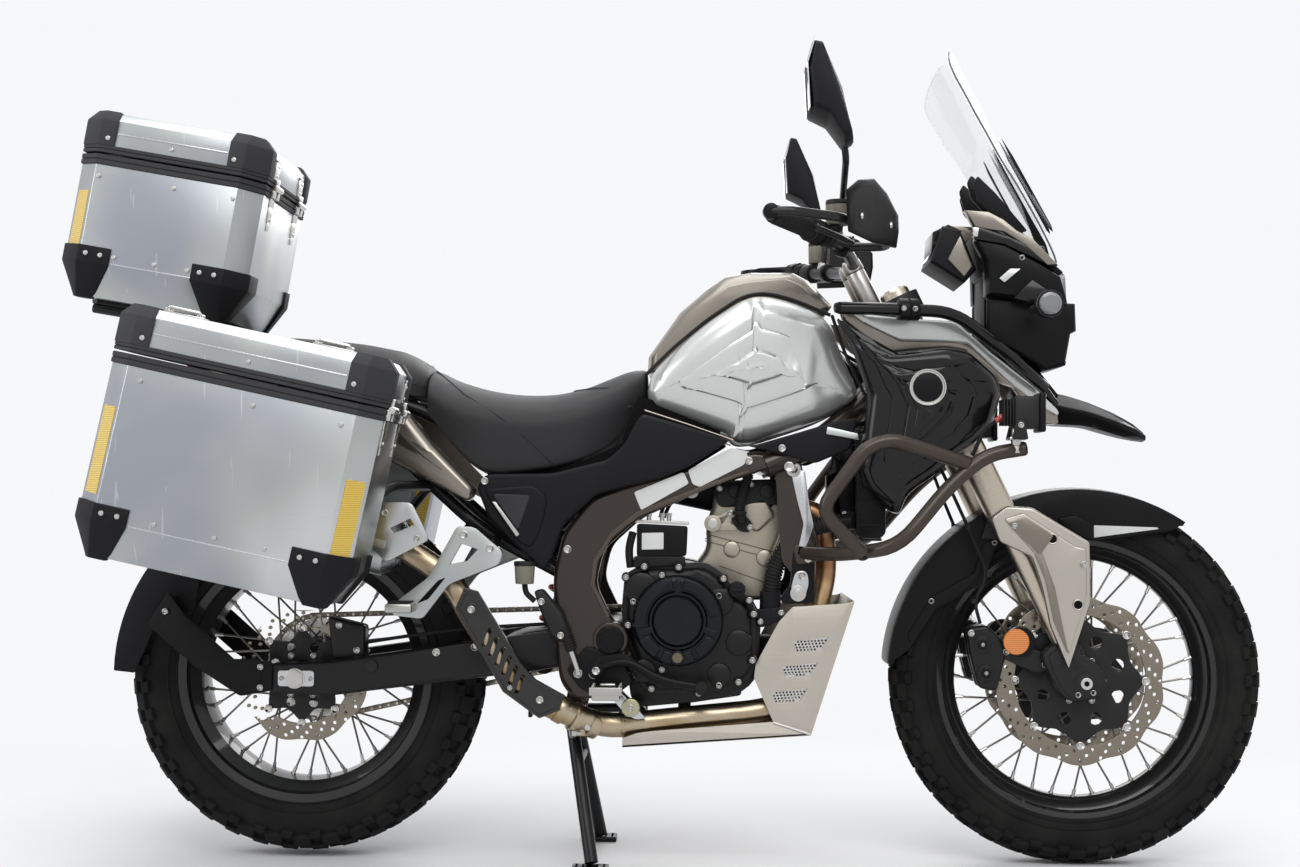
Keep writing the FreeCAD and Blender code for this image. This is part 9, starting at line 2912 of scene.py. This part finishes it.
@dataclass
class Bars:
    """Crash bars, the upper rails with their clamps and the auxiliary lamps."""

    radius: float = 12.3

    def build_guards(self) -> None:
        """Two bent tubes each side with weld beads, ends and a clamped upper rail."""
        piece = Piece("guard_bars")
        lower = path_on(((-492, -146, 556), (-430, -215, 556), (-342, -284, 571), (-252, -262, 678),
                         (-190, -252, 728), (-128, -250, 738)))
        upper = path_on(((-400, -262, 560), (-474, -296, 632), (-398, -292, 737), (-355, -290, 752),
                         (-225, -262, 712)))
        piece.add(both(tube(lower, self.radius, 45, 24)), Palette.bar_bronze)
        piece.add(both(tube(upper, self.radius, 30, 24)), Palette.bar_bronze)
        for x, y, z in ((-400, -262, 560), (-225, -262, 712)):
            piece.add(both(ring(x, y + 11, z, 11, 2.4, 24)), Palette.bar_bronze)
        piece.add(both(rod(lower[-1], lower[-1] + Vector((0.004, 0, 0.0006)), 12.3, 10, 24, 1)),
                  Palette.satin)
        piece.add(both(plate(((-512, 570), (-478, 568), (-474, 540), (-506, 536)), -142, -152, 6, 1.5)),
                  Palette.bar_bronze)
        piece.add(both(bolts([(-486, -151, 546)], (0, -1, 0), 7, Head.HEX, 5)), Palette.zinc)
        rail = path_on(((-438, -219, 978), (-310, -190, 978), (-236, -170, 976), (-170, -154, 930),
                        (-92, -132, 866), (-70, -110, 850)))
        piece.add(both(tube(rail, 10.8, 40, 22)), Palette.gloss_black)
        piece.add(both(rod(at(-438, -219, 978), at(-446, -221, 978), 10.8, 8, 22, 1)), Palette.satin)
        piece.add(both(rod(at(-335, -195.6, 978), at(-300, -187.6, 978), 19, sides=36, edge=1.5)),
                  Palette.satin)
        # Painted shade in the clamp's split.
        piece.add(both(rod(at(-319, -192, 978), at(-316, -191.4, 978), 19.4, sides=36)), Palette.gap_shade)
        piece.add(both(bolts([(-327, -212, 978), (-307, -207, 978)], (0, -1, 0), 4.5)), Palette.zinc)
        piece.place(Body.MACHINE, "black_paint", ("crash_bars",))

    def build_lamps(self) -> None:
        """Square lamps with cooling fins, a silver bracket and a round glass."""
        piece = Piece("extra_lamps")
        for side in (-1, 1):
            centre = side * 258
            back = box(at(-150, centre - 31, 771), at(-108, centre + 31, 825), 4)
            piece.add(back, Palette.cast_black)
            for index in range(5):
                x = -168 + index * 5
                piece.add(box(at(x, centre - 27, 776), at(x + 2.4, centre + 27, 820), 0.8),
                          Palette.cast_black)
            piece.add(box(at(-166, centre - 16, 786), at(-146, centre + 16, 810), 3), Palette.cast_black)
            piece.add(box(at(-109, centre - 35, 765), at(-99, centre + 35, 831), 3), Palette.satin)
            piece.add(rod(at(-102, centre, 798), at(-98.4, centre, 798), 27, sides=48), Palette.reflector)
            piece.add(rod(at(-99, centre, 798), at(-98.2, centre, 798), 25, sides=48), Palette.lamp_core)
            for y in (-29, 29):
                for z in (771, 825):
                    piece.add(bolt(at(-99, centre + y, z), Vector((1, 0, 0)), 2.4, Head.SOCKET, 0.9),
                              Palette.zinc)
            post = side * 252
            piece.add(rod(at(-142, post, 740), at(-142, post, 772), 9, sides=28, edge=1), Palette.zinc)
            piece.add(box(at(-156, post - 18, 752), at(-128, post + 18, 757), 1.5), Palette.brushed_edge)
            for y in (-33, 33):
                piece.add(plate(((-156, 752), (-128, 752), (-134, 784), (-148, 784)), centre + y - 1.4,
                                centre + y + 1.4, 4, 0.5), Palette.cast_black)
                piece.add(bolt(at(-141, centre + y + math.copysign(1.2, y), 776), Vector((0, y, 0)), 5),
                          Palette.zinc)
            piece.add(rod(at(-142, post, 730), at(-142, post, 742), 12, sides=6, edge=1), Palette.zinc)
            piece.add(tube([at(-168, centre, 790), at(-196, centre * 0.98, 770),
                            at(-214, centre * 0.94, 726)], 3.4,
                           20), Palette.hose)
            piece.add(rod(at(-166, centre, 791), at(-178, centre, 784), 6, 4.4, 20), Palette.red)
        piece.place(Body.MACHINE, "black_plastic", ("aux_lamps",))

    def build(self) -> None:
        """Builds all of the bars."""
        self.build_guards()
        self.build_lamps()


@dataclass
class Controls:
    """Footrests, brake pedal, gear lever and the pillion brackets."""

    plate_y: float = 163.0

    def build_rests(self) -> None:
        """Carrier plates, toothed pegs, the pedal with its pad and rod."""
        piece = Piece("rest_set")
        y = -self.plate_y
        carrier = ((-905, 352), (-872, 392), (-812, 380), (-790, 330), (-830, 300), (-880, 318))
        piece.add(both(plate(carrier, y, y - 11.6, 8, 2)), Palette.satin)
        piece.add(both(bolts([(-857, y - 11.5, 345), (-884, y - 11.5, 346)], (0, -1, 0), 8, Head.SOCKET, 6)),
                  Palette.zinc)
        piece.add(both(box(at(-856, y - 92, 307), at(-808, y - 14, 323), 2.5)), Palette.peg)
        piece.add(both(box(at(-850, y - 84, 322), at(-814, y - 24, 327), 1)), Palette.hose)
        for edge_x in (-858, -812):
            for index in range(9):
                place = y - 90 + 8 * index
                piece.add(both(plate(((edge_x, 318), (edge_x + 6, 318), (edge_x + 4.6, 331),
                                      (edge_x + 1.4, 331)),
                                     place, place + 4.4, 0.6, 0.5)), Palette.peg)
        piece.add(both(box(at(-860, y - 93, 316), at(-804, y - 88, 330), 1.5)), Palette.peg)
        piece.add(both(box(at(-846, y - 22, 300), at(-818, y - 8, 330), 3)), Palette.zinc)
        piece.add(both(rod(at(-852, y - 14, 315), at(-812, y - 14, 315), 4, sides=16)), Palette.zinc)
        route = [at(-852, y - 18, 352), at(-800, y - 22, 372), at(-740, y - 26, 336), at(-672, y - 30, 326)]
        piece.add(both(tube(route, 6.8, 30, 18)), Palette.satin)
        web = ((-872, 350), (-848, 376), (-806, 382), (-740, 344), (-716, 334), (-718, 322), (-748, 330),
               (-804, 362), (-850, 344))
        piece.add(both(plate(web, y - 17, y - 24, 6, 2)), Palette.satin)
        piece.add(both(rod(at(-670, y - 14, 325), at(-670, y - 48, 325), 10.8, sides=28, edge=2)),
                  Palette.hose)
        for index in range(7):
            place = y - 18 - 4 * index
            piece.add(both(rod(at(-670, place, 325), at(-670, place - 2, 325), 11.4, sides=24)), Palette.hose)
        piece.add(both(rod(at(-852, y - 10, 352), at(-852, y - 28, 352), 13, sides=32, edge=1.5)),
                  Palette.satin)
        piece.add(both(bolts([(-852, y - 28, 352)], (0, -1, 0), 7)), Palette.zinc)
        piece.add(rod(at(-884, y - 15, 350), at(-902, y - 15, 400), 5, sides=16), Palette.zinc)
        piece.add(ribbed([at(-896, y - 15, 384), at(-910, y - 15, 424)], 9, 5, 5), Palette.hose)
        master = ((-962, 488), (-946, 492), (-912, 452), (-896, 410), (-912, 398), (-930, 408), (-950, 452))
        piece.add(pillow(master, y - 2, y - 22, 8, 6, 4), Palette.cast_black)
        piece.add(bolts([(-948, y - 21, 470), (-914, y - 21, 412)], (0, -1, 0), 6), Palette.zinc)
        piece.add(rod(at(-978, y - 14, 500), at(-978, y - 14, 532), 16, 18, 32, 1), Palette.cup)
        piece.add(rod(at(-978, y - 14, 531), at(-978, y - 14, 539), 19, sides=12, edge=1), Palette.cast_black)
        piece.add(tube([at(-978, y - 14, 500), at(-976, y - 14, 484), at(-960, y - 12, 470)], 5, 14),
                  Palette.hose)
        piece.add(rod(at(-793, -148, 286), at(-793, -166, 286), 16, sides=36, edge=2), Palette.bobbin)
        piece.add(bolt(at(-793, -166, 286), Vector((0, -1, 0)), 6), Palette.zinc)
        bracket = ((-812, 312), (-766, 266), (-784, 264), (-802, 272), (-826, 300))
        piece.add(plate(bracket, -140, -149, 4, 1), Palette.brushed_edge)
        arm = ((-1092, 600), (-1062, 598), (-1012, 556), (-1020, 534), (-1105, 500), (-1150, 440),
               (-1204, 446), (-1195, 470), (-1140, 512))
        window = ((-1084, 570), (-1056, 560), (-1074, 540), (-1104, 534))
        piece.add(both(plate(arm, -200, -213.8, 8, 2.5, (window,))), Palette.brushed)
        # Painted shade in the lower window of the pillion bracket.
        lower_window = ((-1124, 506), (-1110, 512), (-1140, 474), (-1160, 466))
        piece.add(both(plate(lower_window, -212.6, -214.4, 3, 0.2)), Palette.gap_shade)
        for x, z, back in ((-1080, 600, 585), (-1034, 576, 562)):
            piece.add(both(rod(at(x, -121, z), at(x, -200, back), 8.8, sides=24)), Palette.frame_black)
            piece.add(both(bolts([(x, -213.5, back)], (0, -1, 0), 7)), Palette.zinc)
        piece.add(both(box(at(-1206, -272, 453), at(-1160, -214, 469), 4)), Palette.peg)
        for index in range(6):
            place = -266 + 8 * index
            piece.add(both(box(at(-1202, place, 468), at(-1164, place + 4, 472), 1)), Palette.hose)
        piece.place(Body.MACHINE, "black_paint", ("footrests",))

    def build(self) -> None:
        """Builds all of the foot controls."""
        self.build_rests()


@dataclass
class Rear:
    """Rear frame, rack, mudguard, lamp, plate holder and indicators."""

    rail_y: float = 100.0

    def build_subframe(self) -> None:
        """Rails, struts, cross tubes, rack and case loops."""
        piece = Piece("rear_frame_tubes")
        for side in (-1, 1):
            rail = [at(-905, side * 128, 600), at(-1000, side * self.rail_y, 700),
                    at(-1180, side * self.rail_y, 812), at(-1540, side * self.rail_y, 862)]
            strut = [at(-925, side * 128, 520), at(-1060, side * 122, 590),
                     at(-1330, side * self.rail_y, 832)]
            inner = side * (365 - 115 - 9 - 0.3 - 2.25)
            loop = [at(-1150, side * 115, 670), at(-1210, inner, 668), at(-1285, inner, 570),
                    at(-1560, inner, 628), at(-1510, inner, 800), at(-1505, side * 165, 812),
                    at(-1500, side * self.rail_y, 856)]
            piece.add(tube(rail, 12.8, 60, 24), Palette.frame_black)
            piece.add(tube(strut, 10.8, 60, 24), Palette.frame_black)
            piece.add(tube(loop, 8.9, 35, 20), Palette.frame_black)
            for x, z in ((-1285, 570), (-1560, 628), (-1510, 800)):
                piece.add(rod(at(x + 6, inner - side * 8, z + 4), at(x + 6, inner + side * 9, z + 4), 14,
                              sides=28, edge=2), Palette.satin)
        for x, z in ((-1200, 815), (-1500, 856)):
            piece.add(rod(at(x, -self.rail_y, z), at(x, self.rail_y, z), 8.8, sides=24), Palette.frame_black)
        slope = math.tan(math.radians(TOP_CASE_PITCH))
        top = 982 - 0.3 / math.cos(math.radians(TOP_CASE_PITCH))
        self.build_rack(piece, slope, top)
        piece.place(Body.MACHINE, "black_paint", ("subframe",))

    def build_rack(self, piece: Piece, slope: float, top: float) -> None:
        """The pitched carrier plate with slots, its posts and loop."""
        def bent(x: float, y: float, z: float) -> Vector:
            """A point of the pitched plate."""
            return at(-1650 + x, y, top - slope * x + z)

        corners = ((-125, -83), (-113, -95), (113, -95), (125, -83), (125, 83), (113, 95),
                   (-113, 95), (-125, 83))
        rings = [[bent(x, y, z) for x, y in corners] for z in (-8, -0.4)]
        body = loft(rings)
        soften(body, folded_edges(body, 60), 1.2, 2)
        piece.add(body, Palette.frame_black)
        for y in (-60, -20, 20, 60):
            # Painted shade in the rack's slots.
            slot = [[bent(x, y + w, z) for x, w in ((-90, -7), (90, -7), (90, 7), (-90, 7))]
                    for z in (-8.4, -7.8)]
            piece.add(loft(slot), Palette.gap_shade)
        for side in (-1, 1):
            for x, foot_z in ((-1540, 862), (-1475, 858)):
                head_x = min(x, -1545)
                head = at(head_x, side * 82, top - slope * (head_x + 1650) - 10)
                piece.add(rod(at(x, side * 100, foot_z), head, 7.8, sides=20), Palette.frame_black)
                piece.add(bolt(at(x, side * 112, foot_z), Vector((0, side, 0)), 6, Head.HEX), Palette.zinc)
        loop = [at(-1770, -87, top - 16 + slope * 120), at(-1470, -118, top - 16 - slope * 180),
                at(-1470, 118, top - 16 - slope * 180), at(-1770, 87, top - 16 + slope * 120)]
        piece.add(tube(loop, 8.9, 45, 20), Palette.frame_black)

    def build_hugger(self) -> None:
        """The guard over the rear tyre with its arms."""
        x, z = REAR_AXLE
        half, outer = 91.0, 341.0
        piece = Piece("rear_guard")
        rings = []
        for index in range(25):
            angle = math.radians(122 + 57 * index / 24)
            out = Vector((math.cos(angle), 0, math.sin(angle)))
            section = ((half, -10), (half - 2, -3), (half - 8, 0), (half * 0.5, 0.6), (0, 0.8))
            right = [at(x, 0, z) + out * ((outer + lift - 1) * MM) - Vector((0, y * MM, 0))
                     for y, lift in section]
            rings.append(right + [Vector((p.x, -p.y, p.z)) for p in right[-2::-1]])
        shape = bmesh.new()
        loops = []
        for points in rings:
            verts = [shape.verts.new(point) for point in points]
            loops.append([shape.edges.new(pair) for pair in zip(verts, verts[1:])])
        for first, second in zip(loops, loops[1:]):
            bmesh.ops.bridge_loops(shape, edges=first + second)
        bmesh.ops.recalc_face_normals(shape, faces=shape.faces)
        piece.add(shape, Palette.plastic)
        piece.place(Body.MACHINE, "black_plastic", ("rear_mudguard",), thick=3.6, subdivide=1)
        sides = Piece("rear_guard_sides")
        crown = arc((x, z), outer - 3, 122, 179, 16)
        cheek = crown + [(x - 300, z + 2), (x - 262, z + 92), (x - 196, z + 110), (x - 168, z + 262)]
        sides.add(both(plate(cheek, -half + 4, -half, 2, 1, steps=2)), Palette.plastic)
        arm = ((x - 262, z + 92), (x - 226, z + 150), (x - 196, z + 110), (x - 104, z + 30), (x - 40, z + 30),
               (x - 40, z - 22), (x - 96, z - 32), (x - 178, z + 20))
        sides.add(both(plate(arm, -140.3, -144.2, 6, 1)), Palette.satin)
        rib = [(px * 0.82 + (x - 150) * 0.18, pz * 0.82 + (z + 50) * 0.18) for px, pz in arm]
        sides.add(both(plate(rib, -143.8, -145.4, 5, 0.8)), Palette.satin)
        spacer = ((x - 258, z + 94), (x - 226, z + 142), (x - 204, z + 112))
        sides.add(both(plate(spacer, -half, -141, 4, 1)), Palette.satin)
        sides.add(both(bolts([(x - 230, -144.8, z + 116), (x - 60, -144, z + 20), (x - 60, -144, z - 16)],
                             (0, -1, 0), 5.5)), Palette.zinc)
        sides.place(Body.MACHINE, "black_plastic")

    def build_tail(self) -> None:
        """Lamp with its lens bars, holder, blank number plate, lamps and reflector."""
        piece = Piece("rear_lamp")
        lamp = ((-1585, 872), (-1560, 914), (-1590, 921), (-1611, 905), (-1605, 877))
        piece.add(plate(lamp, -70, 70, 6, 3), Palette.red)
        for index in range(7):
            y = -60 + 17.2 * index
            piece.add(plate(((-1606, 880), (-1612, 904), (-1608, 905), (-1602, 881)), y, y + 10, 1, 0.8),
                      Palette.red)
        piece.place(Body.MACHINE, "red_lens", ("tail_lamp",))
        holder = Piece("number_holder")
        bracket = ((-1540.3, 846), (-1540.3, 876), (-1590, 886), (-1590, 866))
        holder.add(plate(bracket, -112, 112, 3, 2), Palette.plastic)
        arm = ((-1582, 874), (-1600, 876), (-1712, 700), (-1700, 690), (-1570, 850))
        holder.add(plate(arm, -86, 86, 4, 2), Palette.plastic)
        out = Vector((-(876 - 700), 0, 112)).normalized()
        low, high = at(-1703, 0, 708), at(-1624, 0, 832)
        side = Vector((0, 1, 0))
        corners = [low - side * 0.083, low + side * 0.083, high + side * 0.083, high - side * 0.083]
        face = loft([[c + out * 0.0052 for c in corners], [c + out * 0.0068 for c in corners]])
        holder.add(face, Palette.blank)
        for y in (-60, 60):
            spot = high + side * (y * MM) - (high - low).normalized() * 0.014 + out * 0.0066
            holder.add(bolt(spot, out, 5, Head.SOCKET, 2), Palette.zinc)
        holder.add(rod(low + out * 0.006 + (low - high).normalized() * -0.008,
                       low + out * 0.009 + (low - high).normalized() * -0.008, 5, sides=20), Palette.red)
        holder.place(Body.MACHINE, "black_plastic", ("plate_holder",))

    def build_indicators(self) -> None:
        """Round indicators on rubber stalks, front and rear."""
        piece = Piece("turn_lamps")
        for x, y, z, out, glass in ((-1648, -87.2, 776, -0.25, Palette.amber),
                                    (-92, -129.4, 985, 0.25, Palette.smoke)):
            root = at(x, y, z)
            tip = root + Vector((40 * out, -72, 0)) * MM
            piece.add(both(ribbed([root, tip + Vector((0, 0.012, 0))], 8.4, 5, 6)), Palette.hose)
            piece.add(both(rod(tip, tip - Vector((0, 0.008, 0)), 12, 22.6, 48)), Palette.plastic)
            piece.add(both(rod(tip - Vector((0, 0.008, 0)), tip - Vector((0, 0.040, 0)), 22.8, sides=48,
                               edge=1)),
                      Palette.plastic)
            piece.add(both(rod(tip - Vector((0, 0.032, 0)), tip - Vector((0, 0.038, 0)), 22.95, sides=48)),
                      Palette.zinc)
            piece.add(both(rod(tip - Vector((0, 0.040, 0)), tip - Vector((0, 0.0458, 0)), 20, 15, 48, 1.5)),
                      glass)
        piece.place(Body.MACHINE, "amber_lens", ("indicators",))

    def build(self) -> None:
        """Builds the whole rear."""
        self.build_subframe()
        self.build_hugger()
        self.build_tail()
        self.build_indicators()


@dataclass
class Stands:
    """Centre stand and side stand."""

    def build(self) -> None:
        """Builds both stands with their feet."""
        piece = Piece("centre_stand_legs")
        pivot = at(-905, 0, 262)
        piece.add(rod(at(-905, -68, 262), at(-905, 68, 262), 15, sides=36, edge=1), Palette.frame_black)
        for side in (-1, 1):
            ankle = at(-860, side * 144, 14)
            piece.add(rod(at(-905, side * 46, 262), ankle, 11.8, sides=28), Palette.frame_black)
            piece.add(box(at(-894, side * 150 - 22, 0), at(-830, side * 150 + 22, 10), 2),
                      Palette.frame_black)
            for index in range(5):
                x = -888 + 12 * index
                piece.add(box(at(x, side * 150 - 20, 9.6), at(x + 4, side * 150 + 20, 10), 0),
                          Palette.frame_black)
        share = 0.34
        tie = pivot + (at(-860, 0, 14) - pivot) * share
        half = (46 + 98 * share) * MM
        piece.add(rod(tie - Vector((0, half, 0)), tie + Vector((0, half, 0)), 8.9, sides=24),
                  Palette.frame_black)
        piece.place(Body.CENTRE_STAND, "black_paint", ("centre_stand",))
        side_leg = Piece("side_stand_leg")
        pivot = at(-790, 172, 248)
        along = Vector((0, math.cos(math.radians(15)), math.sin(math.radians(15))))
        knee = pivot - Vector((0.203, 0, 0))
        side_leg.add(rod(pivot - Vector((0.012, 0, 0)), knee, 8.8, sides=28), Palette.frame_black)
        side_leg.add(rod(pivot - along * 0.0078, pivot + along * 0.0078, 16.8, sides=40, edge=1),
                     Palette.frame_black)
        side_leg.add(box(knee + Vector((-0.0078, -0.0238, -0.0178)), knee + Vector((0, 0.0238, 0.0178)), 2),
                     Palette.frame_black)
        side_leg.place(Body.SIDE_STAND, "black_paint", ("side_stand",))


class Assembly(Protocol):
    """Anything that builds its own pieces."""

    def build(self) -> None:
        """Builds its pieces."""


def assemblies() -> list[Assembly]:
    """The sub-assemblies in building order."""
    saddle_seams = (((-1150, 20), (-1091, 52), (-1027, 78), (-983, 100), (-933, 140)),
                    ((-902, 14), (-866, 34), (-837, 52), (-800, 100)))
    pillion = ((-1161, 0.88, 884, 824), (-1185, 0.96, 900, 826), (-1215, 1.0, 914, 831),
               (-1290, 1.0, 928, 841), (-1370, 0.97, 935, 852), (-1425, 0.92, 939, 860),
               (-1450, 0.84, 936, 866))
    return [
        Wheel(),
        RearWheel("rear", Body.REAR_WHEEL, *REAR_AXLE, 321.0, 150.0, 222.0, 114.0, 26.0, 9.0, 36, 44.0),
        HardCase(),
        HardCase("left_case", Body.MACHINE, Body.LEFT_LID, foot=(-1465.0, 365.0, 514.0), face=1),
        HardCase("top_case", Body.MACHINE, Body.TOP_LID, 330.0, 380.0, 250.0, 75.0, TOP_CASE_PITCH,
                 (-1650.0, 0.0, 982.0), -1, rear_reflector=False, latches=2, handles=()),
        Tank(),
        Saddle(seams=saddle_seams),
        Saddle("pillion_seat", 127.0, pillion, (((-1172, 10), (-1176, 60), (-1182, 100)),)),
        SideCovers(),
        Fairing(),
        Nose(),
        Fork(),
        Cockpit(),
        Engine(),
        Cooling(),
        Exhaust(),
        SkidPlate(),
        Chassis(),
        Bars(),
        Controls(),
        Rear(),
        Stands(),
    ]


@dataclass
class Studio:
    """Floor, backdrop, lights and the photograph's camera."""

    eye: Spot = (-664.0, -3407.0, 655.0)
    yaw: float = 1.74
    pitch: float = 1.9
    roll: float = 0.39
    focal: float = 1861.9
    width: int = 1300
    floor_near: float = 0.55
    floor_stretch: float = 0.55
    floor_fade: float = 1.1
    floor_size: float = 30.0
    surround: float = 0.5

    def place_camera(self) -> None:
        """Stands the camera where the photograph was taken."""
        yaw, pitch, roll = (math.radians(angle) for angle in (self.yaw, self.pitch, self.roll))
        ahead = Vector((-math.sin(yaw) * math.cos(pitch), math.cos(yaw) * math.cos(pitch), math.sin(pitch)))
        right = Vector((math.cos(yaw), math.sin(yaw), 0))
        up = right.cross(ahead)
        turned_right = right * math.cos(roll) + up * math.sin(roll)
        turned_up = up * math.cos(roll) - right * math.sin(roll)
        data = bpy.data.cameras.new("camera")
        data.sensor_width, data.sensor_fit = SENSOR_WIDTH, "HORIZONTAL"
        data.lens = self.focal / self.width * data.sensor_width
        data.clip_end = FAR_CLIP
        camera = bpy.data.objects.new("camera", data)
        camera.matrix_world = Matrix.Translation(at(*self.eye)) @ Matrix(
            (turned_right, turned_up, -ahead)).transposed().to_4x4()
        bpy.context.scene.collection.objects.link(camera)
        bpy.context.scene.camera = camera

    def floor_material(self) -> bpy.types.Material:
        """Pale matt floor that fades into the white surround away from the machine."""
        graph = Graph("studio floor")
        mottle = graph.noise(3.0, 2.0)
        graph.set(Base_Color=graph.mix(mottle, (0.80, 0.80, 0.81), (0.84, 0.84, 0.85)), Roughness=0.6)
        split = graph.node("ShaderNodeSeparateXYZ", None, {0: graph.place()})
        x, y = Term(graph, split.outputs[0]) * self.floor_stretch, Term(graph, split.outputs[1])
        away = ((x * x + y * y).power(0.5) - self.floor_near) * (1 / self.floor_fade)
        graph.glow(away.limited() * graph.seen(), WHITE)
        return graph.material

    def build_floor(self) -> None:
        """Lays a wide floor."""
        shape = bmesh.new()
        bmesh.ops.create_grid(shape, x_segments=4, y_segments=4, size=self.floor_size)
        mesh = bpy.data.meshes.new("floor")
        shape.to_mesh(mesh)
        shape.free()
        floor = bpy.data.objects.new("floor", mesh)
        mesh.materials.append(self.floor_material())
        bpy.context.scene.collection.objects.link(floor)

    def lamp(self, name: str, place: Spot, aim: Spot, size: tuple[float, float], power: float) -> None:
        """Hangs one soft box.

        Args:
            name: Its name.
            place: Row place in metres.
            aim: Where it points, in metres.
            size: Width and height in metres.
            power: Watts.
        """
        data = bpy.data.lights.new(name, "AREA")
        data.shape, data.size, data.size_y, data.energy = "RECTANGLE", *size, power
        light = bpy.data.objects.new(name, data)
        light.location = place
        light.rotation_euler = (Vector(aim) - Vector(place)).to_track_quat("-Z", "Y").to_euler()
        bpy.context.scene.collection.objects.link(light)

    def light_world(self) -> None:
        """A plain surround, white to the camera and in reflections."""
        world = bpy.data.worlds.new("surround")
        bpy.context.scene.world = world
        world.use_nodes = True
        tree = world.node_tree
        tree.nodes.clear()
        path = tree.nodes.new("ShaderNodeLightPath")
        shown = path.outputs[VIEW_RAYS[0]]
        for name in VIEW_RAYS[1:]:
            either = tree.nodes.new("ShaderNodeMath")
            either.operation = "MAXIMUM"
            tree.links.new(shown, either.inputs[0])
            tree.links.new(path.outputs[name], either.inputs[1])
            shown = either.outputs[0]
        plain, white = tree.nodes.new("ShaderNodeBackground"), tree.nodes.new("ShaderNodeBackground")
        plain.inputs["Color"].default_value = (0.86, 0.88, 0.92, 1)
        plain.inputs["Strength"].default_value = self.surround
        white.inputs["Color"].default_value = (*WHITE, 1)
        white.inputs["Strength"].default_value = 1.0
        blend = tree.nodes.new("ShaderNodeMixShader")
        output = tree.nodes.new("ShaderNodeOutputWorld")
        tree.links.new(shown, blend.inputs[0])
        tree.links.new(plain.outputs[0], blend.inputs[1])
        tree.links.new(white.outputs[0], blend.inputs[2])
        tree.links.new(blend.outputs[0], output.inputs["Surface"])

    def build(self) -> None:
        """Sets up the whole studio."""
        self.place_camera()
        self.build_floor()
        self.light_world()
        self.lamp("key box", (0.6, -3.4, 3.6), (0.0, 0.0, 0.6), (3.6, 2.2), 105)
        self.lamp("top box", (-0.4, 0.2, 4.2), (-0.1, 0.0, 0.5), (4.5, 2.4), 80)
        self.lamp("left box", (-3.8, -1.8, 2.0), (-0.5, 0.0, 0.7), (1.8, 2.6), 45)
        self.lamp("back box", (1.2, 3.6, 2.6), (0.0, 0.0, 0.7), (3.6, 2.0), 60)
        bpy.context.scene.view_settings.view_transform = "Standard"


@dataclass
class CarriedParts:
    """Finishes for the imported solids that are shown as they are."""

    finishes: dict[str, Finish] = field(default_factory=lambda: {
        "main_frame": Palette.bronze, "subframe": Palette.frame_black, "swingarm": Palette.frame_black,
        "rear_axle": Palette.zinc, "drive_chain": Palette.chain, "rear_shock": Palette.shock_red,
        "engine": Palette.cast, "radiator": Palette.cast_black, "exhaust_pipe": Palette.pipe,
        "exhaust_shield": Palette.pipe, "silencer": Palette.brushed, "skid_plate": Palette.sheet,
        "fuel_tank": Palette.silver, "tank_cover": Palette.bronze, "fairing_shrouds": Palette.gloss_black,
        "fairing_accents": Palette.silver, "beak": Palette.gloss_black, "headlight_housing": Palette.satin,
        "headlight_lens": Palette.lamp, "windscreen": Palette.screen, "instruments": Palette.plastic,
        "rider_seat": Palette.hide, "pillion_seat": Palette.hide, "side_panels": Palette.plastic,
        "tail_covers": Palette.bronze, "tail_lamp": Palette.red, "plate_holder": Palette.plastic,
        "indicators": Palette.plastic, "rear_mudguard": Palette.plastic, "crash_bars": Palette.bar_bronze,
        "aux_lamps": Palette.cast_black, "footrests": Palette.cast_black, "top_case": Palette.brushed,
        "right_case": Palette.brushed, "left_case": Palette.brushed, "top_case_lid": Palette.brushed,
        "right_case_lid": Palette.brushed, "left_case_lid": Palette.brushed,
        "triple_clamps": Palette.frame_black, "fork_outer_tubes": Palette.champagne,
        "fork_sliders": Palette.frame_black, "fork_guards": Palette.guard_metal,
        "front_mudguard": Palette.satin, "front_calipers": Palette.cast_black, "front_axle": Palette.zinc,
        "handlebar": Palette.frame_black, "hand_controls": Palette.grip, "handguards": Palette.guard_metal,
        "mirrors": Palette.plastic, "front_tyre": Palette.rubber, "front_rim": Palette.rim_black,
        "front_hub": Palette.steel, "front_discs": Palette.chain, "rear_tyre": Palette.rubber,
        "rear_rim": Palette.rim_black, "rear_hub": Palette.steel, "rear_disc": Palette.chain,
        "centre_stand": Palette.frame_black, "side_stand": Palette.frame_black, "brake_hoses": Palette.hose,
    })

    def build(self, nodes: dict[str, bpy.types.Object]) -> None:
        """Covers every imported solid."""
        for name, finish in self.finishes.items():
            mesh = nodes[name].data
            mesh.materials.clear()
            mesh.materials.append(finish.material())
        LOG.info("carried parts: %d nodes", len(self.finishes))


def main() -> None:
    """Builds the machine, piece by piece."""
    logging.basicConfig(level=logging.INFO, format="%(name)s %(message)s", force=True)
    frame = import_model()
    wheel = next(joint for joint in frame["joints"] if joint["name"] == "front_wheel_spin")
    Drawing.axle_x = wheel["pos_m"][0]
    Studio().build()
    CarriedParts().build(frame["nodes"])
    for part in assemblies():
        part.build()
        LOG.info("%s done", type(part).__name__)
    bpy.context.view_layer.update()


if __name__ == "__main__":
    main()
